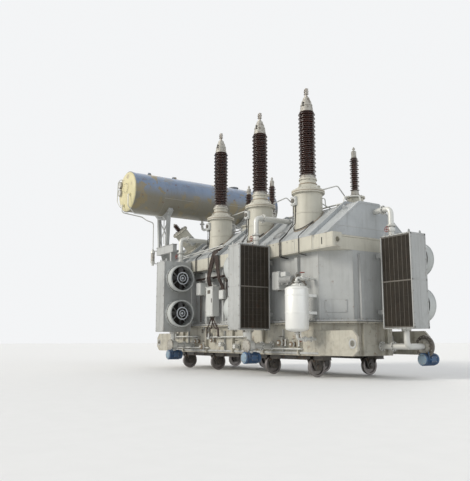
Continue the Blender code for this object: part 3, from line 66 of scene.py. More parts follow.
class Bench:
    """A node tree, with one method that makes any node."""

    def __init__(self, tree: bpy.types.NodeTree) -> None:
        """Empty a tree to work on it."""
        self.tree = tree
        tree.nodes.clear()

    def node(self, kind: str, settings: dict | None = None, **sockets: object) -> bpy.types.Node:
        """Make one node.

        Args:
            kind: The node's type.
            settings: Properties that are set before the sockets.
            sockets: Values, signals or lists of signals by socket name, or by number as _0, _1.

        Returns:
            The new node.
        """
        made = self.tree.nodes.new(kind)
        for key, value in (settings or {}).items():
            setattr(made, key, value)
        for key, value in sockets.items():
            socket = made.inputs[int(key[1:]) if key.startswith("_") else key.replace("_", " ")]
            for one in value if isinstance(value, list) else [value]:
                if isinstance(one, Signal):
                    self.tree.links.new(one.socket, socket)
                elif socket.type == 'RGBA' and len(one) == 3:
                    socket.default_value = (*one, 1.0)
                else:
                    socket.default_value = one
        return made

    def signal(self, kind: str, output: object = 0, settings: dict | None = None,
               **sockets: object) -> "Signal":
        """Make a node and wrap one of its outputs."""
        return Signal(self, self.node(kind, settings, **sockets).outputs[output])

    def place(self) -> "Signal":
        """Object coordinates, in metres."""
        return self.signal('ShaderNodeTexCoord', 'Object')

    def stretched(self, place: "Signal", scale: Point) -> "Signal":
        """The coordinates, scaled by axis."""
        return self.signal('ShaderNodeMapping', Vector=place, Scale=tuple(scale))

    def noise(self, place: "Signal", scale: float, detail: float, roughness: float = 0.5) -> "Signal":
        """A noise between 0 and 1."""
        return self.signal('ShaderNodeTexNoise', 'Fac', Vector=place, Scale=scale, Detail=detail,
                           Roughness=roughness)

    def edge(self, radius: float) -> "Signal":
        """How far the surface turns within a radius: 0 on a flat face."""
        rounded = self.signal('ShaderNodeBevel', settings={"samples": 3}, Radius=radius)
        true = self.signal('ShaderNodeNewGeometry', 'True Normal')
        return 1.0 - self.signal('ShaderNodeVectorMath', 'Value', {"operation": 'DOT_PRODUCT'},
                                 _0=rounded, _1=true)

    def mix(self, share: Number, first: object, second: object) -> "Signal":
        """A colour between two colours."""
        return self.signal('ShaderNodeMix', 2, {"data_type": 'RGBA'}, _0=share, _6=first, _7=second)

    def bump(self, height: "Signal", strength: float, distance: float) -> "Signal":
        """A normal that follows a height."""
        return self.signal('ShaderNodeBump', Height=height, Strength=strength, Distance=distance)

    def finish(self, colour: object, roughness: Number, metallic: Number = 0.0, coat: float = 0.0,
               **normal: "Signal") -> None:
        """Close a material's tree with one Principled shader.

        Args:
            colour: Base colour.
            roughness: Roughness.
            metallic: Metallic share.
            coat: Clear coat weight.
            normal: The bumped normal, as Normal, if any.
        """
        shader = self.signal('ShaderNodeBsdfPrincipled', Base_Color=colour, Roughness=roughness,
                             Metallic=metallic, Coat_Weight=coat, **normal)
        self.node('ShaderNodeOutputMaterial', Surface=shader)


class Signal:
    """A socket that takes part in Python expressions."""

    def __init__(self, bench: Bench, socket: bpy.types.NodeSocket) -> None:
        """Wrap a socket of a bench's tree."""
        self.bench = bench
        self.socket = socket

    def maths(self, operation: str, *others: Number, swap: bool = False, clamp: bool = False) -> "Signal":
        """Add a Math node.

        Args:
            operation: The Math node's operation.
            others: The other operands.
            swap: Whether this signal is the second operand.
            clamp: Whether the result is held between 0 and 1.

        Returns:
            The result.
        """
        operands = [*others, self] if swap else [self, *others]
        return self.bench.signal('ShaderNodeMath', 0, {"operation": operation, "use_clamp": clamp},
                                 **{f"_{place}": operand for place, operand in enumerate(operands)})

    def __add__(self, other: Number) -> "Signal":
        """Sum."""
        return self.maths('ADD', other)

    def __sub__(self, other: Number) -> "Signal":
        """Difference."""
        return self.maths('SUBTRACT', other)

    def __rsub__(self, other: float) -> "Signal":
        """Difference from a number."""
        return self.maths('SUBTRACT', other, swap=True)

    def __mul__(self, other: Number) -> "Signal":
        """Product."""
        return self.maths('MULTIPLY', other)

    def __truediv__(self, other: Number) -> "Signal":
        """Quotient."""
        return self.maths('DIVIDE', other)

    def __pow__(self, other: float) -> "Signal":
        """Power."""
        return self.maths('POWER', other)

    def most(self, other: Number) -> "Signal":
        """The larger of the two."""
        return self.maths('MAXIMUM', other)

    def held(self) -> "Signal":
        """The signal held between 0 and 1."""
        return self.maths('ADD', 0.0, clamp=True)

    def ramp(self, low: float, high: float) -> "Signal":
        """A smooth rise from 0 at low to 1 at high."""
        return self.bench.signal('ShaderNodeMapRange', 0, {"interpolation_type": 'SMOOTHSTEP'},
                                 Value=self, From_Min=low, From_Max=high, To_Min=0.0, To_Max=1.0)

    def where(self, axis: int) -> "Signal":
        """One of the three parts of a vector signal."""
        return self.bench.signal('ShaderNodeSeparateXYZ', axis, _0=self)


# Finishes

@dataclass(frozen=True)
class Finish:
    """What every finish has: a name and a colour."""

    name: str
    colour: tuple[float, float, float]
    roughness: float = 0.5

    def material(self) -> bpy.types.Material:
        """The material of this finish, made once."""
        made = bpy.data.materials.get(self.name)
        if not made:
            made = bpy.data.materials.new(self.name)
            made.use_nodes = True
            self.make(Bench(made.node_tree))
        return made

    def make(self, bench: Bench) -> None:
        """Build the nodes; each kind of finish has its own."""
        raise NotImplementedError

    def tint(self, share: float) -> tuple[float, float, float]:
        """The colour times a share."""
        return tuple(part * share for part in self.colour)


@dataclass(frozen=True)
class Paint(Finish):
    """Paint on steel that has stood outdoors for decades."""

    clouds: float = 0.16
    streaks: float = 0.30
    rust: float = 0.35
    grime: float = 0.35
    grime_height: float = 1.7
    peel: float = 0.0
    peel_colour: tuple[float, float, float] = (0.72, 0.70, 0.62)
    oil: float = 0.0
    wear: float = 0.0
    # Share and colour of painted shade on faces that point down.
    underside_shade: float = 0.0
    underside_shade_colour: tuple[float, float, float] = (0.34, 0.31, 0.24)
    rust_colour: tuple[float, float, float] = (0.16, 0.058, 0.022)
    dirt_colour: tuple[float, float, float] = (0.10, 0.085, 0.065)

    def make(self, bench: Bench) -> None:
        """Build the paint: clouds, painted shade on faces that point down, streaks, peeling, specks, rust and
        grime.

        Args:
            bench: The empty node tree.
        """
        place = bench.place()
        height = place.where(2)
        cloud = bench.noise(place, 0.9, 5.0, 0.6)
        mottle = bench.noise(place, 7.0, 6.0, 0.65)
        grain = bench.noise(place, 160.0, 2.0, 0.5)
        run = bench.noise(bench.stretched(place, (7.0, 7.0, 0.45)), 1.0, 6.0, 0.62)
        fine_run = bench.noise(bench.stretched(place, (26.0, 26.0, 0.8)), 1.0, 4.0, 0.6)
        low = 1.0 - height.ramp(0.2, self.grime_height)
        shade = bench.mix((cloud * 0.6 + mottle * 0.4).ramp(0.34, 0.66), self.tint(1.0 - self.clouds),
                          self.tint(1.0 + self.clouds * 0.55))
        # Painted shade: faces that point down take a darker, warmer colour, as if in shadow.
        if self.underside_shade:
            up = bench.signal('ShaderNodeNewGeometry', 'Normal').where(2)
            shade = bench.mix((1.0 - up.ramp(-0.35, 0.40)) * self.underside_shade, shade, self.underside_shade_colour)
        streak = (run.ramp(0.50, 0.72) * 0.65 + fine_run.ramp(0.55, 0.75) * 0.35) * self.streaks
        shade = bench.mix(streak, shade, self.dirt_colour)
        height_of = grain * 0.15 + mottle * 0.5
        if self.peel:
            patch = bench.noise(place, 2.2, 9.0, 0.62)
            bare = patch.ramp(0.60 - 0.12 * self.peel, 0.63 - 0.12 * self.peel)
            bare = bare * bench.noise(place, 0.6, 2.0).ramp(0.36, 0.52)
            shade = bench.mix(bare, shade, self.peel_colour)
            height_of = height_of - bare * 1.6
        speck = bench.noise(place, 34.0, 3.0, 0.5).ramp(0.70, 0.745)
        scab = bench.noise(place, 3.3, 10.0, 0.7).ramp(0.615, 0.66) * fine_run.ramp(0.32, 0.6)
        spoiled = ((speck * 0.7).most(scab) * self.rust).held()
        shade = bench.mix(spoiled, shade, self.rust_colour)
        soil = ((low * 0.7 + 0.3) * mottle.ramp(0.38, 0.70) * self.grime).held()
        shade = bench.mix(soil, shade, self.dirt_colour)
        wet = spoiled * 0.25
        if self.oil:
            film = bench.noise(place, 4.0, 7.0, 0.66).ramp(0.52, 0.62) * self.oil
            shade = bench.mix(film * 0.75, shade, (0.016, 0.013, 0.010))
            wet = wet - film * 0.30
        if self.wear:
            edge = bench.edge(0.012).ramp(0.02, 0.30) * mottle.ramp(0.36, 0.60) * self.wear
            shade = bench.mix(edge, shade, tuple(part * 0.6 + 0.06 for part in self.rust_colour))
        rough = (mottle * 0.22 + (self.roughness - 0.10) + soil * 0.3 + wet).held()
        bench.finish(shade, rough, Normal=bench.bump(height_of, 0.35, 0.004))


@dataclass(frozen=True)
class Glaze(Finish):
    """Glazed porcelain with dust on its upper faces."""

    dust: tuple[float, float, float] = (0.24, 0.19, 0.155)
    dust_share: float = 0.30

    def make(self, bench: Bench) -> None:
        """Build the glaze: pooled colour, dust on top and orange-peel bump."""
        place = bench.place()
        pool = bench.noise(place, 9.0, 4.0, 0.5)
        veil = bench.noise(place, 24.0, 6.0, 0.6)
        up = bench.signal('ShaderNodeNewGeometry', 'Normal').where(2)
        dusty = (up.ramp(0.15, 0.85) * veil.ramp(0.30, 0.68) * self.dust_share).held()
        shade = bench.mix(pool.ramp(0.3, 0.7), self.tint(0.70), self.tint(1.45))
        shade = bench.mix(dusty, shade, self.dust)
        rough = dusty * 0.9 + pool * 0.06 + self.roughness
        bench.finish(shade, rough, coat=0.35, Normal=bench.bump(pool + veil * 0.3, 0.12, 0.003))


@dataclass(frozen=True)
class Metal(Finish):
    """Bare or plated metal, dulled by weather."""

    metallic: float = 0.9
    stain: tuple[float, float, float] = (0.10, 0.06, 0.035)
    stained: float = 0.35
    brushed: float = 0.0

    def make(self, bench: Bench) -> None:
        """Build the metal: dull patches, stains in them and fine scratches."""
        place = bench.place()
        dull = bench.noise(place, 11.0, 7.0, 0.62)
        grit = bench.noise(place, 85.0, 3.0, 0.6)
        spot = (dull.ramp(0.50, 0.68) * self.stained).held()
        shade = bench.mix(grit.ramp(0.3, 0.7), self.tint(0.80), self.tint(1.12))
        shade = bench.mix(spot, shade, self.stain)
        relief = grit * 0.5 + dull * 0.4
        if self.brushed:
            lay = bench.noise(bench.stretched(place, (6.0, 6.0, 260.0)), 1.0, 2.0)
            relief = relief + lay * self.brushed
        rough = spot * 0.35 + grit * 0.14 + self.roughness
        bench.finish(shade, rough, metallic=(1.0 - spot * 0.8) * self.metallic,
                     Normal=bench.bump(relief, 0.30, 0.002))


@dataclass(frozen=True)
class Rubber(Finish):
    """Rubber hose, gasket or plastic cable sheath."""

    bloom: tuple[float, float, float] = (0.09, 0.085, 0.08)

    def make(self, bench: Bench) -> None:
        """Build the rubber: a grey bloom and a fine pebbled skin."""
        place = bench.place()
        bloom = bench.noise(place, 12.0, 5.0, 0.6)
        skin = bench.noise(place, 210.0, 2.0, 0.5)
        shade = bench.mix(bloom.ramp(0.36, 0.74), self.colour, self.bloom)
        bench.finish(shade, bloom * 0.25 + self.roughness, Normal=bench.bump(skin, 0.4, 0.0015))


@dataclass(frozen=True)
class Dial(Finish):
    """A gauge face behind glass, with plain division marks round its rim."""

    middle: tuple[float, float, float] = (0.0, 0.0, 0.0)
    radius: float = 0.1
    mark: tuple[float, float, float] = (0.02, 0.02, 0.02)

    def make(self, bench: Bench) -> None:
        """Build the face: a pale disc with marks round it, glossy all over."""
        place = bench.place()
        moved = bench.signal('ShaderNodeMapping', settings={"vector_type": 'POINT'}, Vector=place,
                             Location=tuple(-part for part in self.middle))
        across, up = moved.where(0), moved.where(2)
        away = (across * across + up * up) ** 0.5
        angle = up.maths('ARCTAN2', across)
        tick = (angle * 20.0).maths('SINE').ramp(0.72, 0.80)
        ring = away.ramp(self.radius * 0.70, self.radius * 0.72)
        ring = ring * (1.0 - away.ramp(self.radius * 0.88, self.radius * 0.90))
        shade = bench.mix(ring * tick, self.colour, self.mark)
        haze = bench.noise(place, 20.0, 4.0, 0.6)
        shade = bench.mix(haze * 0.25, shade, (0.45, 0.43, 0.38))
        bench.finish(shade, haze * 0.15 + self.roughness, coat=0.8)


class Coat(Enum):
    """Every finish on the transformer."""

    TANK = Paint("weathered_tank_paint", (0.455, 0.465, 0.455), 0.50, clouds=0.15, streaks=0.34,
                 rust=0.42, grime=0.42, wear=0.55)
    # The cream is painted sunlight: a lit copy of the grey tank paint, on the eave, the turrets and their
    # flanges.
    EAVE = Paint("cream_eave_paint", (0.545, 0.525, 0.445), 0.48, clouds=0.12, streaks=0.30, rust=0.40,
                 grime=0.20, grime_height=3.5, wear=0.45)
    ROOF = Paint("roof_paint", (0.43, 0.45, 0.455), 0.46, clouds=0.18, streaks=0.36, rust=0.30,
                 grime=0.25, grime_height=4.5, wear=0.35)
    # Blue-grey drum paint: its blue stands partly for a painted sky reflection, and its underside takes
    # painted shade.
    DRUM = Paint("peeling_drum_paint", (0.205, 0.275, 0.40), 0.38, clouds=0.20, streaks=0.50,
                 rust=0.75, grime=0.38, grime_height=7.3, peel=0.62, peel_colour=(0.27, 0.225, 0.135),
                 dirt_colour=(0.20, 0.175, 0.115), underside_shade=0.92, underside_shade_colour=(0.225, 0.205, 0.15))
    # The yellow cream is painted sunlight on the drum's ends and hatch.
    DRUM_END = Paint("drum_end_paint", (0.66, 0.60, 0.36), 0.46, clouds=0.16, streaks=0.35,
                     rust=0.55, grime=0.20, grime_height=6.2, peel=0.10, peel_colour=(0.42, 0.36, 0.24))
    PIPE = Paint("pipe_paint", (0.475, 0.47, 0.435), 0.46, clouds=0.14, streaks=0.26, rust=0.38,
                 grime=0.35, wear=0.3)
    HOUSING = Paint("cooler_housing_paint", (0.435, 0.445, 0.435), 0.46, clouds=0.14, streaks=0.36,
                    rust=0.40, grime=0.40, grime_height=2.6, wear=0.5)
    BARREL_LIP = Paint("fan_ring_paint", (0.50, 0.52, 0.505), 0.42, clouds=0.14, streaks=0.25,
                       rust=0.30, grime=0.30)
    FIN = Paint("dark_fin_paint", (0.044, 0.035, 0.025), 0.52, clouds=0.30, streaks=0.30, rust=0.30,
                grime=0.22, dirt_colour=(0.098, 0.072, 0.042))
    FRAME = Paint("core_frame_paint", (0.13, 0.118, 0.10), 0.48, clouds=0.2, streaks=0.25, rust=0.45,
                  grime=0.3)
    ROTOR = Paint("rotor_paint", (0.060, 0.062, 0.064), 0.42, clouds=0.20, streaks=0.1, rust=0.25,
                  grime=0.25)
    GUARD = Paint("guard_paint", (0.045, 0.045, 0.045), 0.42, clouds=0.12, streaks=0.1, rust=0.35, grime=0.2)
    VESSEL = Paint("vessel_paint", (0.51, 0.515, 0.495), 0.32, clouds=0.10, streaks=0.34, rust=0.35,
                   grime=0.30, grime_height=2.2)
    CABINET = Paint("cabinet_paint", (0.62, 0.63, 0.61), 0.42, clouds=0.10, streaks=0.28, rust=0.30,
                    grime=0.25, wear=0.4)
    MOTOR = Paint("blue_motor_paint", (0.045, 0.115, 0.235), 0.42, clouds=0.18, streaks=0.22, rust=0.35,
                  grime=0.45, wear=0.4)
    # A lighter copy of the motor's blue: painted light on the motor's end that faces the front.
    MOTOR_END = Paint("pale_motor_paint", (0.24, 0.335, 0.42), 0.42, clouds=0.16, streaks=0.2, rust=0.3,
                      grime=0.35)
    OILY = Paint("oily_beam_paint", (0.095, 0.088, 0.080), 0.50, clouds=0.25, streaks=0.35, rust=0.6,
                 grime=0.5, oil=0.7, wear=0.4)
    SEAM = Paint("weld_seam_paint", (0.45, 0.455, 0.435), 0.55, clouds=0.2, streaks=0.35, rust=0.75,
                 grime=0.4)
    # Near black: painted shade for the eave's slots, which are dark blocks and not holes, and the own colour
    # of the dark sight glasses.
    SLOT = Paint("dark_recess_paint", (0.035, 0.032, 0.028), 0.7, clouds=0.3, streaks=0.2, rust=0.3,
                 grime=0.2)
    GLAZE = Glaze("brown_glaze", (0.046, 0.019, 0.013), 0.24, dust_share=0.20)
    CAP = Metal("cast_cap", (0.40, 0.385, 0.345), 0.50, metallic=0.45, stained=0.60)
    STUD = Metal("terminal_stud", (0.34, 0.32, 0.29), 0.36, metallic=0.85, stained=0.55)
    RUST = Paint("rusty_joint_paint", (0.30, 0.235, 0.165), 0.62, clouds=0.30, streaks=0.45, rust=1.0,
                 grime=0.5)
    # The warm cream tint is painted sunlight; the soil, oil, rust and wear are the trough's own.
    TROUGH = Paint("soiled_trough_paint", (0.475, 0.455, 0.385), 0.48, clouds=0.20, streaks=0.62,
                   rust=0.85, grime=0.42, grime_height=1.9, oil=0.30, wear=0.7,
                   dirt_colour=(0.13, 0.098, 0.062))
    RING = Paint("pale_guard_ring_paint", (0.62, 0.66, 0.70), 0.35, clouds=0.10, streaks=0.1, rust=0.1,
                 grime=0.1)
    ZINC = Metal("bolt_zinc", (0.36, 0.345, 0.32), 0.42, metallic=0.8, stained=0.65)
    RUSTY_BOLT = Metal("rusty_bolt", (0.20, 0.13, 0.085), 0.60, metallic=0.35, stained=0.8)
    ROLLER = Metal("roller_steel", (0.165, 0.135, 0.115), 0.42, metallic=0.7,
                   stain=(0.085, 0.036, 0.018), stained=0.75, brushed=0.4)
    HOSE = Rubber("black_hose", (0.016, 0.015, 0.014), 0.48)
    BROWN_HOSE = Rubber("brown_hose", (0.022, 0.011, 0.008), 0.50, bloom=(0.075, 0.048, 0.036))
    GASKET = Rubber("gasket_rubber", (0.020, 0.018, 0.016), 0.70)
    HANDWHEEL = Paint("valve_wheel_paint", (0.25, 0.045, 0.030), 0.45, clouds=0.2, streaks=0.2, rust=0.5,
                      grime=0.4)

    @property
    def material(self) -> bpy.types.Material:
        """The finish's material."""
        return self.value.material()


# Mesh and Geometry Nodes tools

LOW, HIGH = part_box("lower_tank")
MIDDLE = Matrix.Translation(((LOW.x + HIGH.x) / 2, (LOW.y + HIGH.y) / 2, 0.0))


def at(x: float, y: float, z: float) -> Matrix:
    """A matrix that moves to a point."""
    return Matrix.Translation((x, y, z))


def facing(direction: Point) -> Matrix:
    """A matrix that turns +Z to a direction."""
    return Vector((0, 0, 1)).rotation_difference(Vector(direction)).to_matrix().to_4x4()


def arc(radius: float, count: int, start: float = 0.0, step: float | None = None,
        middle: Point = (0.0, 0.0)) -> list[Point]:
    """Points on a circle, all round it unless a step is given.

    Args:
        radius: Radius of the circle.
        count: Number of points.
        start: Angle of the first one, in radians.
        step: Angle from one to the next.
        middle: Centre of the circle.

    Returns:
        The points.
    """
    step = FULL_TURN / count if step is None else step
    return [(middle[0] + radius * math.cos(start + step * k), middle[1] + radius * math.sin(start + step * k))
            for k in range(count)]


def dished(radius: float, base: float, height: float, steps: int) -> list[Point]:
    """Profile of a dished end, from its middle to its rim."""
    angles = [math.pi / 2 * k / steps for k in range(steps + 1)]
    return [(radius * math.sin(angle), base + height * math.cos(angle)) for angle in angles]


class Shape:
    """A mesh in the making, in metres from the middle of the tank."""

    def __init__(self) -> None:
        """Start empty."""
        self.mesh = bmesh.new()

    def block(self, low: Point, high: Point, edge: float = 0.0, place: Matrix | None = None) -> "Shape":
        """Add a box between two corners.

        Args:
            low: Lowest corner.
            high: Highest corner.
            edge: Width of the chamfer on its edges.
            place: Matrix that puts it in place.

        Returns:
            The shape itself.
        """
        low, high = Vector(low), Vector(high)
        matrix = Matrix.Translation((low + high) / 2) @ Matrix.Diagonal((*(high - low), 1.0))
        return self.settle(bmesh.ops.create_cube(self.mesh, size=1.0, matrix=matrix)["verts"], edge, place)

    def settle(self, made: list, edge: float, place: Matrix | None) -> "Shape":
        """Chamfer the edges of what was just made, and put it in place."""
        if edge:
            edges = list({line for vertex in made for line in vertex.link_edges})
            shaped = bmesh.ops.bevel(self.mesh, geom=edges, offset=edge, segments=1, affect='EDGES')
            made = list({vertex for face in shaped["faces"] for vertex in face.verts})
        if place:
            bmesh.ops.transform(self.mesh, matrix=place, verts=made)
        return self

    def turned(self, profile: Sequence[Point], sides: int, place: Matrix | None = None,
               closed: bool = False) -> "Shape":
        """Add a solid of revolution about Z.

        Args:
            profile: Points (radius, height), from top to bottom.
            sides: Facets round it.
            place: Matrix that puts it in place.
            closed: Whether the profile closes on itself, as a ring's does.

        Returns:
            The shape itself.
        """
        place = place or Matrix()
        rings = []
        for radius, height in profile:
            count = sides if radius > 1e-6 else 1
            rings.append([self.mesh.verts.new(place @ Vector((x, y, height)))
                          for x, y in arc(radius, sides)[:count]])
        pairs = list(zip(rings, rings[1:])) + ([(rings[-1], rings[0])] if closed else [])
        for upper, lower in pairs:
            for k in range(sides):
                corners = [upper[k % len(upper)], lower[k % len(lower)],
                           lower[(k + 1) % len(lower)], upper[(k + 1) % len(upper)]]
                unique = list(dict.fromkeys(corners))
                if len(unique) > 2:
                    self.mesh.faces.new(unique)
        return self

    def pipe(self, points: Sequence[Point], radius: float, bend: float = 0.0, sides: int = 12,
             loop: bool = False, place: Matrix | None = None) -> "Shape":
        """Add a round bar along a route.

        Args:
            points: Corner points of the route.
            radius: Radius of the bar.
            bend: Radius of the arc at each corner.
            sides: Facets round it.
            loop: Whether the route closes on itself.
            place: Matrix that puts it in place.

        Returns:
            The shape itself.
        """
        route = [(place or Matrix()) @ Vector(point) for point in points]
        if bend:
            route = self.rounded(route, bend)
        last = len(route) - 1
        rings, across = [], None
        for k, point in enumerate(route):
            ahead = route[(k + 1) % len(route)] if loop or k < last else point
            behind = route[k - 1] if loop or k else point
            along = (ahead - behind).normalized()
            if across is None:
                across = along.orthogonal().normalized()
            across = (across - along * across.dot(along)).normalized()
            side = along.cross(across)
            rings.append([self.mesh.verts.new(point + across * x + side * y) for x, y in arc(radius, sides)])
        for here, there in list(zip(rings, rings[1:])) + ([(rings[-1], rings[0])] if loop else []):
            shift = 0
            if loop and here is rings[-1]:
                shift = min(range(sides), key=lambda j: (there[j].co - here[0].co).length)
            for j in range(sides):
                a, b = (j + shift) % sides, (j + 1 + shift) % sides
                self.mesh.faces.new((here[j], here[(j + 1) % sides], there[b], there[a]))
        if not loop:
            self.mesh.faces.new(rings[0][::-1])
            self.mesh.faces.new(rings[-1])
        return self

    @staticmethod
    def rounded(route: list[Vector], radius: float, steps: int = 5) -> list[Vector]:
        """The route with an arc at each corner.

        Args:
            route: Corner points.
            radius: Radius of the arcs.
            steps: Pieces of each arc.

        Returns:
            The points of the rounded route.
        """
        result = [route[0]]
        for before, corner, after in zip(route, route[1:], route[2:]):
            arrive, leave = (before - corner).normalized(), (after - corner).normalized()
            half = arrive.angle(leave) / 2
            if half > math.pi / 2 - 0.02:
                result.append(corner)
                continue
            reach = min(radius / math.tan(half), (before - corner).length * 0.49,
                        (after - corner).length * 0.49)
            start, end = corner + arrive * reach, corner + leave * reach
            for k in range(steps + 1):
                share = k / steps
                result.append(start.lerp(corner, share).lerp(corner.lerp(end, share), share))
        return [*result, route[-1]]

    def prism(self, outline: Sequence[Point], thickness: float, place: Matrix | None = None,
              edge: float = 0.0) -> "Shape":
        """Add a flat plate with an outline in its own XY plane.

        Args:
            outline: Corners (x, y), anticlockwise.
            thickness: Thickness, half of it on each side.
            place: Matrix that puts it in place.
            edge: Width of the chamfer on its edges.

        Returns:
            The shape itself.
        """
        half = thickness / 2
        low = [self.mesh.verts.new((x, y, -half)) for x, y in outline]
        high = [self.mesh.verts.new((x, y, half)) for x, y in outline]
        self.mesh.faces.new(low[::-1])
        self.mesh.faces.new(high)
        for k in range(len(outline)):
            after = (k + 1) % len(outline)
            self.mesh.faces.new((low[k], low[after], high[after], high[k]))
        return self.settle(low + high, edge, place)

    def take(self, mesh: bpy.types.Mesh) -> "Shape":
        """Add a finished mesh that is already in place."""
        self.mesh.from_mesh(mesh)
        return self

    def data(self, name: str) -> bpy.types.Mesh:
        """The shape as mesh data; the shape itself is spent."""
        bmesh.ops.recalc_face_normals(self.mesh, faces=self.mesh.faces)
        data = bpy.data.meshes.new(name)
        self.mesh.to_mesh(data)
        self.mesh.free()
        return data

    def publish(self, name: str, coat: Coat, slot: str, body: str = TANK, replaces: Sequence[str] = (),
                angle: float = 34.0) -> bpy.types.Object:
        """Turn the shape into a piece that rides on a body.

        Args:
            name: Name of the piece.
            coat: Its finish.
            slot: The record's material slot; not used.
            body: The body that it moves with.
            replaces: CAD nodes that it stands for.
            angle: Edges sharper than this stay sharp.

        Returns:
            The finished piece.
        """
        data = self.data(name)
        data.transform(MIDDLE)
        data.shade_smooth()
        data.set_sharp_from_angle(angle=math.radians(angle))
        return install(name, data, coat, body, replaces)


def install(name: str, data: bpy.types.Mesh, coat: Coat, body: str = TANK,
            replaces: Sequence[str] = ()) -> bpy.types.Object:
    """Put finished mesh data into the scene as a piece.

    Args:
        name: Name of the piece.
        data: Mesh, already in the frame's place.
        coat: Its finish.
        body: The body that it moves with.
        replaces: CAD nodes that it stands for.

    Returns:
        The piece.
    """
    data.materials.clear()
    data.materials.append(coat.material)
    data.name = name
    piece = bpy.data.objects.new(name, data)
    bpy.context.scene.collection.objects.link(piece)
    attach(piece, body)
    if replaces:
        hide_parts(*replaces)
    log.info("%s: %d faces on %s", name, len(data.polygons), body)
    return piece


class Rule(Bench):
    """A Geometry Nodes tree with named inputs, applied to a mesh."""

    def __init__(self, name: str, **inputs: float | int) -> None:
        """Start a tree.

        Args:
            name: Name of the tree.
            inputs: Its inputs with their values; whole numbers become integer sockets.
        """
        super().__init__(bpy.data.node_groups.new(name, 'GeometryNodeTree'))
        face = self.tree.interface
        face.new_socket("Geometry", in_out='INPUT', socket_type='NodeSocketGeometry')
        face.new_socket("Geometry", in_out='OUTPUT', socket_type='NodeSocketGeometry')
        self.values: dict[str, object] = {}
        for key, value in inputs.items():
            kind = 'NodeSocketInt' if isinstance(value, int) else 'NodeSocketFloat'
            made = face.new_socket(key, in_out='INPUT', socket_type=kind)
            made.default_value = value
            self.values[made.identifier] = value
        made = face.new_socket("Finish", in_out='INPUT', socket_type='NodeSocketMaterial')
        self.finish_identifier = made.identifier
        self.entry = self.tree.nodes.new('NodeGroupInput')

    def given(self, name: str) -> Signal:
        """One of the tree's inputs."""
        return Signal(self, self.entry.outputs[name])

    def vector(self, x: Number = 0.0, y: Number = 0.0, z: Number = 0.0) -> Signal:
        """A vector of three values."""
        return self.signal('ShaderNodeCombineXYZ', X=x, Y=y, Z=z)

    def placed(self, geometry: Signal, **parts: Number) -> Signal:
        """A geometry moved by a vector, of which the parts x, y and z are given."""
        return self.signal('GeometryNodeTransform', Geometry=geometry, Translation=self.vector(**parts))

    def rod(self, sides: int, radius: Number, length: Number) -> Signal:
        """A cylinder about Z."""
        return self.signal('GeometryNodeMeshCylinder', "Mesh", Vertices=sides, Radius=radius, Depth=length)

    def joined(self, *parts: Signal) -> Signal:
        """Several geometries as one."""
        return self.signal('GeometryNodeJoinGeometry', Geometry=list(parts))

    def spread(self, points: Signal, instance: Signal, **sockets: object) -> Signal:
        """Instances of a geometry on points."""
        return self.signal('GeometryNodeInstanceOnPoints', Points=points, Instance=instance, **sockets)

    def close(self, geometry: Signal) -> "Rule":
        """End the tree with Realize Instances and Set Material."""
        real = self.signal('GeometryNodeRealizeInstances', Geometry=geometry)
        dressed = self.signal('GeometryNodeSetMaterial', Geometry=real, Material=self.given("Finish"))
        self.node('NodeGroupOutput', _0=dressed)
        return self

    def applied(self, source: bpy.types.Mesh, coat: Coat, place: Matrix | None = None,
                **changed: float | int) -> bpy.types.Mesh:
        """Run the tree on a mesh and return the plain result.

        Args:
            source: The mesh that the tree starts from.
            coat: Finish that Set Material gives.
            place: Matrix for the result.
            changed: Inputs that differ from the tree's own values.

        Returns:
            New mesh data, with no instances in it.
        """
        carrier = bpy.data.objects.new("carrier", source)
        bpy.context.scene.collection.objects.link(carrier)
        step = carrier.modifiers.new("rule", 'NODES')
        step.node_group = self.tree
        names = {item.identifier: item.name for item in self.tree.interface.items_tree}
        for identifier, value in self.values.items():
            step[identifier] = changed.get(names[identifier], value)
        step[self.finish_identifier] = coat.material
        seen = carrier.evaluated_get(bpy.context.evaluated_depsgraph_get())
        result = bpy.data.meshes.new_from_object(seen)
        carrier.modifiers.remove(step)
        bpy.data.objects.remove(carrier, do_unlink=True)
        if place:
            result.transform(place)
            if place.determinant() < 0:
                result.flip_normals()
        return result


def points_mesh(points: Sequence[Point], closed: bool = False) -> bpy.types.Mesh:
    """A mesh of loose points, or of a closed chain of edges."""
    data = bpy.data.meshes.new("points")
    edges = [(k, (k + 1) % len(points)) for k in range(len(points))] if closed else []
    data.from_pydata([tuple(point) for point in points], edges, [])
    return data


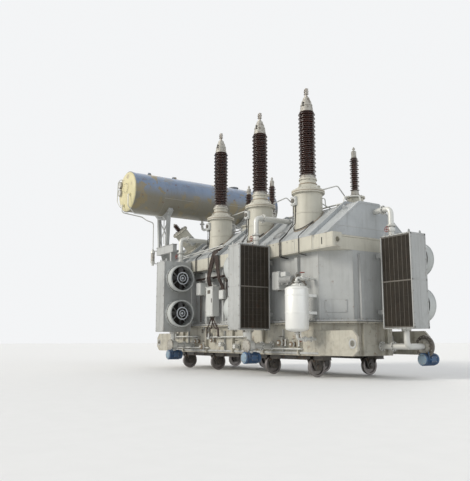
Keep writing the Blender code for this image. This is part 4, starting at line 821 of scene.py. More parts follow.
class Bolts:
    """Bolt heads with washers: gathered piece by piece, made by one tree."""

    def __init__(self) -> None:
        """Start with no bolts, and build the tree."""
        self.sets: dict[tuple[str, Coat], list[tuple[Vector, Vector, float]]] = {}
        rule = Rule("hex_bolts", Head=0.017, Thickness=0.015, Washer=0.026)
        head, thick = rule.given("Head"), rule.given("Thickness")
        bolt = rule.joined(rule.placed(rule.rod(6, head, thick), z=thick * 0.5 + 0.003),
                           rule.placed(rule.rod(10, rule.given("Washer"), 0.004), z=0.001),
                           rule.placed(rule.rod(6, head * 0.52, 0.012), z=thick + 0.006))
        aim, size = (rule.signal('GeometryNodeInputNamedAttribute', 0, {"data_type": kind}, Name=name)
                     for name, kind in (("aim", 'FLOAT_VECTOR'), ("size", 'FLOAT')))
        turned = rule.signal('FunctionNodeAlignRotationToVector', 0, {"axis": 'Z'}, Vector=aim)
        chance = rule.signal('FunctionNodeRandomValue', 1, {"data_type": 'FLOAT'}, _3=6.28, Seed=7)
        spin = rule.signal('FunctionNodeAxisAngleToRotation', Angle=chance)
        both = rule.signal('FunctionNodeRotateRotation', 0, {"rotation_space": 'LOCAL'},
                           Rotation=turned, Rotate_By=spin)
        self.rule = rule.close(rule.spread(rule.given("Geometry"), bolt, Rotation=both, Scale=size))

    def one(self, point: Point, aim: Point, size: float = 1.0, coat: Coat = Coat.ZINC,
            body: str = TANK) -> None:
        """Put one bolt on a surface."""
        self.sets.setdefault((body, coat), []).append((Vector(point), Vector(aim), size))

    def ring(self, centre: Point, aim: Point, radius: float, count: int, size: float = 1.0,
             coat: Coat = Coat.ZINC, phase: float = 0.0) -> None:
        """Put a ring of bolts round a point.

        Args:
            centre: Middle of the ring, on the surface.
            aim: Direction that the heads point to.
            radius: Radius of the ring.
            count: Number of bolts.
            size: Scale of the bolts.
            coat: Their finish.
            phase: Turn of the ring, in radians.
        """
        place = at(*centre) @ facing(aim)
        for x, y in arc(radius, count, start=phase):
            self.one(place @ Vector((x, y, 0)), aim, size, coat)

    def row(self, start: Point, end: Point, aim: Point, spacing: float, size: float = 1.0) -> None:
        """Put a row of bolts from one point to another.

        Args:
            start: First bolt.
            end: Last bolt.
            aim: Direction that the heads point to.
            spacing: About how far they stand apart.
            size: Scale of the bolts.
        """
        start, end = Vector(start), Vector(end)
        count = max(1, round((end - start).length / spacing))
        for k in range(count + 1):
            self.one(start.lerp(end, k / count), aim, size)

    def grid(self, xs: Point, ys: Point, zs: Point, aim: Point, size: float,
             place: Matrix | None = None) -> None:
        """Put a bolt at each combination of three lists of coordinates.

        Args:
            xs: Places along X.
            ys: Places along Y.
            zs: Places along Z.
            aim: Direction that the heads point to.
            size: Scale of the bolts.
            place: Matrix that puts them in place.
        """
        for x in xs:
            for y in ys:
                for z in zs:
                    self.one((place or Matrix()) @ Vector((x, y, z)), aim, size)

    def build(self) -> None:
        """Make one piece of bolts for each body and finish."""
        for (body, coat), bolts in self.sets.items():
            source = points_mesh([point for point, _, _ in bolts])
            source.attributes.new("aim", 'FLOAT_VECTOR', 'POINT')
            source.attributes.new("size", 'FLOAT', 'POINT')
            aims, sizes = source.attributes["aim"], source.attributes["size"]
            for k, (_, aim, size) in enumerate(bolts):
                aims.data[k].vector = aim
                sizes.data[k].value = size
            made = self.rule.applied(source, coat, MIDDLE)
            install(f"{body}_{coat.name.lower()}s", made, coat, body)


def bolts_along_rule() -> Rule:
    """The tree that sets bolt heads and nuts along an outline."""
    rule = Rule("bolts_along_an_outline", Spacing=0.15, Grip=0.09, Head=0.019)
    size = rule.given("Head")
    line = rule.signal('GeometryNodeMeshToCurve', Mesh=rule.given("Geometry"))
    points = rule.signal('GeometryNodeResampleCurve', 0, {"mode": 'LENGTH'}, Curve=line,
                         Length=rule.given("Spacing"))
    head, washer, stub = (rule.rod(6, size, 0.018), rule.rod(8, size * 1.5, 0.004),
                          rule.rod(6, size * 0.55, 0.03))
    below = rule.given("Grip") * -1.0
    bolt = rule.joined(*[rule.placed(part, z=height) for part, height in (
        (head, 0.012), (washer, 0.002), (stub, 0.022), (head, below - 0.012), (washer, below - 0.002))])
    return rule.close(rule.spread(points, bolt))


def sheds_rule() -> Rule:
    """The tree that turns a porcelain: a core with large and small sheds."""
    rule = Rule("porcelain_sheds", Height=2.0, Core=0.18, Large=0.25, Small=0.22, Pairs=12, Sides=40)
    pairs, index = rule.given("Pairs"), rule.signal('GeometryNodeInputIndex')
    line = rule.signal('GeometryNodeMeshLine', Count=pairs * 8.0 + 1.0, Offset=(0.0, 0.0, 0.001))
    corner = index.maths('FLOORED_MODULO', 4.0)
    within = 0.0
    for k, share in enumerate((0.20, 0.32, 0.74), 1):
        within = corner.maths('COMPARE', float(k), 0.1) * share + within
    height = ((index / 4.0).maths('FLOOR') + within) * (rule.given("Height") / (pairs * 2.0))
    large = index.maths('FLOORED_MODULO', 8.0).maths('LESS_THAN', 3.5)
    shed = large * rule.given("Large") + (1.0 - large) * rule.given("Small")
    outer = corner.maths('COMPARE', 1.0, 0.1) + corner.maths('COMPARE', 2.0, 0.1)
    radius = outer * shed + (1.0 - outer) * rule.given("Core")
    ring = rule.signal('GeometryNodeMeshCircle', 0, {"fill_type": 'NONE'}, Vertices=rule.given("Sides"),
                       Radius=1.0)
    spine = rule.signal('GeometryNodeSetPosition', Position=rule.vector(z=height),
                        Geometry=rule.signal('GeometryNodeMeshToCurve', Mesh=line))
    return rule.close(rule.signal('GeometryNodeCurveToMesh', Curve=spine, Scale=radius, Fill_Caps=True,
                                  Profile_Curve=rule.signal('GeometryNodeMeshToCurve', Mesh=ring)))


def slats_rule() -> Rule:
    """The tree that repeats one slat, the mesh it is given, along X."""
    rule = Rule("repeated_slats", Count=40, Pitch=0.02)
    line = rule.signal('GeometryNodeMeshLine', Count=rule.given("Count"),
                       Offset=rule.vector(rule.given("Pitch")))
    return rule.close(rule.spread(line, rule.given("Geometry")))


def guard_rule() -> Rule:
    """The tree that makes a fan guard: rings and spokes in the XY plane."""
    rule = Rule("fan_guard", Outer=0.42, Rings=5, Spokes=12, Wire=0.0035)
    outer, wire, index = rule.given("Outer"), rule.given("Wire"), rule.signal('GeometryNodeInputIndex')
    ring_spots, spoke_spots = (rule.signal('GeometryNodeMeshLine', Count=rule.given(name),
                                           Offset=(0.0, 0.0, 0.0)) for name in ("Rings", "Spokes"))
    circle, bead = (rule.signal('GeometryNodeCurvePrimitiveCircle', Resolution=sides, Radius=radius)
                    for sides, radius in ((40, 1.0), (5, wire)))
    rings = rule.signal('GeometryNodeRealizeInstances', Geometry=rule.spread(
        ring_spots, circle, Scale=(index + 1.6) / (rule.given("Rings") + 0.6) * outer))
    wires = rule.signal('GeometryNodeCurveToMesh', Curve=rings, Profile_Curve=bead)
    rod = rule.signal('GeometryNodeTransform', Geometry=rule.rod(5, wire, outer * 0.86),
                      Rotation=(0.0, math.pi / 2, 0.0))
    spokes = rule.spread(spoke_spots, rule.placed(rod, x=outer * 0.57),
                         Rotation=rule.vector(z=index * FULL_TURN / rule.given("Spokes")))
    return rule.close(rule.joined(wires, spokes))


# Sub-assemblies, with lengths from the middle of the tank

BOLTS = Bolts()
SHEDS = sheds_rule()
SLATS = slats_rule()
GUARD = guard_rule()
BOLT_LINE = bolts_along_rule()

FRONT_WALL = -1.35
ROOF_TOP = 4.74
RIDGE_HALF = 0.38
EAVE_TOP = 3.76
EAVE_HALF = (4.97, 1.60)
TALL_PLACES = (-1.73, 0.70, 3.10)
SMALL_PLACES = (-0.92, 1.20, 3.30)
NEUTRAL_PLACE = -2.40


def roof_drop(y: float) -> float:
    """How far the front slope of the roof lies below the ridge, as a negative height."""
    return min(0.0, (y + RIDGE_HALF) * (ROOF_TOP - EAVE_TOP) / (EAVE_HALF[1] - RIDGE_HALF))


def dress(**coats: Coat) -> None:
    """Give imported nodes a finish."""
    for name, coat in coats.items():
        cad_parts[name].data.materials.clear()
        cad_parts[name].data.materials.append(coat.material)


def lens(half: float, shoulder: Point, belly: float) -> list[Point]:
    """Profile of a small cast body, such as a valve's."""
    reach, height = shoulder
    return [(0, half), (reach, height), (belly, 0), (reach, -height), (0, -half)]


def porcelain(name: str, node: str, place: Matrix, **sizes: float | int) -> None:
    """Make one porcelain with its sheds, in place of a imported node.

    Args:
        name: Name of the piece.
        node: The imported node.
        place: Matrix of its foot.
        sizes: Inputs of the shed tree.
    """
    made = SHEDS.applied(points_mesh([(0, 0, 0)]), Coat.GLAZE, MIDDLE @ place, **sizes)
    made.shade_smooth()
    made.set_sharp_from_angle(angle=math.radians(50))
    install(name, made, Coat.GLAZE, replaces=(node,))


def flange_pair(shape: Shape, point: Point, aim: Point, radius: float, thickness: float = 0.022,
                count: int = 8, size: float = 0.8) -> None:
    """Add two bolted pipe flanges with a gasket gap, and their bolts.

    Args:
        shape: The shape that gets the flanges.
        point: Middle of the joint.
        aim: Direction of the pipe.
        radius: Radius of the flanges.
        thickness: Thickness of each flange.
        count: Number of bolts.
        size: Scale of the bolts.
    """
    place = at(*point) @ facing(aim)
    for low in (0.002, -thickness - 0.002):
        high = low + thickness
        shape.turned([(0, high), (radius - 0.004, high), (radius, high - 0.004), (radius, low + 0.003),
                      (radius - 0.003, low), (0, low)], 24, place)
    shape.turned([(0, 0.003), (radius * 0.93, 0.003), (radius * 0.93, -0.003), (0, -0.003)], 24, place)
    along = Vector(aim).normalized()
    for side in (1, -1):
        face = Vector(point) + along * side * (thickness + 0.002)
        BOLTS.ring(face, along * side, radius * 0.80, count, size)


def handwheel(shape: Shape, centre: Point, aim: Point, radius: float) -> None:
    """Add a valve's handwheel with spokes and hub.

    Args:
        shape: The shape that gets it.
        centre: Its middle.
        aim: Direction of its spindle.
        radius: Radius of the rim.
    """
    place = at(*centre) @ facing(aim)
    shape.pipe([(*point, 0) for point in arc(radius, 20)], radius * 0.11, sides=8, loop=True, place=place)
    for tip in arc(radius, 4):
        shape.pipe([(0, 0, 0), (*tip, 0)], radius * 0.07, sides=6, place=place)
    quarter = radius * 0.25
    shape.turned([(0, quarter), (radius * 0.2, quarter), (radius * 0.24, 0), (radius * 0.2, -quarter),
                  (0, -quarter)], 12, place)


@dataclass
class Tank:
    """Trough and bell, bolted together at the belt, with the eave and the roof."""

    half_length: float = 4.75
    half_width: float = 1.35
    corner: float = 0.65
    bottom: float = 0.58
    belt: float = 1.48
    flange: float = 0.045
    reach: float = 0.13
    rib_places: tuple[float, ...] = (-3.27, -1.635, 0.0, 1.635, 3.27)
    eave_bottom: float = 3.37
    eye: tuple[float, float, float] = (5.33, 1.36, 0.9103)

    def outline(self, out: float, z: float) -> list[tuple[float, float, float]]:
        """Corners of the tank's outline, grown by a distance, at a height."""
        long, wide = self.half_length + out, self.half_width + out
        cut = self.corner + out * (2 - math.sqrt(2))
        quarter = [(long, wide - cut), (long - cut, wide)]
        return [(x * sx, y * sy, z) for sx, sy, order in ((1, 1, 1), (-1, 1, -1), (-1, -1, 1), (1, -1, -1))
                for x, y in quarter[::order]]

    def slope(self, x: float, share: float, proud: float = 0.0, side: int = -1) -> Vector:
        """A point on the roof's slope: share 0 at the eave, 1 at the ridge's edge."""
        run, rise = EAVE_HALF[1] - RIDGE_HALF, ROOF_TOP - EAVE_TOP
        size = math.hypot(run, rise)
        return Vector((x, side * (EAVE_HALF[1] - run * share + rise / size * proud),
                       EAVE_TOP + rise * share + run / size * proud))

    def normal(self, side: int = -1) -> Vector:
        """Direction straight out of the roof's slope."""
        run, rise = EAVE_HALF[1] - RIDGE_HALF, ROOF_TOP - EAVE_TOP
        return Vector((0, side * rise, run)).normalized()

    def build(self) -> None:
        """Build every fitting of the tank."""
        dress(lower_tank=Coat.TROUGH, bell_tank=Coat.TANK, eave_beam=Coat.EAVE, shoulder_roof=Coat.ROOF)
        self.belt_joint()
        self.wall_fittings()
        self.eave_trim()
        self.roof_covers()
        self.roof_pipes()
        self.pull_plates()

    def belt_joint(self) -> None:
        """The gasket and the bolts all round the belt."""
        gasket = Shape()
        gasket.prism([(x, y) for x, y, _ in self.outline(self.reach + 0.004, 0)], 0.012,
                     at(0, 0, self.belt))
        gasket.publish("belt_gasket", Coat.GASKET, "dark_steel")
        line = points_mesh(self.outline(0.104, self.belt + self.flange), closed=True)
        made = BOLT_LINE.applied(line, Coat.ZINC, MIDDLE, Spacing=0.155, Grip=2 * self.flange, Head=0.016)
        install("belt_bolts", made, Coat.ZINC)

    def wall_fittings(self) -> None:
        """Weld seams, gussets, jacking brackets, lugs, valves and earth pads on the walls."""
        seams, plates, dark = Shape(), Shape(), Shape()
        wall = self.half_width
        for side in (-1, 1):
            y = side * (wall + 0.001)
            for x in (-2.45, -0.82, 0.82, 2.45):
                seams.block((x - 0.008, y - 0.004, self.belt + 0.05),
                            (x + 0.008, y + 0.004, self.eave_bottom))
            seams.block((-4.08, y - 0.004, 2.413), (4.08, y + 0.004, 2.427))
            seams.block((-4.08, y - 0.006, self.eave_bottom - 0.016), (4.08, y + 0.006, self.eave_bottom))
            for x in self.rib_places:
                for edge in (-0.065, 0.065):
                    seams.pipe([(x + edge, y, self.belt + 0.05), (x + edge, y, self.eave_bottom - 0.1)],
                               0.007, sides=6)
                outline = [(0, 0), (0.115, 0), (0.09, 0.11), (0, 0.20)]
                for flip in (-1, 1):
                    z = self.belt + flip * self.flange
                    turned = [(a, flip * b) for a, b in outline][::flip]
                    matrix = Matrix(((0, 0, 1, x + 0.115), (side, 0, 0, y), (0, 1, 0, z), (0, 0, 0, 1)))
                    plates.prism(turned, 0.014, matrix)
                    plates.prism(turned, 0.014, at(-0.23, 0, 0) @ matrix)
        for sx in (-1, 1):
            for sy in (-1, 1):
                middle = Vector((sx * (self.half_length - self.corner / 2),
                                 sy * (self.half_width - self.corner / 2), 0))
                out = Vector((sx, sy, 0)).normalized()
                across = Vector((-sy, sx, 0)).normalized()
                face = Matrix((across, Vector((0, 0, 1)), out)).transposed().to_4x4()
                face.translation = middle
                if face.to_3x3().determinant() < 0:
                    face = face @ Matrix.Diagonal((-1, 1, 1, 1))
                plates.block((-0.30, 1.72, -0.004), (0.28, 2.06, 0.016), 0.005, face)
                plates.block((-0.20, 0.62, -0.004), (0.20, 1.10, 0.035), 0.008, face)
                seams.block((-0.452, 1.54, -0.004), (-0.440, 3.36, 0.006), 0.0, face)
                seams.block((0.440, 1.54, -0.004), (0.452, 3.36, 0.006), 0.0, face)
                for px, pz in ((-0.27, 1.75), (0.25, 1.75), (-0.27, 2.03), (0.25, 2.03)):
                    BOLTS.one(face @ Vector((px, pz, 0.016)), out, 0.6)
        for x, z in ((-2.0, 1.30), (0.55, 1.28), (2.9, 1.30), (-3.7, 1.28)):
            dark.block((x - 0.05, -wall - 0.02, z - 0.07), (x + 0.05, -wall + 0.002, z + 0.07), 0.006)
            BOLTS.one((x, -wall - 0.02, z), (0, -1, 0), 1.2)
        plates.block((0.95, -wall - 0.014, 2.28), (1.36, -wall + 0.002, 2.58), 0.004)
        BOLTS.grid((0.98, 1.33), (-wall - 0.014,), (2.31, 2.55), (0, -1, 0), 0.5)
        seams.publish("tank_weld_seams", Coat.SEAM, "tank_paint")
        plates.publish("tank_wall_plates", Coat.TANK, "tank_paint")
        dark.publish("earthing_pads", Coat.FRAME, "dark_steel")
        self.lower_wall()

    def lower_wall(self) -> None:
        """Channels, drain valves and an oil main along the foot of the walls."""
        bars, valves, wheels, stained = Shape(), Shape(), Shape(), Shape()
        wall = self.half_width
        for side in (-1, 1):
            bars.block((-4.05, side * wall - 0.03, 0.62), (4.05, side * wall + 0.03, 0.68), 0.008)
            for x in (-2.9, -0.5, 2.6):
                bars.block((x - 0.012, side * wall - 0.07, 0.68),
                           (x + 0.012, side * wall + 0.07, 1.30), 0.004)
        for x, z in ((-0.55, 0.86), (0.30, 0.80)):
            y = -wall
            valves.pipe([(x, y + 0.01, z), (x, y - 0.20, z)], 0.045, sides=16)
            valves.turned(lens(0.05, (0.07, 0.04), 0.085), 16, at(x, y - 0.13, z))
            for reach in (0.05, 0.20):
                flange_pair(valves, (x, y - reach, z), (0, -1, 0), 0.085, 0.014, 6, 0.6)
            valves.pipe([(x, y - 0.13, z), (x, y - 0.13, z + 0.17)], 0.014, sides=8)
            handwheel(wheels, (x, y - 0.13, z + 0.18), (0, 0, 1), 0.075)
        for x, z, size in ((-4.05, 0.92, 1.0), (-3.60, 0.80, 0.8), (-2.20, 0.95, 0.9), (-1.72, 0.78, 1.1),
                           (-1.15, 0.98, 0.8), (1.02, 0.92, 1.0), (1.46, 0.80, 0.8), (2.62, 0.92, 1.1),
                           (3.12, 0.88, 0.9)):
            self.wall_valve(valves, stained, wheels, x, z, size)
        for low, start, stop in ((0.74, -4.0, -1.5), (1.12, -4.0, -2.2), (0.76, 0.9, 3.4), (1.10, -1.3, 0.7)):
            valves.pipe([(start, -wall + 0.01, low), (start, -wall - 0.10, low), (stop, -wall - 0.10, low),
                         (stop, -wall + 0.01, low)], 0.024, 0.06, sides=10)
            for k in range(4):
                x = start + (stop - start) * (k + 0.5) / 4
                bars.block((x - 0.02, -wall - 0.13, low - 0.035), (x + 0.02, -wall + 0.005, low - 0.018))
        for x, z, w, h in ((-3.82, 1.16, 0.22, 0.16), (-1.42, 1.12, 0.16, 0.20), (0.80, 1.16, 0.20, 0.15)):
            bars.block((x - w / 2, -wall - 0.14, z - h / 2), (x + w / 2, -wall + 0.003, z + h / 2), 0.008)
        for x in (2.75, 3.35):
            valves.pipe([(x, -wall + 0.01, 1.02), (x, -wall - 0.09, 1.02), (x, -wall - 0.09, 0.86)],
                        0.02, 0.03)
            valves.turned([(0, 0.03), (0.028, 0.02), (0.03, -0.02), (0, -0.03)], 12,
                          at(x, -wall - 0.09, 0.85))
        bars.publish("lower_wall_bars", Coat.TANK, "tank_paint")
        valves.publish("drain_valves", Coat.PIPE, "pipe_paint")
        wheels.publish("drain_valve_wheels", Coat.OILY, "pipe_paint")
        stained.publish("stained_wall_flanges", Coat.RUST, "pipe_paint")

    def wall_valve(self, valves: Shape, stained: Shape, wheels: Shape, x: float, z: float,
                   size: float) -> None:
        """A stub with stained flanges, a gate valve and its wheel on the front wall.

        Args:
            valves: Shape of the pipes and valve bodies.
            stained: Shape of the stained flanges.
            wheels: Shape of the handwheels.
            x: Place along the wall.
            z: Height.
            size: Scale of the valve.
        """
        y = -self.half_width
        valves.pipe([(x, y + 0.01, z), (x, y - 0.24 * size, z)], 0.036 * size, sides=14)
        for reach in (0.05, 0.20):
            stained.turned([(0, 0.014), (0.078 * size, 0.014), (0.080 * size, 0.011),
                            (0.080 * size, -0.011),
                            (0.078 * size, -0.014), (0, -0.014)], 20,
                           at(x, y - reach * size, z) @ facing((0, -1, 0)))
            BOLTS.ring((x, y - reach * size - 0.014, z), (0, -1, 0), 0.062 * size, 6, 0.5,
                       Coat.RUSTY_BOLT)
        valves.turned([(0, 0.07), (0.045, 0.06), (0.060, 0.02), (0.060, -0.02), (0.045, -0.06), (0, -0.07)],
                      16, at(x, y - 0.125 * size, z) @ Matrix.Scale(size, 4))
        valves.pipe([(x, y - 0.125 * size, z), (x, y - 0.125 * size, z + 0.15 * size)], 0.011, sides=8)
        handwheel(wheels, (x, y - 0.125 * size, z + 0.16 * size), (0, 0, 1), 0.062 * size)

    def eave_trim(self) -> None:
        """Seams, slots, cover plates and lug rings of the eave."""
        seams, plates, slots = Shape(), Shape(), Shape()
        long, wide = EAVE_HALF
        low, high = self.eave_bottom, EAVE_TOP
        for side in (-1, 1):
            y = side * wide
            for x in (-4.0, -2.52, -0.50, 1.45, 3.42, 4.20):
                seams.block((x - 0.006, y - 0.005, low + 0.01), (x + 0.006, y + 0.005, high - 0.01))
            seams.block((-long + 0.03, y - 0.004, low + 0.03), (long - 0.03, y + 0.004, low + 0.036))
            plates.block((3.46, y - 0.012, low + 0.02), (4.16, y + 0.012, high - 0.02), 0.004)
            plates.block((-4.14, y - 0.012, low + 0.02), (-3.46, y + 0.012, high - 0.02), 0.004)
            # The slots are dark blocks: painted shade where a slot would be.
            for x in (4.55, -4.62):
                slots.block((x - 0.018, y - 0.006, low + 0.10), (x + 0.018, y + 0.006, high - 0.10), 0.004)
            for x in (-3.9, -2.9, -1.0, 0.6, 2.2, 3.1):
                BOLTS.row((x, y + side * 0.001, high - 0.05), (x + 0.5, y + side * 0.001, high - 0.05),
                          (0, side, 0), 0.25, 0.7)
            for end in (-1, 1):
                centre = (end * long, side * (wide - 0.16), (low + high) / 2)
                plates.turned([(0.074, 0.012), (0.10, 0.008), (0.10, -0.01), (0.074, -0.01)], 24,
                              at(*centre) @ facing((end, 0, 0)), closed=True)
        for end in (-1, 1):
            plates.block((min(end * 4.74, end * 4.77), -1.28, high - 0.05),
                         (max(end * 4.74, end * 4.77), 1.28, high - 0.01), 0.004)
        seams.publish("eave_seams", Coat.SEAM, "tank_paint")
        plates.publish("eave_plates", Coat.EAVE, "tank_paint")
        slots.publish("eave_slots", Coat.SLOT, "dark_steel")

    def roof_covers(self) -> None:
        """Hatches, lifting eyes and seams on the roof."""
        covers, seams = Shape(), Shape()
        out = self.normal()
        for x, share, wide, tall in ((-2.62, 0.62, 0.36, 0.28), (-0.02, 0.34, 0.30, 0.24),
                                     (2.30, 0.28, 0.26, 0.22)):
            face = at(*self.slope(x, share)) @ facing(out)
            for low, high in ((-0.01, 0.02), (0.024, 0.042)):
                covers.block((-wide / 2 - 0.03, -tall / 2 - 0.03, low),
                             (wide / 2 + 0.03, tall / 2 + 0.03, high), 0.004, face)
            for k in range(4):
                for sx, sy in ((1, 0), (0, 1)):
                    share_k = (k + 0.5) / 4 - 0.5
                    for edge in (-1, 1):
                        point = Vector((share_k * wide * 1.05 if sy else edge * (wide / 2 + 0.005),
                                        share_k * tall * 1.05 if sx else edge * (tall / 2 + 0.005), 0.042))
                        BOLTS.one(face @ point, out, 0.7)
        for side in (-1, 1):
            for x in (-4.3, -0.5, 2.05, 4.45):
                turned = at(*self.slope(x, 0.80, 0.0, side)) @ facing(self.normal(side))
                crown = arc(0.06, 9, step=math.pi / 8, middle=(0, 0.07))
                upright = turned @ Matrix(((1, 0, 0, 0), (0, 0, -1, 0), (0, 1, 0, 0), (0, 0, 0, 1)))
                covers.prism([(0.09, -0.02), *crown, (-0.09, -0.02)], 0.03, upright, 0.004)
            for end in (-1, 1):
                x = end * (self.half_length - 0.10)
                seams.pipe([self.slope(x, 0.0, 0.004, side), self.slope(x, 1.0, 0.004, side)],
                           0.008, sides=6)
            seams.pipe([self.slope(-4.72, 0.995, 0.003, side), self.slope(4.72, 0.995, 0.003, side)],
                       0.008, sides=6)
        for end in (-1, 1):
            x = end * (self.half_length + 0.001)
            ring = [(x, -1.52, EAVE_TOP + 0.05), (x, -0.36, ROOF_TOP - 0.045),
                    (x, 0.36, ROOF_TOP - 0.045), (x, 1.52, EAVE_TOP + 0.05)]
            seams.pipe(ring, 0.007, sides=6)
            seams.pipe([(x, -1.30, 4.00), (x, 1.30, 4.00)], 0.006, sides=6)
        covers.publish("roof_covers", Coat.ROOF, "tank_paint")
        seams.publish("roof_seams", Coat.SEAM, "tank_paint")

    def roof_pipes(self) -> None:
        """Air pipes along and over the roof, and the small covers on its ridge."""
        pipes, joints = Shape(), Shape()
        out = self.normal()
        for offset, radius in ((0.0, 0.022), (0.075, 0.016)):
            z = ROOF_TOP + 0.09 + offset * 0.4
            y = -0.30 + offset
            pipes.pipe([(4.1, y, ROOF_TOP - 0.01), (4.1, y, z), (-3.12, y, z),
                        (-3.12, -0.10 + offset * 0.3, z)], radius, 0.06, sides=10)
            for x in (-2.4, -0.5, 0.2, 1.9, 2.4, 3.8):
                pipes.block((x - 0.02, y - 0.04, ROOF_TOP - 0.01), (x + 0.02, y + 0.04, z), 0.004)
        for x in TALL_PLACES:
            start = Vector((x + 0.20, -0.46, 5.10))
            pipes.pipe([start, start + Vector((0, 0.13, 0)), (x + 0.20, -0.30, ROOF_TOP + 0.11)],
                       0.016, 0.05, sides=8)
        low_a, low_b = self.slope(-3.20, 0.10, 0.10), self.slope(-0.62, 0.24, 0.10)
        lift = out * 0.07
        for shift in (Vector(), lift):
            pipes.pipe([low_a - lift + shift * 0.1 - out * 0.05, low_a + shift, low_b + shift,
                        low_b - lift - out * 0.05 + shift * 0.1], 0.020, 0.05, sides=8)
        for route in (((-1.50, -0.44, 5.40), (-1.05, -0.20, 5.52), (-0.92, 0.30, 5.20), (-0.92, 0.64, 5.10)),
                      ((0.95, -0.46, 5.38), (1.20, -0.10, 5.58), (1.20, 0.40, 5.20), (1.20, 0.64, 5.12)),
                      ((3.36, -0.46, 5.34), (3.60, -0.10, 5.46), (3.45, 0.40, 5.16), (3.30, 0.64, 5.10)),
                      ((2.10, -0.28, 4.80), (2.10, -0.28, 5.16), (2.72, -0.20, 5.20), (2.72, 0.70, 4.90)),
                      ((-0.20, -0.28, 4.80), (-0.20, -0.28, 5.10), (0.32, -0.10, 5.14), (0.32, 0.70, 4.90)),
                      ((3.95, -0.20, 4.78), (3.95, -0.20, 5.05), (4.30, 0.10, 5.05), (4.30, 0.12, 4.72)),
                      ((-2.60, -0.30, 4.80), (-2.60, -0.30, 5.22), (-2.05, -0.10, 5.24),
                       (NEUTRAL_PLACE, 0.64, 5.05))):
            pipes.pipe(route, 0.019, 0.10, sides=8)
        joints.block((-0.72, -0.36, ROOF_TOP - 0.01), (-0.40, -0.06, ROOF_TOP + 0.05), 0.01)
        joints.turned([(0, 0.20), (0.05, 0.19), (0.06, 0.14), (0.06, 0.05), (0.10, 0.04), (0.10, -0.01),
                       (0, -0.01)], 20, at(1.95, 0.0, ROOF_TOP))
        joints.turned([(0, 0.10), (0.17, 0.10), (0.17, 0.07), (0.14, 0.07), (0.14, -0.01), (0, -0.01)], 28,
                      at(-0.05, 0.12, ROOF_TOP))
        BOLTS.ring((-0.05, 0.12, ROOF_TOP + 0.10), (0, 0, 1), 0.14, 12, 0.7)
        pipes.publish("roof_air_pipes", Coat.PIPE, "pipe_paint")
        joints.publish("roof_fittings", Coat.TANK, "tank_paint")

    def pull_plates(self) -> None:
        """Boss rings round the towing eyes and stiffening plates behind them."""
        rings = Shape()
        x, y, z = self.eye
        for sx in (-1, 1):
            for sy in (-1, 1):
                for face in (0.0, -0.06):
                    place = at(sx * x, sy * (y + face), z) @ facing((0, sy, 0))
                    low, high = (-0.004, 0.010) if face == 0 else (-0.010, 0.004)
                    rings.turned([(0.082, high), (0.125, high), (0.125, low), (0.082, low)], 28, place,
                                 closed=True)
        rings.publish("towing_eye_rings", Coat.TANK, "tank_paint")


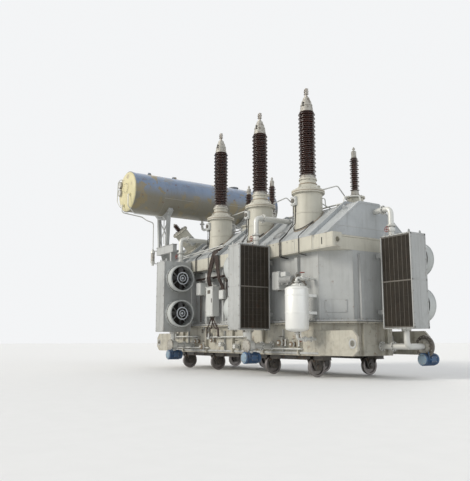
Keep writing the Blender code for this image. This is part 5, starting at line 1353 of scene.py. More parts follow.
@dataclass
class TallBushing:
    """One high-voltage bushing on its turret."""

    number: int
    x: float
    y: float = -0.80
    barrel: float = 0.43
    flange_top: float = 5.29
    collar_top: float = 5.65
    porcelain: float = 2.16
    core: float = 0.165
    shed: float = 0.252
    small_shed: float = 0.222
    pairs: int = 16
    cap_height: float = 0.37

    def build(self) -> None:
        """Build the porcelain, its metal ends and the turret's fittings."""
        self.dress_porcelain()
        self.dress_cap()
        self.dress_turret()

    def dress_porcelain(self) -> None:
        """The porcelain's fine sheds, made by the shed tree, and its lower fitting."""
        low = self.collar_top + 0.10
        height = self.porcelain - 0.16
        porcelain(f"hv_porcelain_sheds_{self.number}", f"hv_porcelain_{self.number}",
                  at(self.x, self.y, low), Height=height, Core=self.core, Large=self.shed,
                  Small=self.small_shed, Pairs=self.pairs, Sides=36)
        metal = Shape()
        top = low + height
        place = at(self.x, self.y, 0)
        metal.turned([(0, low + 0.03), (0.205, low + 0.03), (0.222, low - 0.01), (0.222, low - 0.055),
                      (0.250, low - 0.065), (0.250, low - 0.10), (0, low - 0.10)], 40, place)
        metal.turned([(0, top + 0.06), (0.190, top + 0.06), (0.200, top + 0.02), (0.200, top - 0.02),
                      (0.17, top - 0.03), (0, top - 0.03)], 40, place)
        metal.publish(f"hv_porcelain_fittings_{self.number}", Coat.CAP, "cap_metal")
        BOLTS.ring((self.x, self.y, low - 0.065), (0, 0, 1), 0.237, 12, 0.55)

    def dress_cap(self) -> None:
        """The head with its sight glass, and the clamp on the terminal."""
        head, stud, glass = Shape(), Shape(), Shape()
        low = self.collar_top + self.porcelain
        top = low + self.cap_height
        place = at(self.x, self.y, 0)
        head.turned([(0, top), (0.085, top), (0.098, top - 0.010), (0.104, top - 0.055), (0.112, top - 0.06),
                     (0.118, top - 0.085), (0.146, top - 0.13), (0.150, top - 0.15), (0.158, top - 0.22),
                     (0.176, top - 0.228), (0.180, top - 0.245), (0.180, top - 0.268), (0.166, top - 0.275),
                     (0.168, low + 0.05), (0.187, low + 0.045), (0.187, low + 0.003), (0, low + 0.003)], 44,
                    place)
        BOLTS.ring((self.x, self.y, low + 0.046), (0, 0, 1), 0.178, 10, 0.5)
        glass.block((0.02, -0.182, low + 0.07), (0.07, -0.15, low + 0.20), 0.006, place)
        stud.turned([(0, top + 0.30), (0.030, top + 0.30), (0.034, top + 0.294), (0.034, top + 0.06),
                     (0.055, top + 0.055), (0.055, top), (0, top)], 24, place)
        for z in (top + 0.12, top + 0.20):
            stud.block((-0.062, -0.045, z - 0.022), (0.062, 0.045, z + 0.022), 0.008, place)
            for sx in (-0.042, 0.042):
                for side in (-1, 1):
                    BOLTS.one((self.x + sx, self.y + side * 0.045, z), (0, side, 0), 0.55)
        for side in (-1, 1):
            stud.block((side * 0.055 - 0.010, -0.032, top + 0.10),
                       (side * 0.055 + 0.010, 0.032, top + 0.285), 0.004, place)
        head.publish(f"hv_head_{self.number}", Coat.CAP, "cap_metal", replaces=(f"hv_cap_{self.number}",))
        stud.publish(f"hv_terminal_{self.number}", Coat.STUD, "cap_metal")
        glass.publish(f"hv_sight_glass_{self.number}", Coat.SLOT, "dark_steel")

    def dress_turret(self) -> None:
        """Bolted flange, collar, terminal box and conduit of the turret."""
        rings, box, dark, hose, stain = Shape(), Shape(), Shape(), Shape(), Shape()
        place = at(self.x, self.y, 0)
        top = self.flange_top
        rings.turned([(0.43, top - 0.092), (0.482, top - 0.092), (0.485, top - 0.090), (0.485, top - 0.055),
                      (0.482, top - 0.052), (0.40, top - 0.052), (0.40, top - 0.092)], 56, place, closed=True)
        rings.turned([(0.40, top + 0.006), (0.482, top + 0.006), (0.486, top + 0.003), (0.486, top - 0.045),
                      (0.40, top - 0.045)], 56, place, closed=True)
        stain.turned([(0.40, top - 0.040), (0.4875, top - 0.040), (0.4875, top - 0.058), (0.40, top - 0.058)],
                     56, place, closed=True)
        stain.turned([(0.36, top + 0.028), (0.418, top + 0.016), (0.424, top + 0.005), (0.36, top + 0.005)],
                     56, place, closed=True)
        stain.turned([(0.250, 5.503), (0.272, 5.498), (0.272, 5.478), (0.250, 5.473)], 48, place, closed=True)
        middle = (self.x, self.y)
        stain.pipe([(x, y, ROOF_TOP + 0.004 + roof_drop(y)) for x, y in arc(0.424, 48, middle=middle)],
                   0.016, sides=8, loop=True)
        rings.turned([(0.418, 4.62), (0.424, 4.615), (0.424, 4.59), (0.418, 4.585), (0.40, 4.585),
                      (0.40, 4.62)], 48, place, closed=True)
        rings.turned([(0.23, self.collar_top), (0.265, self.collar_top), (0.268, self.collar_top - 0.035),
                      (0.23, self.collar_top - 0.035)], 40, place, closed=True)
        BOLTS.ring((self.x, self.y, top + 0.006), (0, 0, 1), 0.452, 24, 0.9)
        BOLTS.ring((self.x, self.y, top - 0.092), (0, 0, -1), 0.458, 24, 0.8)
        BOLTS.ring((self.x, self.y, self.collar_top - 0.036), (0, 0, -1), 0.252, 12, 0.6)
        for k in range(3):
            angle = math.radians(35 + 120 * k)
            lug = place @ Matrix.Rotation(angle, 4, 'Z') @ at(0.30, 0, top + 0.10) \
                @ Matrix.Rotation(math.pi / 2, 4, 'X')
            rings.prism([(-0.05, -0.10), (0.06, -0.14), (0.07, 0.03), (0.03, 0.06), (-0.02, 0.05)], 0.022,
                        lug, 0.003)
        low_x = self.x - self.barrel - 0.12
        box.block((low_x - 0.012, self.y - 0.145, 4.715), (low_x + 0.015, self.y + 0.145, 5.045), 0.005)
        BOLTS.grid((low_x - 0.012,), (self.y - 0.12, self.y + 0.12), (4.74, 5.02), (-1, 0, 0), 0.6)
        front = self.y - 0.395
        side = self.x - 0.10
        box.block((side - 0.12, front - 0.08, 4.84), (side + 0.10, front + 0.04, 5.10), 0.008)
        box.block((side - 0.10, front - 0.095, 4.86), (side + 0.08, front - 0.078, 5.08), 0.004)
        dark.turned([(0, 0.03), (0.060, 0.03), (0.068, 0.022), (0.068, -0.005), (0, -0.005)], 24,
                    at(side - 0.01, front - 0.095, 4.97) @ facing((0, -1, 0)))
        BOLTS.grid((side - 0.10, side + 0.08), (front - 0.095,), (4.87, 5.07), (0, -1, 0), 0.5)
        for k, dx in enumerate((-0.07, 0.03)):
            start = (side + dx, front - 0.03, 4.85)
            edge = start[0] - 0.16 * k - 0.1
            hose.pipe([start, (start[0], start[1], 4.70 - 0.03 * k),
                       (start[0] - 0.05, start[1] + 0.02, 4.34 - 0.02 * k),
                       (edge, -1.42, 3.985), (edge, -1.628, 3.80), (edge, -1.628, 3.33),
                       (edge, -1.36, 3.30)], 0.013, 0.08, sides=8)
        around = [(x, y, ROOF_TOP + 0.06 + roof_drop(y))
                  for x, y in arc(0.44, 11, math.radians(200), math.radians(14), middle)]
        last = around[-1][0]
        hose.pipe([*around, (last + 0.10, -1.40, 4.00), (last + 0.12, -1.626, 3.82),
                   (last + 0.12, -1.626, 3.33), (last + 0.12, -1.36, 3.30)], 0.012, 0.03, sides=8)
        rings.publish(f"hv_turret_flanges_{self.number}", Coat.EAVE, "tank_paint")
        box.publish(f"hv_terminal_box_{self.number}", Coat.CABINET, "vessel_paint")
        dark.publish(f"hv_terminal_box_cover_{self.number}", Coat.FRAME, "dark_steel")
        hose.publish(f"hv_conduit_{self.number}", Coat.HOSE, "dark_steel")
        stain.publish(f"hv_turret_stained_joints_{self.number}", Coat.RUST, "dark_steel")


@dataclass
class SmallBushing:
    """A medium-voltage or neutral bushing."""

    name: str
    node: str
    x: float
    y: float = 0.90
    bottom: float = 5.30
    foot: float = 0.20
    porcelain: float = 1.05
    core: float = 0.075
    shed: float = 0.142
    pairs: int = 8

    def build(self) -> None:
        """Build the sheds, the foot, the cap and the bolts of the turret."""
        low = self.bottom + self.foot
        porcelain(f"{self.name}_sheds", self.node, at(self.x, self.y, low), Height=self.porcelain,
                  Core=self.core, Large=self.shed, Small=self.shed * 0.84, Pairs=self.pairs, Sides=28)
        metal = Shape()
        place = at(self.x, self.y, 0)
        top = low + self.porcelain
        metal.turned([(0, low + 0.01), (0.10, low + 0.01), (0.115, low - 0.02), (0.125, low - 0.12),
                      (0.168, low - 0.15), (0.168, low - 0.197), (0, low - 0.197)], 32, place)
        metal.turned([(0, top + 0.335), (0.022, top + 0.335), (0.024, top + 0.33), (0.024, top + 0.22),
                      (0.06, top + 0.215), (0.078, top + 0.19), (0.078, top + 0.02), (0.088, top + 0.015),
                      (0.088, top - 0.01), (0, top - 0.01)], 28, place)
        metal.block((-0.04, -0.03, top + 0.26), (0.04, 0.03, top + 0.30), 0.006, place)
        metal.publish(f"{self.name}_fittings", Coat.CAP, "cap_metal")
        BOLTS.ring((self.x, self.y, low - 0.15), (0, 0, 1), 0.148, 8, 0.5)
        BOLTS.ring((self.x, self.y, self.bottom), (0, 0, 1), 0.27, 12, 0.8)
        BOLTS.ring((self.x, self.y, self.bottom - 0.05), (0, 0, -1), 0.275, 12, 0.7)


@dataclass
class LeaningTurret:
    """The turret that leans forward on the front slope, with its small bushing."""

    x: float = -3.66
    up_slope: float = 0.52
    lean: float = math.radians(45.0)
    radius: float = 0.26
    flange: float = 0.31
    length: float = 0.90
    bushing: float = 0.36

    def place(self) -> Matrix:
        """The turret's own axis as a matrix."""
        slope = Vector((EAVE_HALF[1] - RIDGE_HALF, ROOF_TOP - EAVE_TOP)).normalized() * self.up_slope
        return at(self.x, -RIDGE_HALF - slope.x, ROOF_TOP - slope.y) @ Matrix.Rotation(self.lean, 4, 'X')

    def build(self) -> None:
        """Build the flanges, the sheds, the cap and the side box."""
        place = self.place()
        top = self.length
        porcelain("side_bushing_sheds", "side_bushing", place @ at(0, 0, top + 0.03),
                  Height=self.bushing - 0.08, Core=0.055, Large=0.099, Small=0.085, Pairs=4, Sides=24)
        rings, metal, dark = Shape(), Shape(), Shape()
        rings.turned([(self.radius - 0.01, 0.35), (self.radius + 0.008, 0.345), (self.radius + 0.008, 0.325),
                      (self.radius - 0.01, 0.32)], 32, place, closed=True)
        dark.turned([(self.radius, top - 0.022), (self.flange + 0.004, top - 0.022),
                     (self.flange + 0.004, top - 0.036), (self.radius, top - 0.036)], 40, place, closed=True)
        metal.turned([(0, top + 0.035), (0.11, top + 0.035), (0.12, top + 0.02), (0.12, top - 0.001),
                      (0, top - 0.001)], 24, place)
        metal.turned([(0, top + self.bushing), (0.02, top + self.bushing), (0.045, top + 0.33),
                      (0.05, top + 0.305), (0, top + 0.30)], 16, place)
        aim = (place.to_3x3() @ Vector((0, 0, 1))).normalized()
        BOLTS.ring(place @ Vector((0, 0, top + 0.004)), aim, 0.275, 12, 0.9)
        BOLTS.ring(place @ Vector((0, 0, 0.10)), aim, 0.30, 12, 0.8)
        rings.block((0.22, -0.12, 0.22), (0.36, 0.12, 0.50), 0.008, place)
        BOLTS.grid((0.36,), (-0.09, 0.09), (0.25, 0.47), place.to_3x3() @ Vector((1, 0, 0)), 0.6, place)
        rings.publish("side_turret_fittings", Coat.TANK, "tank_paint")
        dark.publish("side_turret_flange", Coat.FRAME, "dark_steel")
        metal.publish("side_bushing_fittings", Coat.CAP, "cap_metal")


@dataclass
class Conservator:
    """The oil drum across the left end, with its ends, gauges, valves and supports."""

    x: float = -4.42
    z: float = 6.50
    radius: float = 0.757
    half: float = 3.38
    head: float = 0.14
    gauge_x: float = -4.78
    gauge_y: float = -3.437
    gauge_radius: float = 0.13
    gauge_heights: tuple[float, float] = (6.80, 6.50)

    def build(self) -> None:
        """Build every fitting of the drum."""
        dress(conservator_front_support=Coat.TANK, conservator_rear_support=Coat.TANK, relay_pipe=Coat.PIPE)
        self.bands()
        self.gauges()
        self.drum_pipes()
        self.relay()
        self.supports()

    def bands(self) -> None:
        """Rims, strakes, weld beads, lugs and the manhole."""
        rims, seams, covers = Shape(), Shape(), Shape()
        place = at(self.x, 0, self.z) @ facing((0, 1, 0))
        for side in (-1, 1):
            edge = side * (self.half - self.head)
            low, high = sorted((edge - side * 0.05, edge + side * 0.004))
            rims.turned([(self.radius - 0.01, high), (self.radius + 0.018, high), (self.radius + 0.018, low),
                         (self.radius - 0.01, low)], 64, place, closed=True)
        for y in (-2.05, -0.72, 0.72, 2.05):
            seams.turned([(self.radius - 0.012, y + 0.009), (self.radius + 0.004, y), (self.radius - 0.012,
                          y - 0.009)], 64, place, closed=True)
        for angle, start, end in ((0.4, -3.2, -2.05), (-0.5, -2.05, -0.72), (0.5, -0.72, 0.72),
                                  (-0.4, 0.72, 2.05), (0.3, 2.05, 3.2)):
            ((x, z),) = arc(self.radius, 1, angle + 0.2, middle=(self.x, self.z))
            seams.pipe([(x, start, z), (x, end, z)], 0.006, sides=6)
        top = self.z + self.radius
        covers.turned([(0, 0.05), (0.21, 0.05), (0.21, 0.025), (0.17, 0.024), (0.17, -0.05), (0, -0.05)], 36,
                      at(self.x, 1.5, top))
        BOLTS.ring((self.x, 1.5, top + 0.05), (0, 0, 1), 0.19, 14, 0.6)
        covers.turned([(0, 0.05), (0.09, 0.05), (0.09, 0.025), (0.065, 0.024), (0.065, -0.02), (0, -0.02)],
                      24, at(self.x + 0.10, -1.35, top - 0.004))
        BOLTS.ring((self.x + 0.10, -1.35, top + 0.046), (0, 0, 1), 0.078, 8, 0.5)
        for y in (-2.45, 2.45):
            for lean in (-1, 1):
                matrix = Matrix(((0, 0, 1, self.x + lean * 0.16), (1, 0, 0, y), (0, 1, 0, top - 0.04),
                                 (0, 0, 0, 1)))
                covers.prism([(-0.09, 0), (0.09, 0), (0.05, 0.10), (-0.05, 0.10)], 0.025, matrix, 0.004)
        rims.publish("conservator_rims", Coat.DRUM, "drum_paint")
        seams.publish("conservator_seams", Coat.SEAM, "drum_paint")
        covers.publish("conservator_covers", Coat.DRUM, "drum_paint")
        for side in (-1, 1):
            place_y = side * (self.half - self.head + 0.004)
            for x, z in arc(self.radius + 0.004, 28, middle=(self.x, self.z)):
                BOLTS.one((x, place_y, z), (0, side, 0), 0.5)

    def gauges(self) -> None:
        """Two oil gauges, a hatch ring and fittings on the front end."""
        cases, hatch = Shape(), Shape()
        for number, z in enumerate(self.gauge_heights, 1):
            place = at(self.gauge_x, self.gauge_y, z) @ facing((0, -1, 0))
            cases.turned([(self.gauge_radius - 0.020, 0.012), (self.gauge_radius - 0.004, 0.012),
                          (self.gauge_radius + 0.004, 0.004), (self.gauge_radius + 0.004, -0.075),
                          (self.gauge_radius - 0.020, -0.075)], 36, place, closed=True)
            face = Shape().turned([(0, 0.004), (self.gauge_radius - 0.016, 0.004),
                                   (self.gauge_radius - 0.016, -0.01), (0, -0.01)], 36, place)
            middle = MIDDLE @ Vector((self.gauge_x, self.gauge_y, z))
            dial = Dial(f"dial_{number}", (0.62, 0.61, 0.56), 0.15, middle=tuple(middle),
                        radius=self.gauge_radius)
            data = face.data("dial")
            data.transform(MIDDLE)
            piece = install(f"oil_gauge_face_{number}", data, Coat.CAP)
            piece.data.materials[0] = dial.material()
            needle_angle = math.radians(70 if number == 1 else 120)
            tip = Vector((math.cos(needle_angle), 0, math.sin(needle_angle))) * 0.075
            centre = Vector((self.gauge_x, self.gauge_y - 0.006, z))
            cases.pipe([centre - tip * 0.25, centre + tip], 0.004, sides=6)
        front = -(self.half - 0.01)
        place = at(self.x + 0.12, front + 0.015, self.z + 0.10) @ facing((0, -1, 0))
        hatch.turned([(0, 0.035), (0.20, 0.030), (0.215, 0.02), (0.215, -0.04), (0, -0.04)], 36, place)
        BOLTS.ring(place @ Vector((0, 0, 0.031)), (0, -1, 0), 0.185, 12, 0.6)
        for dx, dz in ((0.46, -0.20), (-0.10, -0.52)):
            hatch.turned([(0, 0.05), (0.05, 0.05), (0.055, 0.04), (0.055, -0.08), (0, -0.08)], 20,
                         at(self.x + dx, front + 0.03, self.z + dz) @ facing((0, -1, 0)))
        cases.publish("oil_gauge_cases", Coat.CAP, "cap_metal")
        hatch.publish("conservator_hatch", Coat.DRUM_END, "drum_paint")

    def drum_pipes(self) -> None:
        """Small pipes round the front end, the breather pipe and its drier."""
        pipes, glass, drier = Shape(), Shape(), Shape()
        y = -self.half - 0.035
        x, z = self.x, self.z
        pipes.pipe([(x - 0.36, y + 0.10, z + 0.52), (x - 0.36, y, z + 0.52), (x - 0.56, y, z + 0.44),
                    (x - 0.60, y, z - 0.30), (x - 0.30, y, z - 0.56), (x - 0.30, y + 0.12, z - 0.58)],
                   0.016, 0.08, sides=8)
        pipes.pipe([(x + 0.46, y + 0.03, z - 0.20), (x + 0.46, y - 0.01, z - 0.20),
                    (x + 0.46, y - 0.01, z - 0.62), (x + 0.30, -3.10, z - 0.86),
                    (x + 0.30, -1.86, z - 0.86), (x + 0.30, -1.86, 4.60)], 0.018, 0.10, sides=8)
        pipes.pipe([(x - 0.10, y + 0.03, z - 0.52), (x - 0.10, y - 0.005, z - 0.52),
                    (x - 0.10, y - 0.005, z - 0.80), (x - 0.10, -2.60, z - 0.88),
                    (x - 0.52, -2.20, z - 0.90), (x - 0.62, -1.86, z - 0.95),
                    (x - 0.62, -1.86, 4.50)], 0.020, 0.12, sides=8)
        glass.turned([(0, 4.34), (0.075, 4.34), (0.075, 4.02), (0, 4.02)], 24, at(x - 0.62, -1.86, 0))
        drier.turned([(0, 4.52), (0.03, 4.50), (0.088, 4.40), (0.09, 4.34), (0, 4.34)], 24,
                     at(x - 0.62, -1.86, 0))
        drier.turned([(0, 4.02), (0.09, 4.02), (0.09, 3.98), (0.05, 3.92), (0.05, 3.86), (0, 3.86)], 24,
                     at(x - 0.62, -1.86, 0))
        for z_clip in (4.44, 3.94):
            drier.block((x - 0.645, -1.86, z_clip - 0.015), (x - 0.595, -1.60, z_clip + 0.015), 0.004)
        pipes.publish("conservator_small_pipes", Coat.PIPE, "pipe_paint")
        glass.publish("breather_jar", Coat.CAP, "vessel_paint")
        drier.publish("breather_ends", Coat.PIPE, "pipe_paint")

    def relay(self) -> None:
        """Flanges, valve, covers and test cock of the gas relay's pipe."""
        joints, wheel = Shape(), Shape()
        z = 5.34
        for x in (-3.62, -3.95):
            flange_pair(joints, (x, 0, z), (1, 0, 0), 0.092, 0.016, 6, 0.6)
        flange_pair(joints, (self.x, 0, 5.60), (0, 0, 1), 0.095, 0.016, 6, 0.6)
        joints.turned(lens(0.05, (0.07, 0.045), 0.085), 20, at(-3.50, 0, z) @ facing((1, 0, 0)))
        joints.pipe([(-3.50, 0, z), (-3.50, 0, z + 0.17)], 0.012, sides=8)
        handwheel(wheel, (-3.50, 0, z + 0.18), (0, 0, 1), 0.065)
        joints.turned([(0, 0.03), (0.07, 0.025), (0.075, 0.0), (0, 0.0)], 20, at(-3.78, 0, z + 0.13))
        joints.pipe([(-3.73, 0.03, z + 0.12), (-3.73, 0.03, z + 0.21)], 0.010, sides=8)
        joints.turned([(0, 0.008), (0.05, 0.006), (0.055, 0), (0, -0.004)], 20,
                      at(-3.78, -0.10, z) @ facing((0, -1, 0)))
        BOLTS.grid((-3.78 - 0.09, -3.78 + 0.09), (-0.10,), (z - 0.10, z + 0.10), (0, -1, 0), 0.55)
        joints.publish("gas_relay_fittings", Coat.PIPE, "pipe_paint")
        wheel.publish("gas_relay_valve_wheel", Coat.HANDWHEEL, "pipe_paint")

    def supports(self) -> None:
        """Saddle straps, pad plates and bolts of both supports."""
        plates = Shape()
        for side in (-1, 1):
            y = side * 1.72
            for dy in (-0.087, 0.087):
                for x, z in arc(0.84, 5, -math.pi / 2 - 0.62, 0.31, (self.x, self.z)):
                    BOLTS.one((x, y + dy, z), (0, math.copysign(1, dy), 0), 0.7)
            plates.block((-4.86, y - 0.10, 4.51), (-3.44, y + 0.10, 4.525), 0.003)
            BOLTS.grid((-4.82, -4.30, -4.0, -3.50), (y - 0.07, y + 0.07), (4.525,), (0, 0, 1), 0.8)
            for lean in (-1, 1):
                foot = Vector((self.x + lean * 0.30, y, 4.50))
                plates.block((foot.x - 0.10, y - 0.085, 4.525), (foot.x + 0.10, y + 0.085, 4.545), 0.004)
                plates.prism([(0, 0), (0.13, 0), (0, 0.20)], 0.02, Matrix((
                    (-lean, 0, 0, foot.x - lean * 0.03), (0, 0, 1, y), (0, 1, 0, 4.54), (0, 0, 0, 1))))
            plates.pipe([(self.x - 0.34, y, 4.72), (self.x + 0.36, y, 5.52)], 0.02, sides=8)
            plates.pipe([(self.x + 0.34, y - side * 0.045, 4.72), (self.x - 0.36, y - side * 0.045, 5.52)],
                        0.02, sides=8)
        plates.publish("support_plates", Coat.TANK, "tank_paint")


@dataclass
class Cooler:
    """One forced-air cooler: housing, finned core, two fans and their guards."""

    name: str
    place: Matrix
    width: float = 1.05
    depth: float = 0.58
    bottom: float = 1.28
    height: float = 2.43
    barrel: float = 0.36
    radius: float = 0.452
    bore: float = 0.4105
    fans: tuple[float, float] = (3.095, 1.895)
    fins: int = 58
    squeeze: float = 1.0

    def aim(self, direction: Point) -> Vector:
        """A direction of the cooler's own frame, in the tank's."""
        return self.place.to_3x3() @ Vector(direction)

    def build(self) -> None:
        """Build the cooler's pieces."""
        dress(**{f"{self.name}_housing": Coat.HOUSING})
        if self.squeeze < 1:
            self.narrow_case()
        self.core()
        self.case_trim()
        self.barrels()
        for position, z in zip(("upper", "lower"), self.fans):
            self.rotor(position, z)

    def narrow_case(self) -> None:
        """The housing drawn in a little, so that its side trim keeps within the housing's width."""
        node = f"{self.name}_housing"
        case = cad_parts[node].data.copy()
        place = MIDDLE @ self.place
        case.transform(place @ Matrix.Diagonal((1, self.squeeze, 1, 1)) @ place.inverted())
        install(f"{self.name}_case", case, Coat.HOUSING, replaces=(node,))

    def core(self) -> None:
        """The finned core, made by the slat tree, with its frame and crossbars."""
        half = self.width / 2 - 0.031
        low, high = self.bottom + 0.031, self.bottom + self.height - 0.031
        slat = Shape().block((0.0, 0.006, low + 0.02), (0.0065, 0.05, high - 0.02)).data("slat")
        matrix = MIDDLE @ self.place @ at(0, -half + 0.014, 0) @ Matrix.Rotation(math.pi / 2, 4, 'Z')
        pitch = (2 * half - 0.034) / (self.fins - 1)
        fins = SLATS.applied(slat, Coat.FIN, matrix, Count=self.fins, Pitch=pitch)
        fins.transform(MIDDLE.inverted())
        block = Shape().take(fins)
        block.block((-0.26, -half, low), (-0.046, half, high), 0.003, self.place)
        for z in [low + (high - low) * k / 12 for k in range(1, 12)]:
            block.block((-0.048, -half + 0.01, z - 0.006), (-0.014, half - 0.01, z + 0.006), 0.0, self.place)
        block.publish(f"{self.name}_finned_core", Coat.FIN, "core_paint", replaces=(f"{self.name}_core",))
        bars = Shape()
        middle = self.bottom + self.height / 2
        for z, tall in ((middle, 0.035), (low + 0.02, 0.02), (high - 0.02, 0.02)):
            bars.block((-0.012, -half, z - tall / 2), (0.004, half, z + tall / 2), 0.003, self.place)
        for y in (-half + 0.010, half - 0.010):
            bars.block((-0.012, y - 0.010, low), (0.004, y + 0.010, high), 0.003, self.place)
        for k in range(1, 7):
            y = -half + 2 * half * k / 7
            bars.block((-0.012, y - 0.004, low), (0.002, y + 0.004, high), 0.0, self.place)
        bars.publish(f"{self.name}_core_bars", Coat.FRAME, "core_paint")

    def case_trim(self) -> None:
        """Edge angles, seams, header tanks, bolts and lifting eyes of the housing."""
        trim, seams = Shape(), Shape()
        half, top = self.width / 2 * self.squeeze, self.bottom + self.height
        for side in (-1, 1):
            low, high = sorted((side * (half - 0.028), side * (half + 0.006)))
            trim.block((-0.05, low, self.bottom - 0.004), (0.008, high, top + 0.004), 0.004, self.place)
            trim.block((-self.depth - 0.006, low, self.bottom - 0.004),
                       (-self.depth + 0.05, high, top + 0.004), 0.004, self.place)
            for z in (self.bottom + 0.02, self.bottom + self.height / 2, top - 0.05):
                edge = sorted((side * (half - 0.004), side * (half + 0.006)))
                trim.block((-self.depth, edge[0], z), (0.0, edge[1], z + 0.035), 0.003, self.place)
            for x in (-0.025, -self.depth + 0.025):
                for k in range(9):
                    z = self.bottom + 0.12 + (self.height - 0.24) * k / 8
                    point = self.place @ Vector((x, side * (half + 0.006), z))
                    BOLTS.one(point, self.aim((0, side, 0)), 0.55)
            seams.block((-0.302, side * half - 0.003, self.bottom), (-0.296, side * half + 0.003, top), 0.0,
                        self.place)
        for z, lift in ((self.bottom - 0.004, -1), (top + 0.004, 1)):
            a, b = sorted((z, z - lift * 0.03))
            trim.block((-0.035, -half, a), (0.008, half, b), 0.003, self.place)
            for k in range(7):
                y = -half + 0.10 + (self.width - 0.2) * k / 6
                BOLTS.one(self.place @ Vector((0.008, y, (a + b) / 2)), self.aim((1, 0, 0)), 0.5)
        for sx in (-0.08, -0.50):
            for y in (-half + 0.10, half - 0.10):
                crown = arc(0.035, 7, step=math.pi / 6, middle=(0, 0.06))
                trim.prism([(0.05, -0.005), *crown, (-0.05, -0.005)], 0.014, self.place
                           @ at(sx, y, top) @ Matrix.Rotation(math.pi / 2, 4, 'X'), 0.002)
        header = self.bottom + self.height / 2
        for y in (-0.30, 0.0, 0.30):
            seams.block((-self.depth - 0.004, y - 0.004, header - 0.13), (-self.depth + 0.002, y + 0.004,
                        header + 0.13), 0.0, self.place)
        if self.squeeze < 1:
            trim.block((-0.50, half - 0.005, self.bottom + 0.02), (-0.22, half + 0.021, self.bottom + 0.58),
                       0.006, self.place)
            trim.block((-0.38, half - 0.005, self.bottom + 0.58), (-0.34, half + 0.016, self.bottom + 1.50),
                       0.004, self.place)
        trim.publish(f"{self.name}_case_trim", Coat.HOUSING, "tank_paint")
        seams.publish(f"{self.name}_case_seams", Coat.SEAM, "tank_paint")

    def barrels(self) -> None:
        """Round fan rings with rolled lips and clamp bands, their guards and hubs."""
        rings, bands, guards, backs, pale = Shape(), Shape(), Shape(), Shape(), Shape()
        for z in self.fans:
            face = self.place @ at(-self.depth, 0, z) @ facing((-1, 0, 0))
            end = self.barrel
            wide = self.radius
            rings.turned([(self.bore, end + 0.002), (self.bore + 0.006, end + 0.008),
                          (wide - 0.004, end + 0.008), (wide + 0.008, end), (wide + 0.008, end - 0.02),
                          (wide, end - 0.026), (wide, 0.030), (wide + 0.030, 0.024), (wide + 0.030, 0.001),
                          (wide - 0.01, 0.001), (self.bore, 0.001)], 64, face, closed=True)
            bands.turned([(wide - 0.001, 0.115), (wide + 0.006, 0.112), (wide + 0.006, 0.082),
                          (wide - 0.001, 0.079)], 64, face, closed=True)
            for x, y in arc(self.radius + 0.018, 16):
                BOLTS.one(face @ Vector((x, y, 0.024)), self.aim((-1, 0, 0)), 0.55)
            wires = GUARD.applied(points_mesh([(0, 0, 0)]), Coat.GUARD, face @ at(0, 0, end + 0.002),
                                  Outer=self.bore + 0.006, Rings=7, Spokes=8, Wire=0.0030)
            guards.take(wires)
            for inner, outer in ((0.185, 0.215), (0.088, 0.112)):
                pale.turned([(inner, end + 0.008), (outer, end + 0.008), (outer, end - 0.004),
                             (inner, end - 0.004)], 48, face, closed=True)
            pale.turned([(0, end + 0.012), (0.025, end + 0.010), (0.038, end + 0.002), (0.038, end - 0.008),
                         (0, end - 0.008)], 24, face)
            backs.turned([(0, -0.001), (0.095, -0.001), (0.097, -0.006), (0.097, -0.02), (0, -0.02)], 24,
                         face @ at(0, 0, 0.03))
        rings.publish(f"{self.name}_fan_rings", Coat.BARREL_LIP, "tank_paint")
        bands.publish(f"{self.name}_fan_ring_bands", Coat.GASKET, "dark_steel")
        guards.publish(f"{self.name}_fan_guards", Coat.GUARD, "dark_steel")
        pale.publish(f"{self.name}_fan_guard_rings", Coat.RING, "tank_paint")
        backs.publish(f"{self.name}_fan_motor_backs", Coat.ROTOR, "rotor_paint")

    def rotor(self, position: str, z: float) -> None:
        """One rotor with four cupped and twisted blades, on its own body.

        Args:
            position: Which fan: upper or lower.
            z: Height of its axis.
        """
        node = f"{self.name}_{position}_fan"
        wheel = Shape()
        face = self.place @ at(-(self.depth + self.barrel - 0.15), 0, z) @ facing((-1, 0, 0))
        wheel.turned([(0.0315, 0.050), (0.075, 0.050), (0.094, 0.040), (0.100, 0.020), (0.100, -0.050),
                      (0.0315, -0.050)], 32, face, closed=True)
        tip = 0.392
        for k in range(4):
            rows = []
            for i in range(7):
                share = i / 6
                reach = 0.085 + (tip - 0.085) * share
                pitch = math.radians(40 - 14 * share)
                chord = 0.125 + 0.055 * math.sin(math.pi * min(share * 0.8 + 0.1, 1))
                line = []
                for j in range(7):
                    across = (j / 6 - 0.5) * chord
                    cup = 0.012 * (1 - (2 * j / 6 - 1) ** 2)
                    angle = across * math.cos(pitch) / max(reach, 0.12) * 0.9
                    line.append((reach, angle, across * math.sin(pitch) + cup))
                rows.append(line)
            turn_k = math.pi / 2 * k
            top, low = [], []
            for line in rows:
                for skin, lift in ((top, 0.003), (low, -0.003)):
                    skin.append([wheel.mesh.verts.new(face @ Vector((
                        r * math.cos(a + turn_k), r * math.sin(a + turn_k), h + lift))) for r, a, h in line])
            for i in range(6):
                for j in range(6):
                    wheel.mesh.faces.new((top[i][j], top[i + 1][j], top[i + 1][j + 1], top[i][j + 1]))
                    wheel.mesh.faces.new((low[i][j], low[i][j + 1], low[i + 1][j + 1], low[i + 1][j]))
                wheel.mesh.faces.new((top[i][0], low[i][0], low[i + 1][0], top[i + 1][0]))
                wheel.mesh.faces.new((top[i][6], top[i + 1][6], low[i + 1][6], low[i][6]))
                wheel.mesh.faces.new((top[0][i], top[0][i + 1], low[0][i + 1], low[0][i]))
                wheel.mesh.faces.new((top[6][i], low[6][i], low[6][i + 1], top[6][i + 1]))
        wheel.publish(f"{node}_rotor", Coat.ROTOR, "rotor_paint", body=node, replaces=(node,))


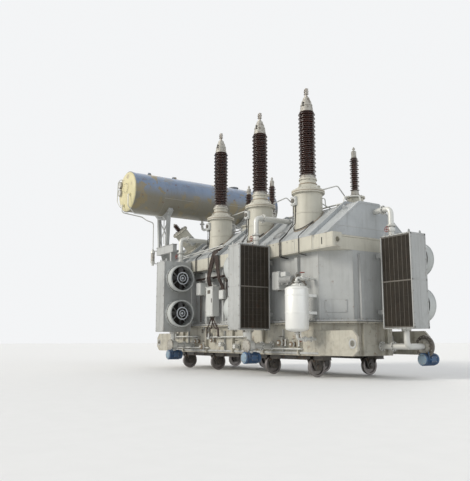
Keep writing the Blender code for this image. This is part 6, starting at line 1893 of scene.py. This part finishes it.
@dataclass
class OilPipes:
    """The round oil pipes of one cooler, its pump and its pump motor."""

    name: str
    top_route: tuple[Point, ...]
    low_route: tuple[Point, ...]
    pump: Point
    branch: tuple[Point, ...] = ()
    radius: float = 0.077
    flange: float = 0.127
    bend: float = 0.16
    casing: float = 0.0

    def build(self) -> None:
        """Build the pipes with their flanges and valves, then the pump."""
        top, low = Shape(), Shape()
        top.pipe(self.top_route, self.radius, self.bend, sides=24)
        foot, corner = Vector(self.top_route[0]), Vector(self.top_route[1])
        flange_pair(top, foot + Vector((0, 0, 0.024)), (0, 0, 1), self.flange, 0.020, 8, 0.8)
        middle = foot.lerp(corner, 0.40)
        flange_pair(top, middle, (0, 0, 1), self.flange, 0.018, 8, 0.7)
        last, before = Vector(self.top_route[-1]), Vector(self.top_route[-2])
        along = (last - before).normalized()
        joint = before + along * 0.26
        flange_pair(top, joint, along, self.flange, 0.018, 8, 0.7)
        valve = foot.lerp(corner, 0.25)
        top.turned(lens(0.05, (0.10, 0.045), 0.108), 24, at(*valve))
        side = Vector((0, -1, 0)) if abs(along.y) > 0.5 else Vector((0, 0, 1)).cross(along)
        top.pipe([valve, valve + side * 0.17], 0.014, sides=8)
        wheel = Shape()
        handwheel(wheel, valve + side * 0.18, side, 0.07)
        wheel.publish(f"{self.name}_valve_wheel", Coat.HANDWHEEL, "pipe_paint")
        top.publish(f"{self.name}_round_top_pipe", Coat.PIPE, "pipe_paint",
                    replaces=(f"{self.name}_top_pipe",))
        low.pipe(self.low_route, self.radius, self.bend, sides=24)
        if self.branch:
            low.pipe(self.branch, self.radius, sides=24)
        start = Vector(self.low_route[0])
        flange_pair(low, start - Vector((0, 0, 0.024)), (0, 0, 1), self.flange, 0.020, 8, 0.8)
        ends = self.branch or self.low_route
        wall, inner = Vector(ends[-1]), Vector(ends[-2])
        flange_pair(low, wall.lerp(inner, 0.026 / max((wall - inner).length, 0.1)), wall - inner,
                    self.flange, 0.020, 8, 0.8)
        flange_pair(low, wall.lerp(inner, 0.45), wall - inner, self.flange, 0.018, 8, 0.7)
        self.build_pump(low)

    def build_pump(self, pipe: Shape) -> None:
        """The pump's casing and its finned motor.

        Args:
            pipe: The shape of the lower pipe, which carries the pump.
        """
        place = at(*self.pump) @ Matrix.Rotation(math.pi / 2, 4, 'X') @ Matrix.Rotation(math.pi, 4, 'Z')
        aim, across = (place.to_3x3() @ Vector(axis) for axis in ((0, 0, 1), (-1, 0, 0)))
        cover, motor, pale = Shape(), Shape(), Shape()
        pipe.turned([(0, 0.0), (0.150, 0.0), (0.156, -0.02), (0.156, -0.17), (0.13, -0.205), (0, -0.205)], 32,
                    place)
        pipe.pipe([(0, 0, -0.10), (0, 0.33, -0.10)], 0.093, sides=20, place=place)
        cover.turned([(0, 0.052), (0.05, 0.060), (0.12, 0.050), (0.165, 0.040), (0.192, 0.036),
                      (0.193, 0.002), (0, 0.0)], 40, place)
        BOLTS.ring(place @ Vector((0, 0, 0.037)), aim, 0.175, 12, 0.7)
        if self.casing:
            ring = Shape()
            ring.turned([(0.18, 0.020), (self.casing - 0.01, 0.020), (self.casing, 0.012),
                         (self.casing, -0.05), (0.18, -0.09)], 48, place, closed=True)
            ring.publish(f"{self.name}_pump_casing", Coat.FRAME, "dark_steel")
            BOLTS.ring(place @ Vector((0, 0, 0.020)), aim, self.casing - 0.035, 16, 0.7)
        axis = place @ at(0, 0.33, 0)
        profile = [(0, 0.118), (0.135, 0.118), (0.150, 0.105)]
        for k in range(14):
            z = 0.095 - 0.030 * k
            profile += [(0.150, z), (0.166, z - 0.004), (0.166, z - 0.012), (0.150, z - 0.016)]
        motor.turned([*profile, (0.150, -0.385), (0.13, -0.402), (0, -0.402)], 36, axis)
        motor.block((-0.185, -0.075, -0.24), (-0.13, 0.075, -0.04), 0.008, axis)
        motor.pipe([(-0.17, 0.0, -0.05), (-0.17, 0.0, 0.02), (-0.17, -0.20, 0.06)], 0.014, 0.04,
                   sides=8, place=axis)
        # The lighter end cap is painted light on the motor's front end.
        pale.turned([(0, 0.128), (0.06, 0.130), (0.125, 0.126), (0.142, 0.118), (0.142, 0.100), (0, 0.100)],
                    36, axis)
        BOLTS.ring(axis @ Vector((0, 0, 0.125)), aim, 0.115, 6, 0.6)
        BOLTS.grid((-0.185,), (-0.055, 0.055), (-0.22, -0.06), across, 0.5, axis)
        pipe.publish(f"{self.name}_round_pump_line", Coat.PIPE, "pipe_paint",
                     replaces=(f"{self.name}_pump_line",))
        cover.publish(f"{self.name}_pump_cover", Coat.CAP, "pipe_paint")
        motor.publish(f"{self.name}_pump_motor", Coat.MOTOR, "pipe_paint")
        pale.publish(f"{self.name}_pump_motor_end", Coat.MOTOR_END, "pipe_paint")


@dataclass
class FilterVessel:
    """The upright oil filter vessel before the front wall."""

    x: float = 3.95
    y: float = -1.98
    radius: float = 0.31
    bottom: float = 1.30
    height: float = 1.02
    dome: float = 0.10
    brackets: tuple[float, float] = (1.665, 2.12)

    def build(self) -> None:
        """Build the vessel's body, lid, brackets, valves and pipes."""
        body, lid, pipes, wheel = Shape(), Shape(), Shape(), Shape()
        top, low = self.bottom + self.height, self.bottom - self.dome
        wide, wall = self.radius, FRONT_WALL - self.y
        place = at(self.x, self.y, 0)
        upper = dished(wide, top, self.dome, 6)
        lower = [(r, self.bottom + top - z) for r, z in reversed(upper)]
        body.turned([*upper, *lower], 64, place)
        for z in self.brackets:
            body.block((-0.08, wide - 0.05, z), (0.08, wall - 0.0003, z + 0.08), 0.004, place)
            body.turned([(wide - 0.004, z + 0.065), (wide + 0.007, z + 0.062), (wide + 0.007, z + 0.018),
                         (wide - 0.004, z + 0.015)], 64, place, closed=True)
        lid.turned([(wide - 0.004, top + 0.012), (wide + 0.010, top + 0.010), (wide + 0.010, top - 0.010),
                    (wide - 0.004, top - 0.012)], 64, place, closed=True)
        lid.turned([(0, top + 0.135), (0.11, top + 0.135), (0.115, top + 0.130), (0.115, top + 0.108),
                    (0.085, top + 0.106), (0.085, top + 0.06), (0, top + 0.06)], 36, place)
        BOLTS.ring((self.x, self.y, top + 0.133), (0, 0, 1), 0.099, 10, 0.5)
        for x in (-0.16, 0.16):
            lid.pipe([(x, -0.03, top + 0.07), (x, -0.03, top + 0.13), (x, 0.05, top + 0.13),
                      (x, 0.05, top + 0.07)], 0.010, 0.02, sides=8, place=place)
        lane = top + 0.30
        pipes.pipe([(0, 0, top + 0.12), (0, 0, lane), (0, wall + 0.02, lane)], 0.035, 0.08, sides=16,
                   place=place)
        flange_pair(pipes, place @ Vector((0, 0, top + 0.19)), (0, 0, 1), 0.072, 0.012, 6, 0.5)
        flange_pair(pipes, place @ Vector((0, wall - 0.20, lane)), (0, 1, 0), 0.072, 0.012, 6, 0.5)
        pipes.turned(lens(0.045, (0.06, 0.04), 0.066), 20, place @ at(0, 0.20, lane) @ facing((0, 1, 0)))
        pipes.pipe([(0, 0.20, lane), (0, 0.20, lane + 0.14)], 0.012, sides=8, place=place)
        handwheel(wheel, place @ Vector((0, 0.20, lane + 0.15)), (0, 0, 1), 0.065)
        lane = 1.02
        pipes.pipe([(0, 0, self.bottom - 0.08), (0, 0, lane), (0, wall + 0.02, lane)], 0.038, 0.09,
                   sides=16, place=place)
        flange_pair(pipes, place @ Vector((0, 0, low - 0.035)), (0, 0, 1), 0.075, 0.012, 6, 0.5)
        flange_pair(pipes, place @ Vector((0, wall - 0.16, lane)), (0, 1, 0), 0.075, 0.012, 6, 0.5)
        pipes.turned(lens(0.05, (0.065, 0.045), 0.072), 20, place @ at(0, 0.26, lane) @ facing((0, 1, 0)))
        pipes.pipe([(0, 0.26, lane), (-0.17, 0.26, lane)], 0.012, sides=8, place=place)
        handwheel(wheel, place @ Vector((-0.18, 0.26, lane)), (-1, 0, 0), 0.065)
        pipes.pipe([(0.14, 0, self.bottom - 0.05), (0.14, 0, self.bottom - 0.20),
                    (0.20, -0.02, self.bottom - 0.26)], 0.014, 0.03, sides=8, place=place)
        body.publish("filter_vessel_body", Coat.VESSEL, "vessel_paint", replaces=("filter_vessel",))
        lid.publish("filter_vessel_lid", Coat.VESSEL, "vessel_paint")
        pipes.publish("filter_vessel_pipes", Coat.PIPE, "pipe_paint")
        wheel.publish("filter_vessel_valve_wheels", Coat.HANDWHEEL, "pipe_paint")


@dataclass
class ControlGear:
    """The control cabinet with its hoses, and the small gear round it."""

    x: float = -1.03
    front: float = -1.67
    back: float = -1.41
    bottom: float = 1.77
    height: float = 0.97
    half: float = 0.22

    def build(self) -> None:
        """Build the cabinet's door, the hoses, the boxes and the drive unit."""
        dress(control_cabinet=Coat.CABINET)
        door, dark, hoses, trays = Shape(), Shape(), Shape(), Shape()
        top = self.bottom + self.height
        y = self.front
        door.block((self.x - self.half + 0.02, y - 0.014, self.bottom + 0.02),
                   (self.x + self.half - 0.02, y + 0.004, top - 0.02), 0.006)
        door.block((self.x - self.half - 0.02, y - 0.02, top - 0.004),
                   (self.x + self.half + 0.02, self.back + 0.01, top + 0.018), 0.006)
        dark.block((self.x + self.half - 0.06, y - 0.034, top - 0.52),
                   (self.x + self.half - 0.045, y - 0.012, top - 0.38), 0.004)
        hinge = self.x - self.half + 0.016
        for z in (self.bottom + 0.14, top - 0.14):
            dark.pipe([(hinge, y - 0.014, z - 0.035), (hinge, y - 0.014, z + 0.035)], 0.008, sides=8)
        dark.block((self.x - 0.10, y - 0.018, top - 0.22), (self.x + 0.08, y - 0.012, top - 0.10), 0.002)
        for k in range(6):
            gx = self.x - self.half + 0.06 + 0.064 * k
            dark.turned([(0, 0.01), (0.020, 0.01), (0.022, -0.03), (0, -0.035)], 12,
                        at(gx, self.front + 0.12, self.bottom))
        for k, (reach, lean) in enumerate(((-0.30, 0.02), (0.34, 0.05), (-0.22, 0.08), (0.26, 0.10))):
            gx = self.x + (-0.10 + 0.065 * k)
            hoses.pipe([(gx, self.front + 0.12, self.bottom - 0.02),
                        (gx, self.front + 0.12, self.bottom - 0.12),
                        (gx + reach * 0.6, -1.60 + lean, self.bottom - 0.40), (gx + reach, -1.52, 1.38),
                        (gx + reach, -1.52, 1.10)], 0.019, 0.10, sides=10)
        for k in range(4):
            over = -0.80 + 0.040 * k
            lean = 0.012 * k
            hoses.pipe([(over, -1.22, 4.12), (over, -1.40, 4.00), (over, -1.66, 3.93 - lean),
                        (over - 0.12, -1.70 + lean, 3.60), (over - 0.34 + lean, -1.69, 3.05),
                        (-1.16 + 0.055 * k, -1.62, 2.80), (-1.16 + 0.055 * k, -1.56, 2.73)], 0.024, 0.14,
                       sides=10)
            over = -0.70 + 0.040 * k
            hoses.pipe([(over, -1.22, 4.14), (over, -1.40, 4.02), (over, -1.67, 3.94 - lean),
                        (over + 0.08, -1.70 + lean, 3.60), (over + 0.17 - lean, -1.64, 3.00),
                        (-0.56 + 0.045 * k, -1.50, 2.76), (-0.58 + 0.045 * k, -1.46, 2.60)], 0.024, 0.14,
                       sides=10)
        trays.block((-2.30, FRONT_WALL - 0.10, 3.02), (1.75, FRONT_WALL - 0.092, 3.12), 0.002)
        trays.block((-2.30, FRONT_WALL - 0.16, 3.02), (1.75, FRONT_WALL - 0.092, 3.028), 0.002)
        for x in (-2.2, -1.2, 0.2, 1.6):
            trays.block((x - 0.02, FRONT_WALL - 0.16, 3.00), (x + 0.02, FRONT_WALL + 0.002, 3.02), 0.003)
        for z in (3.045, 3.075, 3.10):
            hoses.pipe([(-2.25, FRONT_WALL - 0.125, z), (1.70, FRONT_WALL - 0.125, z)], 0.013, sides=8)
        for x, low in ((-1.95, 1.60), (-1.86, 1.60), (-0.30, 1.62), (0.30, 1.62), (0.38, 1.62), (1.20, 1.62)):
            hoses.pipe([(x, FRONT_WALL - 0.12, 3.04), (x, FRONT_WALL - 0.12, low)], 0.015, sides=8)
        for x in (-0.62, 0.86, 1.45):
            trays.block((x - 0.035, FRONT_WALL - 0.055, self.bottom - 0.15),
                        (x + 0.035, FRONT_WALL + 0.002, 3.36), 0.006)
        self.drive(door, dark, trays)
        reach = self.half - 0.04
        BOLTS.grid((self.x - reach, self.x + reach), (self.front - 0.014,),
                   (self.bottom + 0.05, top - 0.05), (0, -1, 0), 0.4)
        door.publish("cabinet_door", Coat.CABINET, "vessel_paint")
        dark.publish("cabinet_fittings", Coat.FRAME, "dark_steel")
        hoses.publish("cable_hoses", Coat.BROWN_HOSE, "dark_steel")
        trays.publish("cable_trays", Coat.TANK, "tank_paint")

    def drive(self, pale: Shape, dark: Shape, trays: Shape) -> None:
        """Junction boxes, a horizontal drive unit and gauges on the wall.

        Args:
            pale: Shape in the cabinet's paint.
            dark: Shape in dark paint.
            trays: Shape in the tank's paint.
        """
        wall = FRONT_WALL
        for x, z, w, h, d in ((-1.70, 2.72, 0.30, 0.42, 0.34), (-0.51, 2.47, 0.28, 0.30, 0.17),
                              (0.10, 2.52, 0.22, 0.26, 0.12),
                              (0.62, 1.95, 0.20, 0.28, 0.12), (2.62, 2.66, 0.32, 0.52, 0.30)):
            pale.block((x - w / 2, wall - 0.02 - d, z - h / 2), (x + w / 2, wall - 0.02, z + h / 2), 0.008)
            pale.block((x - w / 2 + 0.015, wall - 0.028 - d, z - h / 2 + 0.015),
                       (x + w / 2 - 0.015, wall - 0.02 - d, z + h / 2 - 0.015), 0.004)
            trays.block((x - w / 2 + 0.04, wall - 0.022, z - 0.03),
                        (x + w / 2 - 0.04, wall + 0.002, z + 0.03))
            for k in (-1, 0, 1):
                dark.turned([(0, 0.0), (0.016, 0.0), (0.018, -0.03), (0, -0.035)], 10,
                            at(x + 0.06 * k, wall - 0.02 - d / 2, z - h / 2))
            side, rise = w / 2 - 0.03, h / 2 - 0.03
            BOLTS.grid((x - side, x + side), (wall - 0.028 - d,), (z - rise, z + rise), (0, -1, 0), 0.35)
        self.motor_drive(pale, trays, (3.02, wall - 0.26, 2.66))
        self.motor_drive(pale, trays, (-1.25, wall - 0.22, 3.02), 0.62)
        for gx, gz, r in ((-0.35, 2.95, 0.07), (-0.12, 2.95, 0.07), (1.95, 2.85, 0.075)):
            place = at(gx, wall - 0.10, gz) @ facing((0, -1, 0))
            dark.turned([(0, 0.012), (r - 0.012, 0.012), (r, 0.018), (r + 0.008, 0.005), (r + 0.008, -0.04),
                         (0, -0.045)], 28, place)
            dark.pipe([(gx, wall - 0.08, gz), (gx, wall + 0.003, gz)], 0.014, sides=8)
        for x, y, z, reach in ((3.34, -1.50, 2.52, 0.42), (3.48, -1.58, 2.60, 0.30),
                               (3.40, -1.66, 2.46, 0.36)):
            dark.pipe([(x, y, z), (x, y, z + 0.16), (x + reach * 0.5, y - 0.06, z + 0.16),
                       (x + reach, y + 0.02, z - 0.06)], 0.022, 0.06, sides=10)
            dark.turned(lens(0.035, (0.045, 0.03), 0.05), 16, at(x, y, z + 0.05))
            handwheel(dark, (x + reach * 0.5, y - 0.12, z + 0.16), (0, -1, 0.3), 0.055)

    @staticmethod
    def motor_drive(pale: Shape, trays: Shape, point: Point, size: float = 1.0) -> None:
        """A horizontal finned drive motor on a wall bracket.

        Args:
            pale: Shape in the cabinet's paint.
            trays: Shape in the tank's paint.
            point: Middle of the motor.
            size: Scale of the motor.
        """
        place = at(*point) @ Matrix.Scale(size, 4)
        profile = [(0, 0.30), (0.085, 0.30), (0.10, 0.28)]
        for k in range(9):
            profile += [(0.10, 0.26 - 0.05 * k), (0.112, 0.255 - 0.05 * k), (0.112, 0.235 - 0.05 * k),
                        (0.10, 0.23 - 0.05 * k)]
        trays.turned([*profile, (0.10, -0.22), (0, -0.24)], 28, place @ facing((1, 0, 0)))
        pale.block((-0.12, -0.09, 0.09), (0.10, 0.09, 0.22), 0.01, place)
        trays.block((-0.16, 0.02, -0.14), (0.20, 0.262, -0.10), 0.004, place)
        for dx in (-0.10, 0.14):
            trays.block((dx - 0.02, -0.06, -0.14), (dx + 0.02, 0.10, -0.08), 0.004, place)


@dataclass
class Undercarriage:
    """Two carriage beams with eight flanged rollers."""

    places: tuple[float, ...] = (-3.53, -1.56, 1.56, 3.53)
    track: float = 1.0
    axle: float = 0.28 * math.cos(math.pi / 16)
    tread: float = 0.2495
    width: float = 0.13

    def build(self) -> None:
        """Build the rollers and the beams' fittings."""
        dress(front_carriage=Coat.OILY, rear_carriage=Coat.OILY)
        fittings, caps = Shape(), Shape()
        for row, side in (("front", -1), ("rear", 1)):
            y = side * self.track
            for number, x in enumerate(self.places, 1):
                self.roller(f"{row}_wheel_{number}", x, y)
                for cheek in (-1, 1):
                    face = x + cheek * (self.width / 2 + 0.012 + 0.035)
                    caps.turned([(0, 0.040), (0.035, 0.040), (0.075, 0.030), (0.080, 0.002), (0, 0.0)], 24,
                                at(face, y, self.axle) @ facing((cheek, 0, 0)))
                    BOLTS.ring((face + cheek * 0.031, y, self.axle), (cheek, 0, 0), 0.06, 4, 0.5,
                               Coat.RUSTY_BOLT, 0.4)
                    for dy in (-0.17, 0.17):
                        fittings.prism([(0, 0), (0.085, 0), (0, 0.14)], 0.016, Matrix((
                            (cheek, 0, 0, face), (0, 0, 1, y + dy * 0.7), (0, -1, 0, 0.462), (0, 0, 0, 1))))
                        BOLTS.one((face, y + dy, 0.43), (cheek, 0, 0), 0.9, Coat.RUSTY_BOLT)
            for edge in (-1, 1):
                a, b = sorted((y + edge * 0.145, y + edge * 0.175))
                for low, high in ((0.46, 0.475), (0.565, 0.58)):
                    for start, stop in ((-3.98, -3.66), (-3.40, -1.69), (-1.43, 1.43), (1.69, 3.40),
                                        (3.66, 3.98)):
                        fittings.block((start, a, low), (stop, b, high), 0.003)
            for x in (-2.9, -2.2, -0.9, 0.0, 0.9, 2.2, 2.9):
                for edge in (-1, 1):
                    a, b = sorted((y + edge * 0.148, y + edge * 0.172))
                    fittings.block((x - 0.008, a, 0.475), (x + 0.008, b, 0.565))
                    BOLTS.one((x + 0.10, y + edge * 0.151, 0.52), (0, edge, 0), 1.1, Coat.RUSTY_BOLT)
            for x in (-3.90, 3.90):
                fittings.block((x - 0.05, y - 0.11, 0.475), (x + 0.05, y + 0.11, 0.5), 0.004)
        for x in (-2.55, 0.0, 2.55):
            fittings.block((x - 0.05, -0.86, 0.50), (x + 0.05, 0.86, 0.575), 0.006)
        fittings.publish("carriage_fittings", Coat.OILY, "dark_steel")
        caps.publish("axle_caps", Coat.OILY, "dark_steel")

    def roller(self, node: str, x: float, y: float) -> None:
        """One roller with a dished web, round the axle, on its own body.

        Args:
            node: The wheel's node and body.
            x: Place of its middle.
            y: Place of its axle.
        """
        half = self.width / 2
        rim = self.tread + 0.0245
        wheel = Shape()
        profile = [(0.0600, half), (0.095, half), (0.100, half - 0.004), (0.108, 0.034), (0.196, 0.030),
                   (0.206, half - 0.006), (0.212, half), (rim - 0.006, half), (rim, half - 0.006),
                   (rim, half - 0.024), (self.tread + 0.006, half - 0.034), (self.tread, half - 0.040),
                   (self.tread - 0.002, -half + 0.006), (self.tread - 0.008, -half), (0.212, -half),
                   (0.206, -half + 0.006), (0.196, -0.030), (0.108, -0.034), (0.100, -half + 0.004),
                   (0.095, -half), (0.0600, -half)]
        wheel.turned(profile, 56, at(x, y, self.axle) @ facing((1, 0, 0)), closed=True)
        wheel.publish(f"{node}_roller", Coat.ROLLER, "roller_steel", body=node, replaces=(node,))


class RoundBodies:
    """Smooth forms of the turrets and the drum over their faceted solids."""

    def build(self) -> None:
        """Build the smooth turrets and drum."""
        for number, x in enumerate(TALL_PLACES, 1):
            turret = Shape()
            turret.turned([(0, 5.65), (0.24, 5.65), (0.24, 5.51), (0.258, 5.505), (0.262, 5.47),
                           (0.27, 5.455), (0.36, 5.36), (0.385, 5.345), (0.405, 5.32), (0.415, 5.29),
                           (0.475, 5.29), (0.475, 5.19), (0.413, 5.19), (0.413, 3.95), (0, 3.95)], 64,
                          at(x, -0.80, 0))
            turret.block((x - 0.55, -0.93, 4.73), (x - 0.39, -0.67, 5.03), 0.008)
            turret.publish(f"hv_round_turret_{number}", Coat.EAVE, "tank_paint",
                           replaces=(f"hv_turret_{number}",))
        bank = Shape()
        bank.block((SMALL_PLACES[0] - 0.45, 0.61, 4.0), (SMALL_PLACES[-1] + 0.45, 1.19, 4.60), 0.012)
        for x in SMALL_PLACES:
            self.small_turret(bank, x)
        bank.publish("mv_round_turrets", Coat.EAVE, "tank_paint", replaces=("mv_turret_bank",))
        neutral = Shape()
        self.small_turret(neutral, NEUTRAL_PLACE)
        neutral.publish("neutral_round_turret", Coat.EAVE, "tank_paint", replaces=("neutral_turret",))
        self.leaning()
        self.drum()

    @staticmethod
    def small_turret(shape: Shape, x: float) -> None:
        """Add one small upright turret."""
        shape.turned([(0, 5.30), (0.30, 5.30), (0.302, 5.298), (0.302, 5.252), (0.30, 5.25), (0.25, 5.25),
                      (0.25, 4.02), (0, 4.02)], 40, at(x, 0.90, 0))

    @staticmethod
    def leaning() -> None:
        """The leaning turret with its square foot."""
        shape = Shape()
        turret = LeaningTurret()
        place, top = turret.place(), turret.length
        shape.turned([(0, top), (0.31, top), (0.31, top - 0.06), (0.26, top - 0.06), (0.26, 0.0), (0, 0.0)],
                     40, place)
        shape.block((-0.33, -0.33, -0.42), (0.33, 0.33, 0.10), 0.010, place)
        shape.publish("side_round_turret", Coat.EAVE, "tank_paint", replaces=("side_turret",))

    @staticmethod
    def drum() -> None:
        """The drum's shell and both dished ends."""
        gauge = Conservator()
        place = at(gauge.x, 0, gauge.z) @ facing((0, 1, 0))
        edge = gauge.half - gauge.head - 0.03
        shell = Shape()
        shell.turned([(gauge.radius - 0.009, edge), (gauge.radius, edge), (gauge.radius, -edge),
                      (gauge.radius - 0.009, -edge)], 96, place, closed=True)
        shell.publish("conservator_round_shell", Coat.DRUM, "drum_paint", replaces=("conservator_shell",))
        for side, name in ((-1, "front"), (1, "rear")):
            end = Shape()
            facing_out = at(gauge.x, 0, gauge.z) @ facing((0, side, 0))
            rim = gauge.half - gauge.head
            end.turned([*dished(gauge.radius, rim, gauge.head, 9), (gauge.radius, rim - 0.03),
                        (0, rim - 0.03)], 96, facing_out)
            if side < 0:
                for z in gauge.gauge_heights:
                    end.turned([(0, 0), (gauge.gauge_radius, 0), (gauge.gauge_radius, -0.21), (0, -0.21)],
                               32, at(gauge.gauge_x, gauge.gauge_y, z) @ facing((0, -1, 0)))
            end.publish(f"conservator_round_{name}_end", Coat.DRUM_END, "drum_paint",
                        replaces=(f"conservator_{name}_end",))


@dataclass
class Studio:
    """Plain pale floor, soft even light and the camera."""

    eye: tuple[float, float, float] = (16.4, -12.1, 1.0)
    forward: tuple[float, float, float] = (-0.8229, 0.5447, 0.1616)
    up: tuple[float, float, float] = (0.1348, -0.0892, 0.9869)
    lens: float = 45.43
    shift: float = -0.0042
    floor_size: float = 160.0

    def build(self) -> None:
        """Build the floor, the light and the camera."""
        self.floor()
        self.world()
        self.lamps()
        self.camera()
        bpy.context.scene.view_settings.view_transform = 'Standard'

    def floor(self) -> None:
        """A wide pale floor."""
        data = bpy.data.meshes.new("floor")
        half = self.floor_size
        data.from_pydata([(-half, -half, 0), (half, -half, 0), (half, half, 0), (-half, half, 0)], [],
                         [(0, 1, 2, 3)])
        material = bpy.data.materials.new("pale_floor")
        material.use_nodes = True
        bench = Bench(material.node_tree)
        grain = bench.noise(bench.place(), 3.0, 5.0, 0.6)
        shade = bench.mix(grain.ramp(0.3, 0.7), (0.815, 0.815, 0.81), (0.83, 0.83, 0.825))
        bench.finish(shade, 0.85)
        data.materials.append(material)
        floor = bpy.data.objects.new("floor", data)
        bpy.context.scene.collection.objects.link(floor)

    def world(self) -> None:
        """A white backdrop that gives only plain fill light."""
        world = bpy.data.worlds.new("studio_world")
        world.use_nodes = True
        bpy.context.scene.world = world
        bench = Bench(world.node_tree)
        camera, glossy, through = (bench.signal('ShaderNodeLightPath', f"Is {ray} Ray")
                                   for ray in ("Camera", "Glossy", "Transmission"))
        fill = bench.signal('ShaderNodeBackground', Color=(0.93, 0.96, 1.0), Strength=0.55)
        white = bench.signal('ShaderNodeBackground', Color=(0.90, 0.91, 0.92))
        seen = camera.most(glossy).most(through)
        bench.node('ShaderNodeOutputWorld',
                   Surface=bench.signal('ShaderNodeMixShader', _0=seen, _1=fill, _2=white))

    @staticmethod
    def lamps() -> None:
        """A soft key lamp from the front left, and weaker ones from the right and the back."""
        for name, place, spread, power, tone in (
                ("key", (-5.0, -18.0, 12.0), 24.0, 2.15, (1.0, 0.955, 0.87)),
                ("side", (18.0, 4.0, 10.0), 60.0, 0.55, (0.90, 0.95, 1.0)),
                ("back", (-12.0, 14.0, 13.0), 60.0, 0.65, (1.0, 0.96, 0.90))):
            lamp = bpy.data.lights.new(name, 'SUN')
            lamp.angle = math.radians(spread)
            lamp.energy = power
            lamp.color = tone
            carrier = bpy.data.objects.new(name, lamp)
            bpy.context.scene.collection.objects.link(carrier)
            carrier.location = place
            aim = Vector((0, 0, 2.5)) - Vector(place)
            carrier.rotation_euler = aim.to_track_quat('-Z', 'Y').to_euler()

    def camera(self) -> None:
        """The camera at the photo's place and angle."""
        optics = bpy.data.cameras.new("camera")
        optics.lens = self.lens
        optics.sensor_width = 36.0
        optics.shift_x = self.shift
        optics.clip_end = 600.0
        carrier = bpy.data.objects.new("camera", optics)
        bpy.context.scene.collection.objects.link(carrier)
        forward, up = Vector(self.forward).normalized(), Vector(self.up).normalized()
        right = forward.cross(up)
        matrix = Matrix((right, up, -forward)).transposed().to_4x4()
        matrix.translation = MIDDLE @ Vector(self.eye)
        carrier.matrix_world = matrix
        bpy.context.scene.camera = carrier


def main() -> None:
    """Build every sub-assembly in order, then the studio."""
    front = -2.16
    turn_end = Matrix.Rotation(-math.pi / 2, 4, 'Z') @ Matrix.Diagonal((1, -1, 1, 1))
    coolers = (Cooler("left_cooler", at(-2.94, front, 0) @ Matrix.Diagonal((-1, 1, 1, 1))),
               Cooler("right_cooler", at(2.30, front, 0)),
               Cooler("end_cooler", at(5.695, -0.10, 0) @ turn_end, squeeze=0.956))
    pipes = [OilPipes(name, ((x, -1.90, 3.712), (x, -1.90, 4.57), (x, -0.60, 4.57)),
                      ((x, front, 1.28), (x, front, 0.83), (x, -1.35, 0.83)), (x, front - 0.075, 0.83))
             for name, x in (("left_cooler", -2.65), ("right_cooler", 2.01))]
    pipes.append(OilPipes("end_cooler", ((5.325, 0.19, 3.712), (5.325, 0.19, 4.50), (4.75, 0.19, 4.50)),
                          ((5.695, 0.19, 1.28), (5.695, 0.19, 0.83), (5.695, 0.78, 0.83)),
                          (5.695, 0.85, 0.83),
                          ((5.695, 0.27, 0.83), (4.75, 0.27, 0.83)), casing=0.29))
    tall = [TallBushing(number, x) for number, x in enumerate(TALL_PLACES, 1)]
    small = [SmallBushing(f"mv_{number}", f"mv_bushing_{number}", x)
             for number, x in enumerate(SMALL_PLACES, 1)]
    small.append(SmallBushing("neutral", "neutral_bushing", NEUTRAL_PLACE))
    for part in (Tank(), RoundBodies(), *tall, *small, LeaningTurret(), Conservator(), *coolers, *pipes,
                 FilterVessel(), ControlGear(), Undercarriage()):
        part.build()
        log.info("%s is built", type(part).__name__)
    BOLTS.build()
    Studio().build()


if __name__ == "__main__":
    main()
